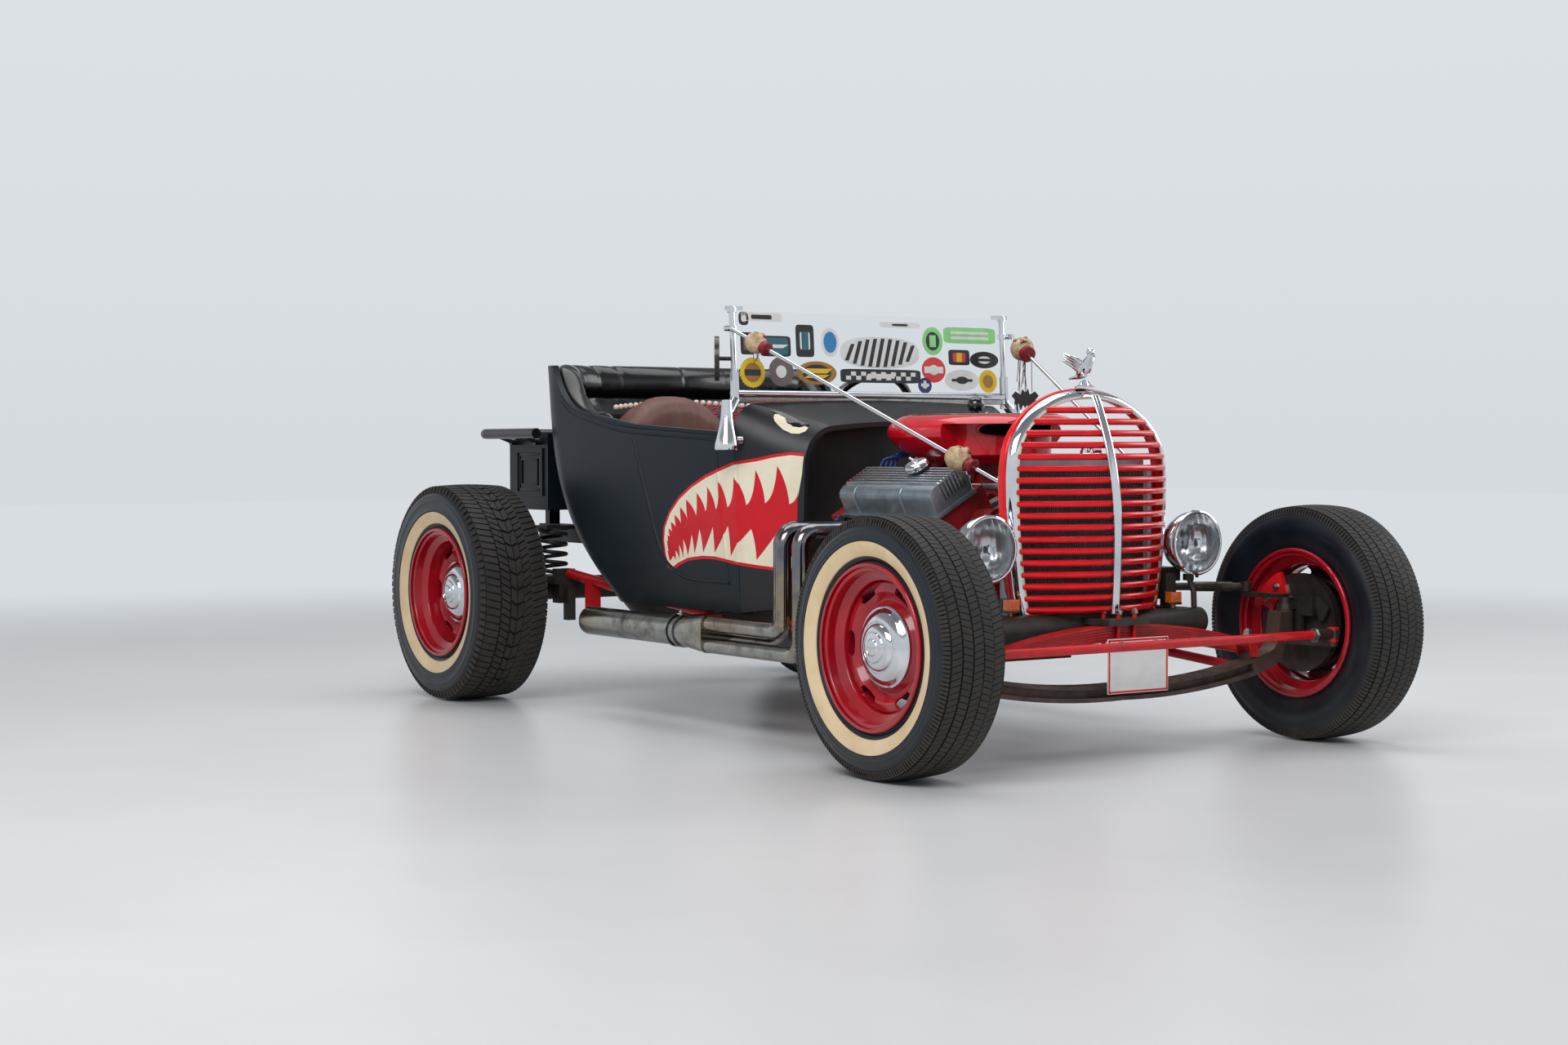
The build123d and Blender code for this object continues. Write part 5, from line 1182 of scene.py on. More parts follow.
fin.block(at(-0.2225, 0.1515, 0.405), at(-0.2215, 0.1565, 0.748), 0)
fins = run_tree(ALONG, make_mesh("fin", fin, [CORE_BLACK]), {"Count": 62, "Step": (0.0073, 0, 0),
    "Material": CAST_ALLOY})
row = Shape()
row.block(at(-0.2235, 0.1505, 0.41), at(0.2235, 0.155, 0.4145), 0)
rows = run_tree(ALONG, make_mesh("row", row, [CORE_BLACK]), {"Count": 18, "Step": (0, 0, 0.019),
    "Material": CORE_BLACK})
core_mesh = make_mesh("core", core, [CORE_BLACK, TANK_PALE, CHROME, RUBBER])
show("radiator_look", join_meshes("radiator_look", [core_mesh, fins, rows]), "chassis",
    ["radiator"])

# %% mascot
low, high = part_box("mascot")
bird = Shape()
base = at(0, 0.136, low.z - 0.003)
bird.turn([(0.0, 0.0), (0.0, 0.0185), (0.003, 0.0185), (0.006, 0.011), (0.012, 0.008), (0.016, 0.0)],
    base, UP, 24)


def feather(points, radii, sides):
    """A tapered tube through places given from the bird's foot."""
    bird.tube([base + Vector(point) for point in points], radii, sides)


feather([(0, 0.016, 0.02), (0, 0.01, 0.026), (0, 0.0, 0.036), (0, -0.008, 0.047), (0, -0.013, 0.056),
    (0, -0.0145, 0.062)], [0.005, 0.011, 0.0135, 0.0105, 0.0062, 0.005], 20)
bird.ball(base + Vector((0, -0.0155, 0.0665)), 0.0075, 1.1, (0, -1, 0.3), 18)
feather([(0, -0.021, 0.066), (0, -0.0275, 0.0635)], [0.003, 0.0006], 10)
for side in SIDES:
    for layer in range(4):
        reach = 0.04 - layer * 0.004
        root = Vector((side * 0.007, -0.003 + layer * 0.0035, 0.044 - layer * 0.004))
        feather([root, root + Vector((side * reach * 0.4, 0.006, 0.01)),
            root + Vector((side * (reach - 0.01), 0.02 + layer * 0.002, 0.019))], [0.0052, 0.0046,
            0.0012], 8)
for tail in (-1, 0, 1):
    feather([(0, 0.014, 0.022), (tail * 0.009, 0.034, 0.018)], [0.0055, 0.002], 8)
bird.points = [base + (point - base) * 1.45 for point in bird.points]
build("mascot_look", bird, [CHROME], "chassis", ["mascot"], smooth=50)

# %% blank plate with its border and bolts
low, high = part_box("plate")
sign = Shape()
front = low.y
inset, size = 0.0045, 0.005
corners = [(low.x + inset, low.z + inset), (high.x - inset, low.z + inset), (high.x - inset,
    high.z - inset), (low.x + inset, high.z - inset)]
for (x_a, z_a), (x_b, z_b) in zip(corners, corners[1:] + corners[:1]):
    sign.block((min(x_a, x_b) - size / 2, front - 0.0008, min(z_a, z_b) - size / 2),
        (max(x_a, x_b) + size / 2, front + 0.0004, max(z_a, z_b) + size / 2), 0.0003)
sign.skin = 1
for side in SIDES:
    spot = Vector(((low.x + high.x) / 2 + side * 0.06, front, low.z + 0.131))
    sign.turn([(0.0, 0.0085), (0.0012, 0.0085), (0.0014, 0.0055), (0.0055, 0.005), (0.0058, 0.0)], spot,
        (0, -1, 0), 6)
build("plate_border", sign, [BAR_RED, BRIGHT_STEEL], "chassis")

# %% indicator bases and lens ribs
amber = Shape()
for side in SIDES:
    x = side * 0.285
    amber.skin = 0
    amber.block(at(x - 0.0215, 0.086, 0.386), at(x + 0.0215, 0.118, 0.393), 0.0015)
    amber.block(at(x - 0.0215, 0.108, 0.388), at(x + 0.0215, 0.119, 0.4235), 0.002)
    amber.skin = 1
    amber.block(at(x - 0.018, 0.0835, 0.3935), at(x + 0.018, 0.087, 0.4195), 0.0016)
    for step in range(5):
        z = 0.3975 + 0.0045 * step
        amber.tube([at(x - 0.0165, 0.0836, z), at(x + 0.0165, 0.0836, z)], 0.0012, 8)
build("indicator_trim", amber, [RAIL_BLACK, AMBER_LENS], "chassis")

# %% [markdown]
# ## Engine
# A small V-eight. The cast covers get their lengthwise fins, the front gets fan, belt and pulleys,
# and the top gets the intake, the carburettor and the leads. The red scoop is a soft closed shell
# with a real mouth cut in its front.

# %% cast valve covers
COVER = [(0.226, 0.697), (0.246, 0.741), (0.252, 0.75), (0.266, 0.757), (0.278, 0.7555),
    (0.362, 0.7095), (0.371, 0.7005), (0.3755, 0.688), (0.3735, 0.676), (0.35, 0.63)]
COVER_REAR = 0.74
LEAN, UPRIGHT = 0.505, 0.863  # the way out of a cover's sloping top
covers = Shape()
for side in SIDES:
    def seat(point, distance, rise=0.0):
        """Point of the cover's section, lifted off the sloping top."""
        return at(side * (point[0] + rise * LEAN), distance, point[1] + rise * UPRIGHT)

    covers.skin = 0
    covers.plate([seat(p, 0.324) for p in COVER], (0, COVER_REAR - 0.324, 0), 0.004)
    covers.plate([at(side * x, 0.32, z) for x, z in ((0.217, 0.697), (0.224, 0.7065), (0.3625, 0.629),
        (0.3565, 0.619))], (0, COVER_REAR - 0.316, 0), 0.002)
    covers.skin = 1
    for number in range(7):  # the lengthwise fins
        place = 0.004 + number * 0.0128
        top = (0.278 + place * UPRIGHT, 0.7575 - place * LEAN)
        outline = [seat(top, 0.3195, -0.046), seat(top, 0.3195, 0.002), seat(top, 0.325, 0.0065),
            seat(top, COVER_REAR - 0.004, 0.0065), seat(top, COVER_REAR + 0.001, 0.0025),
            seat(top, COVER_REAR + 0.001, -0.004)]
        width = Vector((side * 0.0058 * UPRIGHT, 0, -0.0058 * LEAN))
        covers.plate([p - width / 2 for p in outline], width, 0.0009)
    covers.skin = 0
    for distance in (0.458, 0.668):
        covers.tube([seat(p, distance, -0.001) for p in COVER[5:]], 0.0048, 10)
    covers.skin = 2
    for distance in (0.345, 0.48, 0.62, 0.755):
        for x, z in ((0.2225, 0.704), (0.3625, 0.6225)):
            covers.turn([(-0.004, 0.0075), (0.0015, 0.0075), (0.0015, 0.0052), (0.0065, 0.0052),
                (0.007, 0.0)], at(side * x, distance, z), (side * LEAN, 0, UPRIGHT), 6)
build("valve_cover_look", covers, [CAST_ALLOY, POLISHED, BRIGHT_STEEL], "chassis",
    ["valve_covers"], smooth=30)

# %% breather
low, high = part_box("breather")
lean = Vector((-0.498, 0, 0.867))
cup = Shape()
foot = at(-0.2915, 0.484, 0.7545)
cup.turn([(-0.01, 0.0), (-0.01, 0.015), (0.004, 0.015), (0.006, 0.029), (0.008, 0.0345),
    (0.0105, 0.0352), (0.013, 0.0345), (0.014, 0.0325), (0.015, 0.0345), (0.0185, 0.0352),
    (0.022, 0.0335), (0.025, 0.028), (0.0265, 0.02), (0.027, 0.008), (0.033, 0.0062), (0.0335, 0.0)],
    foot, lean, 40)
for side in SIDES:
    cup.tube([foot + lean * 0.029, foot + lean * 0.034 + Vector((0, side * 0.01, 0)),
        foot + lean * 0.0375 + Vector((0, side * 0.016, 0))], [0.0035, 0.003, 0.0036], 10)
build("breather_look", cup, [CHROME], "chassis", ["breather"])

# %% scoop with its mouth
SCOOP_HALF = (0.22, 0.29)
SCOOP_MIDDLE = 0.57
MOUTH_HEIGHT = 0.862
OVAL_STEPS = 96
SCOOP_LEVELS = [(0.77, 0.5, 0), (0.776, 0.6, 0), (0.795, 0.77, 1), (0.82, 0.905, 1), (0.84, 0.972, 1),
    (0.845, 0.99, 1), (0.8455, 0.985, 1), (0.856, 1.0, 1), (0.87, 0.99, 1), (0.88, 0.965, 1),
    (0.8805, 0.962, 0), (0.887, 0.94, 0), (0.896, 0.895, 0), (0.903, 0.845, 0), (0.9055, 0.805, 0),
    (0.906, 0.78, 0)]


def oval(share, height, recessed=0):
    """A ring of points on a soft rectangle; its front part is set back where the mouth runs round."""
    ring = []
    for cosine, sine in circle(OVAL_STEPS):
        along = squared(sine, 0.74)
        deep = 0.7 if recessed and along < -0.33 else share
        ring.append(Vector((squared(cosine, 0.74) * SCOOP_HALF[0] * deep,
            behind(SCOOP_MIDDLE) + along * SCOOP_HALF[1] * deep, height)))
    return ring


def scoop_shell():
    """Closed shell, cut by a rounded mouth."""
    shell = Shape()
    shell.grid([oval(share, height, recessed) for height, share, recessed in SCOOP_LEVELS], True, True)
    cutter = Shape()
    cutter.skin = 1
    outline = []
    for cosine, sine in circle(48):
        drop = 0.6 if sine < 0 else 1.0
        outline.append(at(squared(cosine, 0.62) * 0.128, 0.24, MOUTH_HEIGHT + squared(sine,
            0.75) * 0.0265 * drop))
    cutter.plate(outline, (0, 0.3, 0))
    # the cutter's faces line the inside of the mouth and take the painted-shade black, painted shade in
    # the opening
    skins = [SCOOP_RED, PAINTED_SHADE_BLACK]
    tool = add_object("tool", make_mesh("tool", cutter, skins))

    def prepare(cut):
        cut.operation = "DIFFERENCE"
        cut.solver = "EXACT"
        cut.object = tool

    made = run_modifier(make_mesh("shell", shell, skins), "BOOLEAN", prepare)
    bpy.data.objects.remove(tool)
    return smooth_mesh(made, 35), outline


scoop_mesh, mouth_line = scoop_shell()
lid = Shape()
lid.grid([oval(share, height) for share, height in ((0.75, 0.9052), (0.77, 0.9058), (0.776, 0.9072),
    (0.77, 0.9086), (0.75, 0.9092), (0.4, 0.9093), (0.02, 0.9093))], closed=True)
lip_points = []
shell_tree = search_tree([scoop_mesh])
for point in mouth_line:
    out = at(point.x * 1.035, 0.1, MOUTH_HEIGHT + (point.z - MOUTH_HEIGHT) * 1.13)
    hit = shell_tree.ray_cast(out, Vector(BACK))[0]
    if hit:
        lip_points.append(hit)
rim = Shape()
rim.tube(lip_points, 0.0026, 10, closed=True)
lid_mesh = make_mesh("lid", lid, [GLOSS_BLACK])
rim_mesh = make_mesh("rim", rim, [SCOOP_RED])
show("scoop_look", join_meshes("scoop_look", [scoop_mesh, lid_mesh, rim_mesh]), "chassis",
    ["scoop"])
knob = Shape()
knob.turn([(0.0, 0.0), (0.0, 0.0175), (0.0025, 0.0175), (0.0035, 0.012), (0.01, 0.01)],
    at(0, 0.6, 0.9085), UP, 28)
build("knob_base", knob, [CHROME], "chassis")

# %% fan, pulleys and belt
front = Shape()
fan_y = behind(0.232)
hub = Vector((0, fan_y, 0.56))
for blade in range(6):
    angle = pi / 3 * blade + 0.2
    spoke, across = Vector((cos(angle), 0, sin(angle))), Vector((-sin(angle), 0, cos(angle)))
    outline = [(0.045, 0.02), (0.11, 0.032), (0.165, 0.036), (0.175, 0.03)]
    outline += [(r, -w) for r, w in reversed(outline)]
    front.plate([hub + spoke * r + across * w + Vector((0, -w * 0.18, 0)) for r, w in outline],
        (0, 0.0022, 0))
front.turn([(-0.006, 0.0), (-0.006, 0.05), (0.004, 0.052), (0.008, 0.03), (0.016, 0.03), (0.016, 0.0)],
    hub, BACK, 36)


def pulley(shape, centre, radius, deep):
    """A pressed V-belt pulley, seen from the front."""
    shape.turn([(0.0, 0.0), (0.0, radius * 0.3), (0.006, radius * 0.34), (0.006, radius * 0.8),
        (-0.004, radius * 0.93), (-0.004, radius), (0.003, radius), (0.008, radius - 0.007),
        (0.013, radius), (0.018, radius), (0.018, 0.0)], centre + Vector((0, deep, 0)), BACK, 48)
    shape.turn([(-0.006, 0.0), (-0.006, 0.01), (0.001, 0.01)], centre + Vector((0, deep, 0)), BACK, 6)


PULLEYS = [(at(0, 0.248, 0.365), 0.0765), (at(0, 0.248, 0.56), 0.0615), (at(-0.19, 0.248, 0.6), 0.036)]
front.skin = 1
for centre, radius in PULLEYS:
    pulley(front, centre, radius, -0.004)
front.skin = 2
rim_points = [(centre.x + (radius + 0.001) * cosine, centre.z + (radius + 0.001) * sine) for centre,
    radius in PULLEYS for cosine, sine in circle(48)]
rim_points.sort()


def half_hull(points):
    """Lower or upper half of the outline round some points."""
    line = []
    for point in points:
        while len(line) > 1 and ((line[-1][0] - line[-2][0]) * (point[1] - line[-2][1]) -
                (line[-1][1] - line[-2][1]) * (point[0] - line[-2][0])) <= 0:
            line.pop()
        line.append(point)
    return line[:-1]


loop = half_hull(rim_points) + half_hull(list(reversed(rim_points)))
front.tube([at(x, 0.252, z) for x, z in loop], 0.0052, 8, closed=True)
build("fan_and_belt", front, [RAIL_BLACK, BRIGHT_STEEL, RUBBER], "chassis", smooth=30)

# %% intake, carburettor, leads and hoses
top = Shape()
top.block(at(-0.066, 0.496, 0.7), at(0.066, 0.664, 0.716), 0.004)
top.block(at(-0.06, 0.505, 0.716), at(0.06, 0.655, 0.762), 0.006)
for x in (-0.031, 0.031):
    for distance in (0.545, 0.615):
        top.turn([(0, 0.026), (0.04, 0.026), (0.042, 0.028), (0.046, 0.028), (0.046, 0.021),
            (0.02, 0.019), (0.02, 0.0)], at(x, distance, 0.755), UP, 28)
for side in SIDES:
    top.block(at(side * 0.078 - 0.012, 0.52, 0.722), at(side * 0.078 + 0.012, 0.64, 0.756), 0.008)
    for port in (0.385, 0.5, 0.64, 0.755):
        top.tube([at(side * 0.06, 0.575 + (port - 0.57) * 0.55, 0.668), at(side * 0.115, port, 0.664),
            at(side * 0.158, port, 0.648)], 0.0235, 14)
top.tube([at(0, 0.318, 0.64), at(0, 0.3, 0.69), at(0.02, 0.27, 0.735)], 0.021, 16)
top.skin = 1
top.turn([(0.0, 0.0), (0.0, 0.043), (0.02, 0.043), (0.022, 0.0385), (0.045, 0.0365), (0.052, 0.03),
    (0.054, 0.0)], at(0, 0.76, 0.728), UP, 36)
for number in range(9):
    angle = 2 * pi * number / 8
    reach = 0.026 if number < 8 else 0.0
    top.turn([(0, 0.0065), (0.014, 0.006), (0.016, 0.0)], (reach * cos(angle),
        behind(0.76) + reach * sin(angle), 0.78), UP, 12)
top.skin = 2
for number in range(8):
    side = -1 if number % 2 else 1
    row = number // 2
    angle = pi / 2 + side * (-0.5 - row * 0.62) + pi
    start_at = at(0.026 * cos(angle), 0.76, 0.79) + Vector((0, 0.026 * sin(angle), 0))
    port = 0.395 + 0.115 * row
    spread = row * 0.0165
    path = [start_at, start_at + Vector((side * 0.012, 0.004, 0.016))]
    path += [at(side * (x + spread), distance, height) for x, distance,
        height in ((0.07, 0.795, 0.806 - spread / 3), (0.108, 0.806, 0.802 - spread / 3),
        (0.126, 0.812, 0.768), (0.13, 0.814, 0.7), (0.156, 0.816, 0.64))]
    path += [at(side * x, distance, height) for x, distance, height in ((0.24 + spread / 2, 0.814, 0.6),
        (0.345, 0.806, 0.572), (0.39, (port + 0.8) / 2, 0.572 - spread / 2), (0.392, port + 0.02, 0.59),
        (0.376, port, 0.62))]
    top.tube(smooth_line(path, 0.016), 0.0037, 8)
top.skin = 3
for side in SIDES:
    for row in range(4):
        foot = at(side * 0.375, 0.395 + 0.115 * row, 0.625)
        top.tube([foot, foot + Vector((-side * 0.022, 0, -0.035))], [0.0068, 0.0088], 12)
hose = [at(0.075, 0.2, 0.768), at(0.072, 0.228, 0.77), at(0.05, 0.254, 0.766), at(0.03, 0.27, 0.748),
    at(0.022, 0.272, 0.728)]
top.tube(smooth_line(hose), 0.0225, 20)
low_hose = [at(-0.17, 0.19, 0.4), at(-0.165, 0.235, 0.4), at(-0.12, 0.262, 0.44), at(-0.07, 0.292,
    0.52), at(-0.045, 0.3, 0.556)]
top.tube(smooth_line(low_hose), 0.019, 20)
top.skin = 4
for place, way in ((hose[4], UP), (hose[0], BACK), (low_hose[0], BACK)):
    top.collar(place + Vector(way) * 0.01, way, 0.006, 0.0205, 0.0242, 28)
build("engine_dress", top, [POLISHED, COPPER, LEAD_BLUE, RUBBER, BRIGHT_STEEL], "chassis")

# %% [markdown]
# ## Nose art and beads on the body
# The painted mouth and eye are an old pattern from aircraft noses, drawn here by numbers. Each
# colour is a polygon in side view. It is cut into small cells, laid on the real body surface by
# casting rays at it, and lifted by about a millimetre, so that it follows the curve of the cowl
# and the bead of the door.

# %% body surface
BODY = search_tree([nodes[name].data for name in ("body_tub", "cowl")])
SEAM_AT = 1.08


def on_body(side, distance, height):
    """Point and outward normal on the body's side; beside the door seam the nearest skin counts."""
    best = None
    for shift in (0, 0.0025, -0.0025):
        start_at = at(side * 0.9, distance + shift, height)
        hit, normal, _, _ = BODY.ray_cast(start_at, Vector((-side, 0, 0)))
        near_seam = 0.0 if abs(distance - SEAM_AT) < 0.006 else 0.004
        if hit and (best is None or abs(hit.x) > abs(best[0].x) + near_seam):
            best = (at(hit.x, distance, height), normal)
    if best and best[1].x * side < 0:
        best = (best[0], -best[1])
    return best


# %% beads pressed in the body
DOOR_FRONT = ((1.172, 0.852), (1.128, 0.426))
DOOR = [(1.128, 0.426), (1.314, 0.428), (1.4, 0.45), (1.464, 0.495), (1.5, 0.56), (1.53, 0.641),
    (1.572, 0.74), (1.611, 0.842)]
BELT = [(1.1, 0.862), (1.35, 0.8765), (1.6, 0.89), (1.74, 0.904), (1.86, 0.925), (1.94, 0.94),
    (2.01, 0.962), (2.055, 0.994)]


def bead_on_body(shape, side, knots, radius, sunk, drop=0.0):
    """A half-round bead along a line in side view."""
    path = []
    for point in smooth_line(knots, 0.02):
        found = on_body(side, point[0], point[1] - drop)
        if found:
            path.append(found[0] - found[1] * sunk)
    if len(path) > 2:
        shape.tube(path, radius, 10)


beads = Shape()
for side in SIDES:
    bead_on_body(beads, side, DOOR_FRONT, 0.0046, 0.0022)
    bead_on_body(beads, side, DOOR, 0.0085, 0.0046)
    bead_on_body(beads, side, BELT, 0.0045, 0.0018, 0.009)
    bead_on_body(beads, side, BELT, 0.004, 0.0018, 0.027)
build("body_beads", beads, [TUB_PAINT], "chassis")


# %% mouth and eye drawn in side view
def door_swell(distance, height):
    """How far the door's front bead lifts the paint."""
    (x_a, z_a), (x_b, z_b) = DOOR_FRONT
    along = Vector((x_b - x_a, z_b - z_a)).normalized()
    gap = abs((distance - x_a) * along.y - (height - z_a) * along.x)
    return 0.0026 * max(0.0, 1 - (gap / 0.0055) ** 2)


SEAM_CUTS = (1.074, 1.077, 1.0785, 1.08, 1.0815, 1.083, 1.086)
DOOR_CUTS = (-5, -3.2, -1.6, 0, 1.6, 3.2, 5)


def decal(shape, side, outline, lift, skin, cell):
    """Lays a flat outline of (distance, height) points on the body."""
    work = bmesh.new()
    corners = [work.verts.new((p[0], p[1], 0)) for p in outline]
    work.faces.new(corners)
    bmesh.ops.triangulate(work, faces=work.faces[:])
    low, high = (Vector((pick(p[0] for p in outline), pick(p[1] for p in outline), 0)) for pick in (min,
        max))

    def cut(place, normal):
        bmesh.ops.bisect_plane(work, geom=work.verts[:] + work.edges[:] + work.faces[:], plane_co=place,
            plane_no=normal)

    for axis in (0, 1):
        normal = Vector((1 - axis, axis, 0))
        for step in range(1, int((high[axis] - low[axis]) / cell) + 1):
            cut(low + normal * step * cell, normal)
    for distance in SEAM_CUTS:
        cut(Vector((distance, 0, 0)), Vector((1, 0, 0)))
    (x_a, z_a), (x_b, z_b) = DOOR_FRONT
    across = Vector((z_b - z_a, x_a - x_b, 0)).normalized()
    for step in DOOR_CUTS:
        cut(Vector((x_a, z_a, 0)) + across * step * 0.001, across)
    work.verts.index_update()
    places = []
    for vert in work.verts:
        found = on_body(side, vert.co.x, vert.co.y)
        places.append(found and found[0] + found[1] * (lift + door_swell(vert.co.x, vert.co.y)))
    faces = [[vert.index for vert in face.verts] for face in work.faces]
    faces = [ring for ring in faces if all(places[i] is not None for i in ring)]
    work.free()
    shape.skin = skin
    shape.add([p or at(0, 1.2, 0.6) for p in places], faces)


def bow(start_at, control, end, steps=7):
    """A curved line from start to end, without its last point."""
    return [tuple(a * (1 - t) ** 2 + 2 * b * t * (1 - t) + c * t * t for a, b, c in zip(start_at,
        control, end)) for t in (step / steps for step in range(steps))]


OUTLINE = [(0.933, 0.8), (0.962, 0.804), (0.996, 0.798), (1.037, 0.786), (1.09, 0.775), (1.15, 0.759),
    (1.223, 0.738), (1.298, 0.708), (1.364, 0.672), (1.419, 0.627), (1.452, 0.58), (1.459, 0.54),
    (1.453, 0.497), (1.44, 0.46), (1.414, 0.449), (1.377, 0.466), (1.327, 0.482), (1.253, 0.491),
    (1.194, 0.491), (1.137, 0.485), (1.08, 0.478), (1.032, 0.47), (0.983, 0.463), (0.941, 0.462)]
FRONT_EDGE = [(0.944, 0.53), (0.945, 0.59), (0.944, 0.672), (0.936, 0.739)]
GUM = [(0.9335, 0.791), (0.962, 0.795), (0.995, 0.789), (1.035, 0.777), (1.088, 0.766), (1.148, 0.75),
    (1.22, 0.729), (1.294, 0.7), (1.359, 0.665), (1.412, 0.621), (1.443, 0.577), (1.45, 0.54),
    (1.445, 0.499), (1.434, 0.466), (1.416, 0.459), (1.38, 0.475), (1.329, 0.491), (1.254, 0.5),
    (1.193, 0.5), (1.136, 0.494), (1.079, 0.487), (1.03, 0.479), (0.982, 0.472), (0.9412, 0.471)]
# Upper teeth from the front: tip, then the red notch behind it
UPPER = [((0.962, 0.655), (0.99, 0.765)), ((1.015, 0.657), (1.036, 0.753)), ((1.057, 0.651),
    (1.084, 0.735)), ((1.119, 0.644), (1.157, 0.719)), ((1.176, 0.637), (1.215, 0.703)),
    ((1.228, 0.63), (1.269, 0.684)), ((1.276, 0.617), (1.325, 0.664)), ((1.321, 0.603), (1.358, 0.641)),
    ((1.353, 0.589), (1.388, 0.617)), ((1.379, 0.575), (1.409, 0.596)), ((1.399, 0.56), (1.423, 0.576)),
    ((1.412, 0.544), (1.43, 0.556)), ((1.42, 0.526), (1.434, 0.534)), ((1.424, 0.506), (1.434, 0.51))]
# Lower teeth from the rear: tip, then the red notch before it
LOWER = [((1.406, 0.494), (1.394, 0.482)), ((1.392, 0.511), (1.373, 0.486)), ((1.372, 0.528),
    (1.353, 0.491)), ((1.348, 0.545), (1.328, 0.498)), ((1.303, 0.561), (1.292, 0.505)),
    ((1.262, 0.578), (1.248, 0.51)), ((1.194, 0.586), (1.19, 0.511)), ((1.12, 0.591), (1.112, 0.504)),
    ((1.047, 0.583), (1.034, 0.494)), ((0.985, 0.578), (0.966, 0.486))]


def throat():
    """Outline of the red inside of the mouth, with the notches between the teeth."""
    here = (0.944, 0.69)
    line = [here]

    def between(tip, goal, across, up):
        return tip[0] + (goal[0] - tip[0]) * across, tip[1] + (goal[1] - tip[1]) * up

    for tip, notch in UPPER:
        line += bow(here, between(here, tip, 0.15, 0.85), tip) + bow(tip, between(tip, notch, 0.18,
            0.55), notch)
        here = notch
    corner, front = (1.425, 0.478), (0.9435, 0.545)
    line += bow(here, (1.431, 0.494), corner)
    here = corner
    for tip, notch in LOWER:
        line += bow(here, ((here[0] + tip[0]) / 2 - 0.004, (here[1] + tip[1]) / 2), tip)
        line += bow(tip, between(tip, notch, 0.75, 0.3), notch)
        here = notch
    return line + bow(here, (0.945, 0.515), front) + [front]


EYE = [(1.03, 0.913), (1.024, 0.902), (1.012, 0.885), (0.994, 0.868), (0.975, 0.857), (0.961, 0.856),
    (0.953, 0.863), (0.955, 0.873), (0.9635, 0.8785), (0.9695, 0.874), (0.9825, 0.877), (0.9955, 0.887),
    (1.0075, 0.901), (1.016, 0.9125)]
PUPIL = [(1.017, 0.912), (1.0075, 0.901), (0.9955, 0.887), (0.9825, 0.877), (0.9695, 0.874),
    (0.965, 0.8795), (0.969, 0.885), (0.98, 0.89), (0.995, 0.898), (1.006, 0.908)]
BROW = [(1.046, 0.926), (1.03, 0.916), (1.015, 0.906), (0.995, 0.895), (0.976, 0.884), (0.961, 0.877),
    (0.957, 0.8815), (0.974, 0.889), (0.993, 0.9), (1.013, 0.911), (1.029, 0.92)]

art = Shape()
for side in SIDES:
    for outline, lift, skin, cell in ((OUTLINE + FRONT_EDGE, 0.0005, 0, 0.014), (GUM + FRONT_EDGE,
            0.0009, 1, 0.014), (throat(), 0.0013, 0, 0.014), (EYE, 0.0007, 2, 0.006), (PUPIL, 0.0005, 3,
            0.006), (BROW, 0.001, 3, 0.006)):
        decal(art, side, outline, lift, skin, cell)
build("nose_art", art, [MOUTH_RED, TOOTH_CREAM, EYE_WHITE, GLOSS_BLACK], "chassis",
    outward=False, smooth=60)

# %% [markdown]
# ## Upholstery
# The construction model holds plain solids for the soft parts. The seats are remeshed into small
# even cells, and these sink along the seams, so that the pad swells between the stitches. A short
# cloth run under pressure then gives the panels their taut, slightly uneven curve. The roll round
# the cockpit is swept along its solid instead, with its folds drawn in the section.

# %% remesh, seams, pressure
def even_mesh(name, size):
    """The CAD node as an even mesh of small cells."""
    def prepare(remesh):
        remesh.mode = "VOXEL"
        remesh.voxel_size = size

    return run_modifier(nodes[name].data.copy(), "REMESH", prepare)


def soften(mesh, rounds):
    """Smooths the cells."""
    work = bmesh.new()
    work.from_mesh(mesh)
    for _ in range(rounds):
        bmesh.ops.smooth_vert(work, verts=work.verts, factor=0.5, use_axis_x=True, use_axis_y=True,
            use_axis_z=True)
    work.to_mesh(mesh)
    work.free()


def sink_seams(mesh, seam, depth):
    """Moves each cell inwards by the seam's share at its place."""
    mesh.update()
    normals = [vert.normal.copy() for vert in mesh.vertices]
    for vert, normal in zip(mesh.vertices, normals):
        vert.co -= normal * depth * seam(vert.co, normal)
    mesh.update()


def inflate(mesh, pressure, frames, reach):
    """A short cloth run that blows the panels out; each point moves no further than reach."""
    before = [vert.co.copy() for vert in mesh.vertices]
    scene = bpy.context.scene

    def prepare(cloth):
        settings = cloth.settings
        settings.effector_weights.gravity = 0
        settings.use_pressure = True
        settings.uniform_pressure_force = pressure
        settings.tension_stiffness = settings.compression_stiffness = 40
        settings.bending_stiffness = 6
        settings.quality = 4
        cloth.collision_settings.use_self_collision = False
        for frame_number in range(1, frames + 1):
            scene.frame_set(frame_number)

    moved = run_modifier(mesh, "CLOTH", prepare)
    for vert, place, after in zip(mesh.vertices, before, moved.vertices):
        step = after.co - place
        if step.length > reach:
            step *= reach / step.length
        vert.co = place + step
    scene.frame_set(1)
    bpy.data.meshes.remove(moved)
    mesh.update()


def groove(place, pitch, width):
    """1 in a seam that repeats every pitch, 0 between."""
    off = abs((place / pitch + 0.5) % 1 - 0.5) * pitch
    return exp(-(off / width) ** 2)


BACK_MIDDLE, BACK_HALF = 0.205, 0.175


def back_seam(place, normal):
    """Upright seams on the seat backs' front and top."""
    side = -1 if place.x < 0 else 1
    across = place.x - side * BACK_MIDDLE
    edge = max(0.0, min(1.0, (BACK_HALF - abs(across)) / 0.03))
    return groove(across, 0.056, 0.006) * edge if normal.y < 0.5 else 0.0


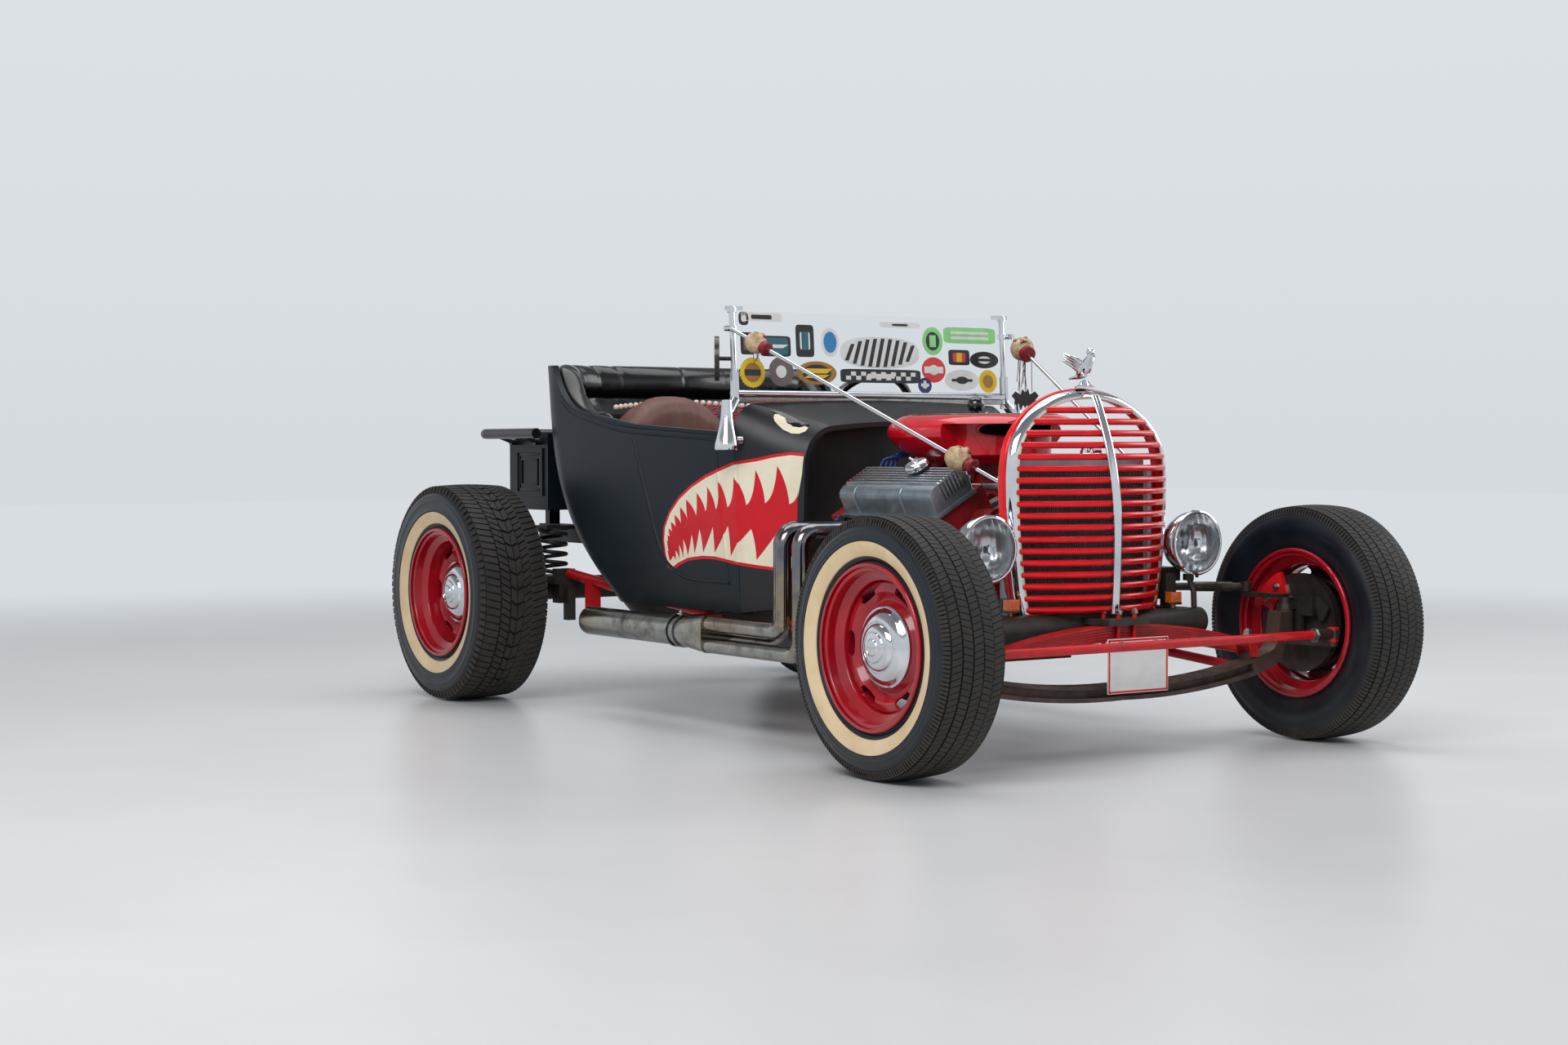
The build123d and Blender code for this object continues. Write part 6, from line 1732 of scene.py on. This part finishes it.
def cushion_seam(place, normal):
    """Seams along the cushion and a dip between the two seats."""
    dip = exp(-(place.x / 0.02) ** 2) * 1.5
    return (groove(place.x - 0.03, 0.06, 0.0065) + dip) if normal.z > -0.3 else 0.0


def upholster(name, cells, seam, depth, skin, pressure, reach):
    """Replaces a plain CAD pad by a stitched one."""
    mesh = even_mesh(name, cells)
    soften(mesh, 4)
    sink_seams(mesh, seam, depth)
    soften(mesh, 1)
    inflate(mesh, pressure, 12, reach)
    mesh.materials.clear()
    mesh.materials.append(skin)
    smooth_mesh(mesh, 80)
    piece = show(name + "_look", mesh, "chassis", [name])
    return piece


upholster("seat_backs", 0.0085, back_seam, 0.0024, SEAT_VINYL, 3.0, 0.005)
upholster("seat_cushion", 0.0095, cushion_seam, 0.007, SEAT_VINYL, 2.5, 0.003)

# %% cockpit roll: a fat roll that runs round inside the tub's edge, tucked at the corners
PAD_FACES = search_tree([nodes["cockpit_pad"].data])
PAD_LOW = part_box("cockpit_pad")[0]
CABIN_Y = PAD_LOW.y + 0.05
WALL_LOW, WALL_HIGH = 0.875, 0.925  # heights at which the wall is measured
ROLL_SECTION = [(0.001, 0.4), (0.001, 0.034), (0.005, 0.014), (0.016, 0.003), (0.032, 0.0),
    (0.052, 0.004), (0.068, 0.015), (0.079, 0.033), (0.083, 0.054), (0.08, 0.076), (0.07, 0.094),
    (0.056, 0.103), (0.05, 0.11), (0.054, 0.122), (0.058, 0.15), (0.06, 0.4)]


def way_at(angle):
    """Level direction from the cabin's middle."""
    return Vector((-cos(angle), sin(angle), 0))


def wall_at(angle, height):
    """How far the pad's outer face is from the cabin's middle in one direction."""
    way = way_at(angle)
    inner = PAD_FACES.ray_cast(Vector((0, CABIN_Y, height)), way)
    outer = PAD_FACES.ray_cast(inner[0] + way * 0.001, way)
    return inner[3] + outer[3] + 0.001


def roll_measures(angle):
    """The wall's distance low down, its lean, and the height of the pad's top in one direction."""
    low = wall_at(angle, WALL_LOW)
    spot = way_at(angle) * (low - 0.03)
    top = PAD_FACES.ray_cast(Vector((spot.x, spot.y + CABIN_Y, 1.3)), Vector((0, 0, -1)))[0].z
    return Vector((low, (wall_at(angle, WALL_HIGH) - low) / (WALL_HIGH - WALL_LOW), top))


def roll_ring(angle, low, slope, top):
    """One section of the roll."""
    turned = min(angle, pi - angle)
    corner = max(0.0, 1 - abs(degrees(turned) - 37) / 22)
    fold = corner ** 0.7 * groove(turned, radians(8.5), radians(1.7))
    fold += 0.3 * groove(angle - pi / 2, radians(34), radians(1.8)) * (corner == 0)
    wave = 0.001 * sin(angle * 11)
    ring = []
    for deep, down in ROLL_SECTION:
        height = max(PAD_LOW.z, top - down - 0.003 * fold * (down < 0.05))
        swell = min(1.0, deep / 0.03) * (0.008 * fold * (down < 0.12) - wave)
        away = low + slope * (height - WALL_LOW) - max(0.001, deep - swell)
        ring.append(Vector((0, CABIN_Y, height)) + way_at(angle) * away)
    return ring


TURNS = 420
SMOOTHINGS = 90
START = radians(-5.0)
angles = [START + (pi - 2 * START) * step / TURNS for step in range(TURNS + 1)]
walls = [roll_measures(angle) for angle in angles]
for _ in range(SMOOTHINGS):
    walls = [walls[0]] + [(a + 2 * b + c) / 4 for a, b, c in zip(walls, walls[1:],
        walls[2:])] + [walls[-1]]
roll = Shape()
roll.grid([roll_ring(angle, *wall) for angle, wall in zip(angles, walls)], closed=True, ends=True)


def finer(modifier):
    """One level of subdivision."""
    modifier.levels = modifier.render_levels = 1


mesh = smooth_mesh(run_modifier(make_mesh("cockpit_pad_look", roll, [ROLL_VINYL]), "SUBSURF", finer),
    80)
piece = show("cockpit_pad_look", mesh, "chassis", ["cockpit_pad"])

# %% bead string behind the near seat and over the far one, with its fringe
string = smooth_line([at(*place) for place in ((-0.372, 1.985, 0.948), (-0.31, 2.0, 0.954),
    (-0.205, 2.004, 0.962), (-0.09, 1.975, 0.966), (-0.02, 1.92, 0.96), (0.06, 1.868, 0.953),
    (0.2, 1.847, 0.95), (0.36, 1.851, 0.946))], 0.02)
thread = bpy.data.meshes.new("thread")
thread.from_pydata(string, [(i, i + 1) for i in range(len(string) - 1)], [])
pale = run_tree(BEADS, thread, {"Spacing": 0.0215, "Bead Radius": 0.0094, "Material": BEAD_PALE}, 60)
fringe = [point for point in string if -0.09 < point.x < 0.16]
red_points = []
red_edges = []
for number in range(2 * len(fringe)):
    share = number / (2 * len(fringe) - 1)
    top = fringe[min(number // 2, len(fringe) - 1)] + Vector((0.005 * (number % 2), -0.006, -0.006))
    drop = 0.018 + 0.062 * (1 - abs(2 * share - 1)) - 0.012 * (number % 3 == 1)
    base = len(red_points)
    for part in range(4):
        red_points.append(top + Vector((0.004 * sin(number + part * 2.0), -0.004 * part,
            -drop * part / 3)))
        if part:
            red_edges.append((base + part - 1, base + part))
net = bpy.data.meshes.new("net")
net.from_pydata(red_points, red_edges, [])
red = run_tree(BEADS, net, {"Spacing": 0.008, "Bead Radius": 0.0044, "Material": BEAD_RED}, 60)
show("bead_string", join_meshes("bead_string", [pale, red]), "chassis")

# %% cabin trim: wheel spokes, lining, gauges, pedals, lever
COLUMN_TILT = radians(26)
SPOKE_REACH = 0.152
LINING_TOP = 0.9
ring = nodes["steering_wheel"].data
hub = at(0.215, 1.43, 0.892)
shaft = Vector((0, cos(COLUMN_TILT), sin(COLUMN_TILT)))
ring.materials.append(CHROME)
for face in ring.polygons:
    off = face.center - hub
    if (off - shaft * off.dot(shaft)).length < SPOKE_REACH:
        face.material_index = 1
tub = nodes["body_tub"].data
tub.materials.append(ROLL_VINYL)
for face in tub.polygons:
    outward = Vector((face.center.x, max(0.0, face.center.y - behind(1.85)), 0))
    if face.normal.dot(outward) < -0.02 and abs(face.normal.z) < 0.75 and face.center.z < LINING_TOP:
        face.material_index = 1


def dial_way(degree):
    """Direction of a gauge's mark or needle."""
    return Vector((-cos(radians(degree)), 0, sin(radians(degree))))


trim = Shape()
panel_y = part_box("dashboard")[1].y
for x, radius in ((-0.285, 0.028), (-0.205, 0.028), (-0.125, 0.028), (-0.045, 0.028), (0.055, 0.046)):
    spot = Vector((x, panel_y, 0.835))
    trim.skin = 0
    trim.turn([(-0.004, 0.0), (-0.004, radius + 0.006), (0.002, radius + 0.006),
        (0.005, radius + 0.003), (0.0045, radius), (0.0015, radius - 0.001)], spot, BACK, 36)
    trim.skin = 1
    trim.turn([(0.0015, radius - 0.001), (0.0018, 0.006)], spot, BACK, 36)
    trim.skin = 2
    trim.turn([(0.0018, 0.006), (0.0036, 0.0045), (0.0038, 0.0)], spot, BACK, 16)
    for mark in range(9):
        way = dial_way(215 - mark * 31)
        start_at = spot + Vector((0, 0.0022, 0)) + way * radius * 0.72
        trim.tube([start_at, start_at + way * radius * 0.18], 0.0009, 4)
    pin = spot + Vector((0, 0.003, 0))
    trim.tube([pin, pin + dial_way(150) * radius * 0.8], [0.0016, 0.0005], 6)
trim.skin = 0
for x in (0.115, 0.145):
    trim.turn([(0, 0.007), (0.006, 0.006), (0.01, 0.003), (0.022, 0.003), (0.023, 0.0)],
        (x, panel_y, 0.79), BACK, 14)
floor_top = 0.388
trim.tube([at(0.0, 1.27, floor_top - 0.004), at(0.0, 1.285, 0.5), at(0.004, 1.33, 0.62)], 0.0062, 12)
trim.turn([(0, 0.05), (0.006, 0.048), (0.022, 0.026), (0.04, 0.012)], at(0, 1.262, floor_top),
    (0, 0.05, 1), 24)
trim.skin = 2
trim.ball(at(0.004, 1.336, 0.64), 0.023, 1.0, UP, 24)
for x, wide in ((0.105, 0.03), (0.185, 0.034), (0.29, 0.024)):
    trim.skin = 0
    trim.tube([at(x, 1.012, 0.6), at(x, 1.03, 0.52), at(x, 1.068, 0.475)], 0.0065, 10)
    trim.skin = 2
    trim.block(at(x - wide, 1.062, 0.44), at(x + wide, 1.078, 0.505), 0.005)
build("cabin_trim", trim, [CHROME, EYE_WHITE, GLOSS_BLACK], "chassis")

# %% [markdown]
# ## Windscreen, stays and small fittings
# The stickers on the glass are plain coloured shapes without letters. The heads on the stays are
# carved knobs with red necks and hanging strings. Nuts, boots, calipers and coil springs finish the
# running gear.

# %% stickers on the glass
def sticker_colour(name, colour):
    """A printed vinyl colour."""
    worn = tuple(min(255, value + 10) for value in colour)
    return finish(name, colour, worn, 0.35, 30, 800, 0.00002, scratch=(0.15, worn))


STICKER_SKINS = [sticker_colour("sticker_" + name, colour) for name, colour in (("black", (22, 24, 26)),
    ("pale", (214, 216, 214)), ("yellow", (214, 178, 22)), ("teal", (38, 92, 104)),
    ("blue", (40, 122, 178)), ("gold", (150, 106, 40)), ("red", (206, 48, 50)),
    ("green", (132, 204, 128)), ("navy", (36, 40, 96)), ("grey", (96, 84, 84)))]
BLACK, PALE, YELLOW, TEAL, BLUE, GOLD, RED, GREEN, NAVY, GREY = range(10)
STICKERS = [
    # x, z, half width, half height, corner power, colour, inner colour, inner share, scallops
    (-0.4, 1.196, 0.066, 0.012, 8, PALE, BLACK, 0.5, 0),
    (-0.462, 1.19, 0.016, 0.018, 3, BLACK, PALE, 0.5, 0),
    (-0.355, 1.112, 0.05, 0.028, 8, BLACK, TEAL, 0.82, 0),
    (-0.452, 1.118, 0.022, 0.03, 8, BLACK, GREY, 0.6, 0),
    (-0.25, 1.13, 0.03, 0.044, 8, BLACK, PALE, 0.55, 0),
    (-0.16, 1.128, 0.03, 0.04, 2, PALE, BLUE, 0.72, 0),
    (-0.438, 1.034, 0.042, 0.042, 2, YELLOW, GOLD, 0.62, 28),
    (-0.338, 1.038, 0.04, 0.04, 2, GREY, PALE, 0.42, 0),
    (-0.212, 1.036, 0.066, 0.032, 2, GOLD, BLACK, 0.72, 0),
    (0.022, 1.1, 0.136, 0.044, 2.6, PALE, PALE, 0.9, 0),
    (0.022, 1.03, 0.138, 0.019, 9, BLACK, PALE, 0.34, 0),
    (0.1, 1.186, 0.07, 0.008, 4, PALE, BLACK, 0.4, 0),
    (0.222, 1.14, 0.036, 0.04, 2, GREEN, BLACK, 0.66, 0),
    (0.366, 1.16, 0.094, 0.023, 7, GREEN, GREEN, 0.8, 0),
    (0.222, 1.052, 0.042, 0.036, 2, RED, PALE, 0.4, 0),
    (0.322, 1.092, 0.038, 0.022, 7, BLACK, RED, 0.6, 0),
    (0.42, 1.086, 0.052, 0.024, 2, BLACK, PALE, 0.45, 0),
    (0.33, 1.022, 0.062, 0.03, 2, PALE, BLACK, 0.35, 0),
    (0.432, 1.02, 0.034, 0.034, 2, YELLOW, GOLD, 0.55, 20),
    (0.186, 1.004, 0.024, 0.022, 2, NAVY, PALE, 0.4, 0),
]
GLASS_FOOT = 0.983
SCREEN_LOW = at(0, 1.083, GLASS_FOOT)
SCREEN_WAY = Vector((0, 0.018, 0.262)).normalized()
SCREEN_OUT = Vector((0, -SCREEN_WAY.z, SCREEN_WAY.y))
PRINT_SCALE = 1.08


def on_glass(x, z, level):
    """A place on the leaning glass, a little in front of it."""
    return SCREEN_LOW + SCREEN_WAY * (z - GLASS_FOOT) + SCREEN_OUT * level + Vector((x, 0, 0))


stuck = Shape()
for x, z, wide, tall, power, colour, inner, share, scallops in STICKERS:
    for level, scale, skin in ((0.0036, 1.0, colour), (0.004, share, inner)):
        ring = []
        for step, (cosine, sine) in enumerate(circle(56)):
            notch = 0.93 if scallops and step % 2 and scale == 1.0 else 1
            reach = scale * notch * PRINT_SCALE
            ring.append(on_glass(x + squared(cosine, 2 / power) * wide * reach, z + squared(sine,
                2 / power) * tall * reach, level))
        stuck.skin = skin
        stuck.plate(ring, SCREEN_OUT * 0.0003)
PRINTED = [(0.022 + 0.028 * (k - 4), 1.1, 0.0068, 0.043 * sqrt(1 - ((k - 4) / 4.9) ** 2), 0.012,
    BLACK) for k in range(9)]
PRINTED += [(0.022 + 0.0185 * (k - 6.5), 1.03 + (0.0062 if k % 2 else -0.0062), 0.009, 0.006, 0,
    PALE) for k in range(14)]
PRINTED += [(0.186 + 0.01 * (k - 1), 1.01 + (0.0045 if k % 2 else -0.0045), 0.005, 0.0045, 0,
    PALE) for k in range(3)]
PRINTED += [(0.222, 1.052, 0.036, 0.01, 0, PALE), (-0.438, 1.034, 0.028, 0.009, 0, BLACK),
    (-0.212, 1.042, 0.046, 0.007, 0.01, YELLOW), (-0.212, 1.026, 0.036, 0.005, 0.01, YELLOW),
    (-0.355, 1.112, 0.036, 0.005, 0.01, PALE), (0.366, 1.168, 0.074, 0.004, 0, PALE),
    (0.366, 1.152, 0.074, 0.004, 0, PALE), (-0.25, 1.13, 0.012, 0.026, 0, TEAL), (0.42, 1.086, 0.03,
    0.004, 0, BLACK), (0.33, 1.022, 0.04, 0.004, 0, BLACK), (0.322, 1.092, 0.01, 0.014, 0, YELLOW),
    (0.222, 1.14, 0.012, 0.018, 0, GREEN)]
for x, z, wide, tall, slant, skin in PRINTED:
    stuck.skin = skin
    stuck.plate([on_glass(x + out * wide + up * slant, z + up * tall, 0.0044) for out, up in ((-1, -1),
        (1, -1), (1, 1), (-1, 1))], SCREEN_OUT * 0.0003)
build("screen_stickers", stuck, STICKER_SKINS, "chassis")

# %% screen feet, hinges and mirror face
feet = Shape()
for side in SIDES:
    feet.skin = 0
    feet.turn([(-0.05, 0.0), (-0.048, 0.0145), (-0.03, 0.016), (0.0, 0.018), (0.03, 0.023),
        (0.058, 0.03), (0.078, 0.035), (0.09, 0.036), (0.096, 0.0345), (0.097, 0.0)], at(side * 0.5365,
        1.068, 0.905), (side * 0.03, -0.05, -1), 40)
    feet.turn([(0.0, 0.0), (0.0, 0.016), (0.004, 0.016), (0.006, 0.0105), (0.013, 0.01), (0.014, 0.0)],
        at(side * 0.5505, 1.062, 0.842), (side, 0, 0), 6)
    for height in (0.972, 1.16, 1.214):
        spot = at(side * 0.498, 1.083 + (height - 0.94) * 0.0632, height)
        feet.collar(spot, (0, 0.063, 1), 0.007, 0.0, 0.0135, 24)
    feet.ball(at(side * 0.498, 1.1015, 1.2195), 0.0105, 0.55, UP, 20)
feet.skin = 1
feet.block(at(-0.487, 1.078, 0.948), at(0.487, 1.094, 0.9745), 0.0025)
build("screen_feet", feet, [CHROME, BRIGHT_STEEL], "chassis")
turned = Vector((0.85, -0.53, 0)).normalized()
glass = nodes["mirror"].data
glass.materials[0] = RAIL_BLACK
glass.materials.append(CHROME)
mirror_middle = at(-0.548, 1.102, 1.073)
for face in glass.polygons:
    off = face.center - mirror_middle
    inner = (off - turned * off.dot(turned)).length < 0.066 and face.normal.dot(turned) > 0.9
    face.material_index = 1 if inner or off.length > 0.07 else 0

# %% carved heads on the stays
STAY_TOP = at(0.518, 1.078, 1.16)
STAY_FOOT = at(0.2646, 0.165, 0.722)
HEADS = [(-1, 0.11, 0.042, 0.031), (-1, 0.862, 0.048, 0.034), (1, 0.1, 0.042, 0.037)]
heads = Shape()
for side, share, half, radius in HEADS:
    flip = Vector((side, 1, 1))
    top, foot = STAY_TOP * flip, STAY_FOOT * flip
    way = (foot - top).normalized()
    centre = top.lerp(foot, share)
    heads.skin = 0
    heads.turn([(half * along, radius * out) for along, out in ((-1, 0.0), (-0.93, 0.35), (-0.75, 0.68),
        (-0.45, 0.93), (-0.1, 1), (0.2, 0.9), (0.42, 0.66), (0.5, 0.56))], centre, way, 32)
    heads.skin = 1
    heads.turn([(half * along, radius * out) for along, out in ((0.48, 0.5), (0.56, 0.62), (0.66, 0.52),
        (0.82, 0.56), (0.98, 0.68), (1.04, 0.6), (1.0, 0.0))], centre, way, 28)
    front = Vector((-side * 0.2, -0.55, -0.1))
    front = (front - way * front.dot(way)).normalized()
    cheek = way.cross(front)
    heads.skin = 0
    heads.ball(centre + front * radius * 0.98 + way * half * 0.02, radius * 0.17, 1.3, way, 12)
    for flank in SIDES:  # eyes under brows
        spot = centre + front * radius * 0.84 + cheek * flank * radius * 0.42 - way * half * 0.18
        heads.skin = 2
        heads.ball(spot, radius * 0.15, 0.6, front, 12)
        heads.skin = 0
        heads.tube([spot - way * radius * 0.2 - cheek * radius * 0.2, spot - way * radius * 0.28,
            spot - way * radius * 0.2 + cheek * radius * 0.2], radius * 0.07, 8)
    heads.skin = 1
    spot = centre + front * radius * 0.86 + way * half * 0.3
    heads.tube([spot - cheek * radius * 0.28, spot + front * radius * 0.05,
        spot + cheek * radius * 0.28], radius * 0.06, 8)
    heads.skin = 3
    random.seed(7)
    for strand in range(9 if side > 0 else 4):
        start_at = centre + Vector((random.uniform(-0.02, 0.02), random.uniform(-0.02, 0.02),
            -radius * 0.8))
        length = random.uniform(0.04, 0.11) if side > 0 else random.uniform(0.015, 0.035)
        sway = Vector((random.uniform(-0.012, 0.012), random.uniform(-0.012, 0.012), 0))
        heads.tube([start_at, start_at + sway * 0.4 + Vector((0, 0, -length * 0.5)),
            start_at + sway + Vector((0, 0, -length))], 0.0011, 6)
charm = STAY_TOP.lerp(STAY_FOOT, 0.1) + Vector((0.004, -0.006, -0.15))
heads.skin = 3
heads.tube([charm + Vector((0, 0, 0.115)), charm + Vector((0, 0, 0.01))], 0.0012, 6)
heads.skin = 2
wing = [(0.0, 0.018), (0.009, 0.03), (0.014, 0.012), (0.03, 0.022), (0.042, 0.008), (0.032, -0.004),
    (0.034, -0.02), (0.02, -0.016), (0.014, -0.038), (0.006, -0.02), (0.0, -0.03)]
outline = wing + [(-x, z) for x, z in reversed(wing[1:-1])]
heads.plate([charm + Vector((x * 0.83, -x * 0.56, z)) for x, z in outline], (0.0017, 0.0025, 0))
build("stay_head_look", heads, [HEAD_CREAM, HEAD_RED, RAIL_BLACK, STRING], "chassis",
    ["stay_heads"], smooth=60)

# %% coil springs, bed planks, tail lamps
SPRING_X, SPRING_BACK = 0.408, 2.35
springs = []
for side in SIDES:
    blank = bpy.data.meshes.new("blank")
    springs.append(run_tree(COIL, blank, {"Turns": 4.6, "Coil Radius": 0.0445, "Height": 0.15,
        "Wire Radius": 0.0068, "Foot": at(side * SPRING_X, SPRING_BACK, 0.396),
        "Material": CHASSIS_PAINT}, 60))
ends = Shape()
for side in SIDES:
    for height in (0.388, 0.548):
        ends.collar(at(side * SPRING_X, SPRING_BACK, height), UP, 0.003, 0.0, 0.053, 36)
springs.append(make_mesh("spring_ends", ends, [CHASSIS_PAINT]))
show("coil_springs", join_meshes("coil_springs", springs), "chassis", ["rear_springs"])
plank = Shape()
plank.block(at(-0.4335, 2.3185, 0.6282), at(-0.3145, 2.5515, 0.6315), 0.0012)
show("bed_planks", run_tree(ALONG, make_mesh("plank", plank, [TIMBER]), {"Count": 7, "Step": (0.1246, 0,
    0), "Material": TIMBER}), "chassis")
tails = Shape()
for side in SIDES:
    spot = at(side * 0.37, 2.57, 0.735)
    tails.skin = 0
    tails.turn([(-0.001, 0.0), (-0.001, 0.0415), (0.012, 0.0415), (0.016, 0.0405), (0.018, 0.0375),
        (0.016, 0.0355)], spot, BACK, 44)
    tails.skin = 1
    tails.turn([(0.016, 0.0358), (0.02, 0.033), (0.0195, 0.03), (0.0215, 0.027), (0.021, 0.0235),
        (0.023, 0.02), (0.0225, 0.0165), (0.0245, 0.012), (0.0255, 0.0)], spot, BACK, 44)
build("tail_lamp_look", tails, [CHROME, RED_LENS], "chassis", ["tail_lamps"])

# %% stepped panels on the bed's sides and lines between the spring's leaves
PRESS_BACK, PRESS_HEIGHT = 2.425, 0.738
press = Shape()
for side in SIDES:
    for long, tall, rise, wide in ((0.158, 0.128, 0.003, 0.01), (0.118, 0.088, 0.0045, 0.005)):
        x_low, x_high = sorted((side * 0.4515, side * (0.452 + rise)))
        long, tall = long / 2, tall / 2
        for low_y, high_y, low_z, high_z in ((-long, long, tall - wide, tall), (-long, long, -tall,
                wide - tall), (-long, wide - long, -tall, tall), (long - wide, long, -tall, tall)):
            press.block(at(x_low, PRESS_BACK + low_y, PRESS_HEIGHT + low_z),
                at(x_high, PRESS_BACK + high_y, PRESS_HEIGHT + high_z), 0.0012)
build("bed_side_panels", press, [TUB_PAINT], "chassis")
lines = Shape()
LEAVES = (0.452, 0.4, 0.345, 0.29, 0.235, 0.18)
for number, half in enumerate(LEAVES[1:]):
    for flank in SIDES:
        path = [at(x, flank * 0.0226, 0.35 - 0.007 * (number + 1) - 0.062 * (x / LEAVES[0]) ** 2) for x
            in (half * (step / 16 - 1) for step in range(33))]
        lines.tube(path, 0.0011, 6)
lines.skin = 1
for x in (-0.028, 0.028):
    for flank in SIDES:
        hex_at = at(x, flank * 0.0292, 0.38)
        lines.turn([(0, 0.0105), (0.0015, 0.0105), (0.0015, 0.0085), (0.0095, 0.0085), (0.0103, 0.006),
            (0.014, 0.0058), (0.0145, 0.0)], hex_at, UP, 6)
build("leaf_lines", lines, [CHASSIS_PAINT, BRIGHT_STEEL], "chassis")

# %% running gear: joint boots, nuts, clamps and calipers
def hex_nut(shape, place, direction, across, tall):
    """A nut with its washer and bolt end."""
    shape.turn([(0, across * 1.25), (0.0015, across * 1.25), (0.0015, across), (tall, across),
        (tall + 0.0008, across * 0.85), (tall + 0.0008, across * 0.55), (tall + 0.005, across * 0.5),
        (tall + 0.005, 0.0)], place, direction, 6)


rod_ends = Shape()
for side in SIDES:
    spot = at(side * 0.642, -0.15, 0.306)
    rod_ends.skin = 0
    rod_ends.turn([(-0.012, 0.0), (-0.012, 0.017), (0.01, 0.017), (0.012, 0.0)], spot, UP, 24)
    inner_end = spot + Vector((-side * 0.07, 0, 0))
    rod_ends.tube([spot + Vector((-side * 0.012, 0, 0)), inner_end], 0.0152, 18)
    rod_ends.skin = 1
    hex_nut(rod_ends, inner_end, (-side, 0, 0), 0.0175, 0.012)
build("tie_rod_ends", rod_ends, [DARK_STEEL, BRIGHT_STEEL], "tie_rod")

gear = Shape()
for side in SIDES:
    gear.skin = 0
    for spot, way, across, tall in ((at(side * 0.47, 0.0, 0.302), UP, 0.012, 0.012),
            (at(-0.028, side * 0.0288, 0.29), (0, 0, -1), 0.0085, 0.008),
            (at(0.028, side * 0.0288, 0.29), (0, 0, -1), 0.0085, 0.008), (at(side * 0.336, 0.941, 0.34),
            (side, 0, 0), 0.011, 0.01), (at(side * 0.615, 1.193, 0.334), UP, 0.0075, 0.009)):
        hex_nut(gear, spot, way, across, tall)
    gear.skin = 1
    for distance in (1.176, 1.21):
        gear.collar(at(side * 0.615, distance, 0.287), BACK, 0.006, 0.0445, 0.0475, 40)
    for port in (0.735, 0.655, 0.575):
        gear.collar(at(side * 0.356, port, 0.592), (side, 0, 0), 0.004, 0.0225, 0.0345, 6)
build("running_gear_nuts", gear, [BRIGHT_STEEL, HEADER_STEEL], "chassis", smooth=25)


def round_axle(degree, radius, across):
    """A step from the wheel's middle to a place round it."""
    return Vector((across, cos(radians(degree)) * radius, sin(radians(degree)) * radius))


for side, name in ((1, "left"), (-1, "right")):
    grip = Shape()
    axle = at(side * 0.677, 0.0, 0.327)
    for low_angle, high_angle, inner, outer, skin, wide in ((20, 68, 0.086, 0.15, 0, 0.03),
            (12, 26, 0.07, 0.112, 1, 0.018), (62, 76, 0.07, 0.112, 1, 0.018)):
        grip.skin = skin
        turns = range(low_angle, high_angle + 1, 6)
        ring = [axle + round_axle(angle, outer, -side * wide) for angle in turns]
        turns = range(high_angle, low_angle - 1, -6)
        ring += [axle + round_axle(angle, inner, -side * wide) for angle in turns]
        grip.plate(ring, (side * (wide - 0.013), 0, 0), 0.003)
    grip.skin = 1
    for angle in (32, 56):
        hex_nut(grip, axle + round_axle(angle, 0.118, -side * 0.03), (-side, 0, 0), 0.009, 0.008)
    build("caliper_" + name, grip, [GEAR_RED, BRIGHT_STEEL], "knuckle_" + name)
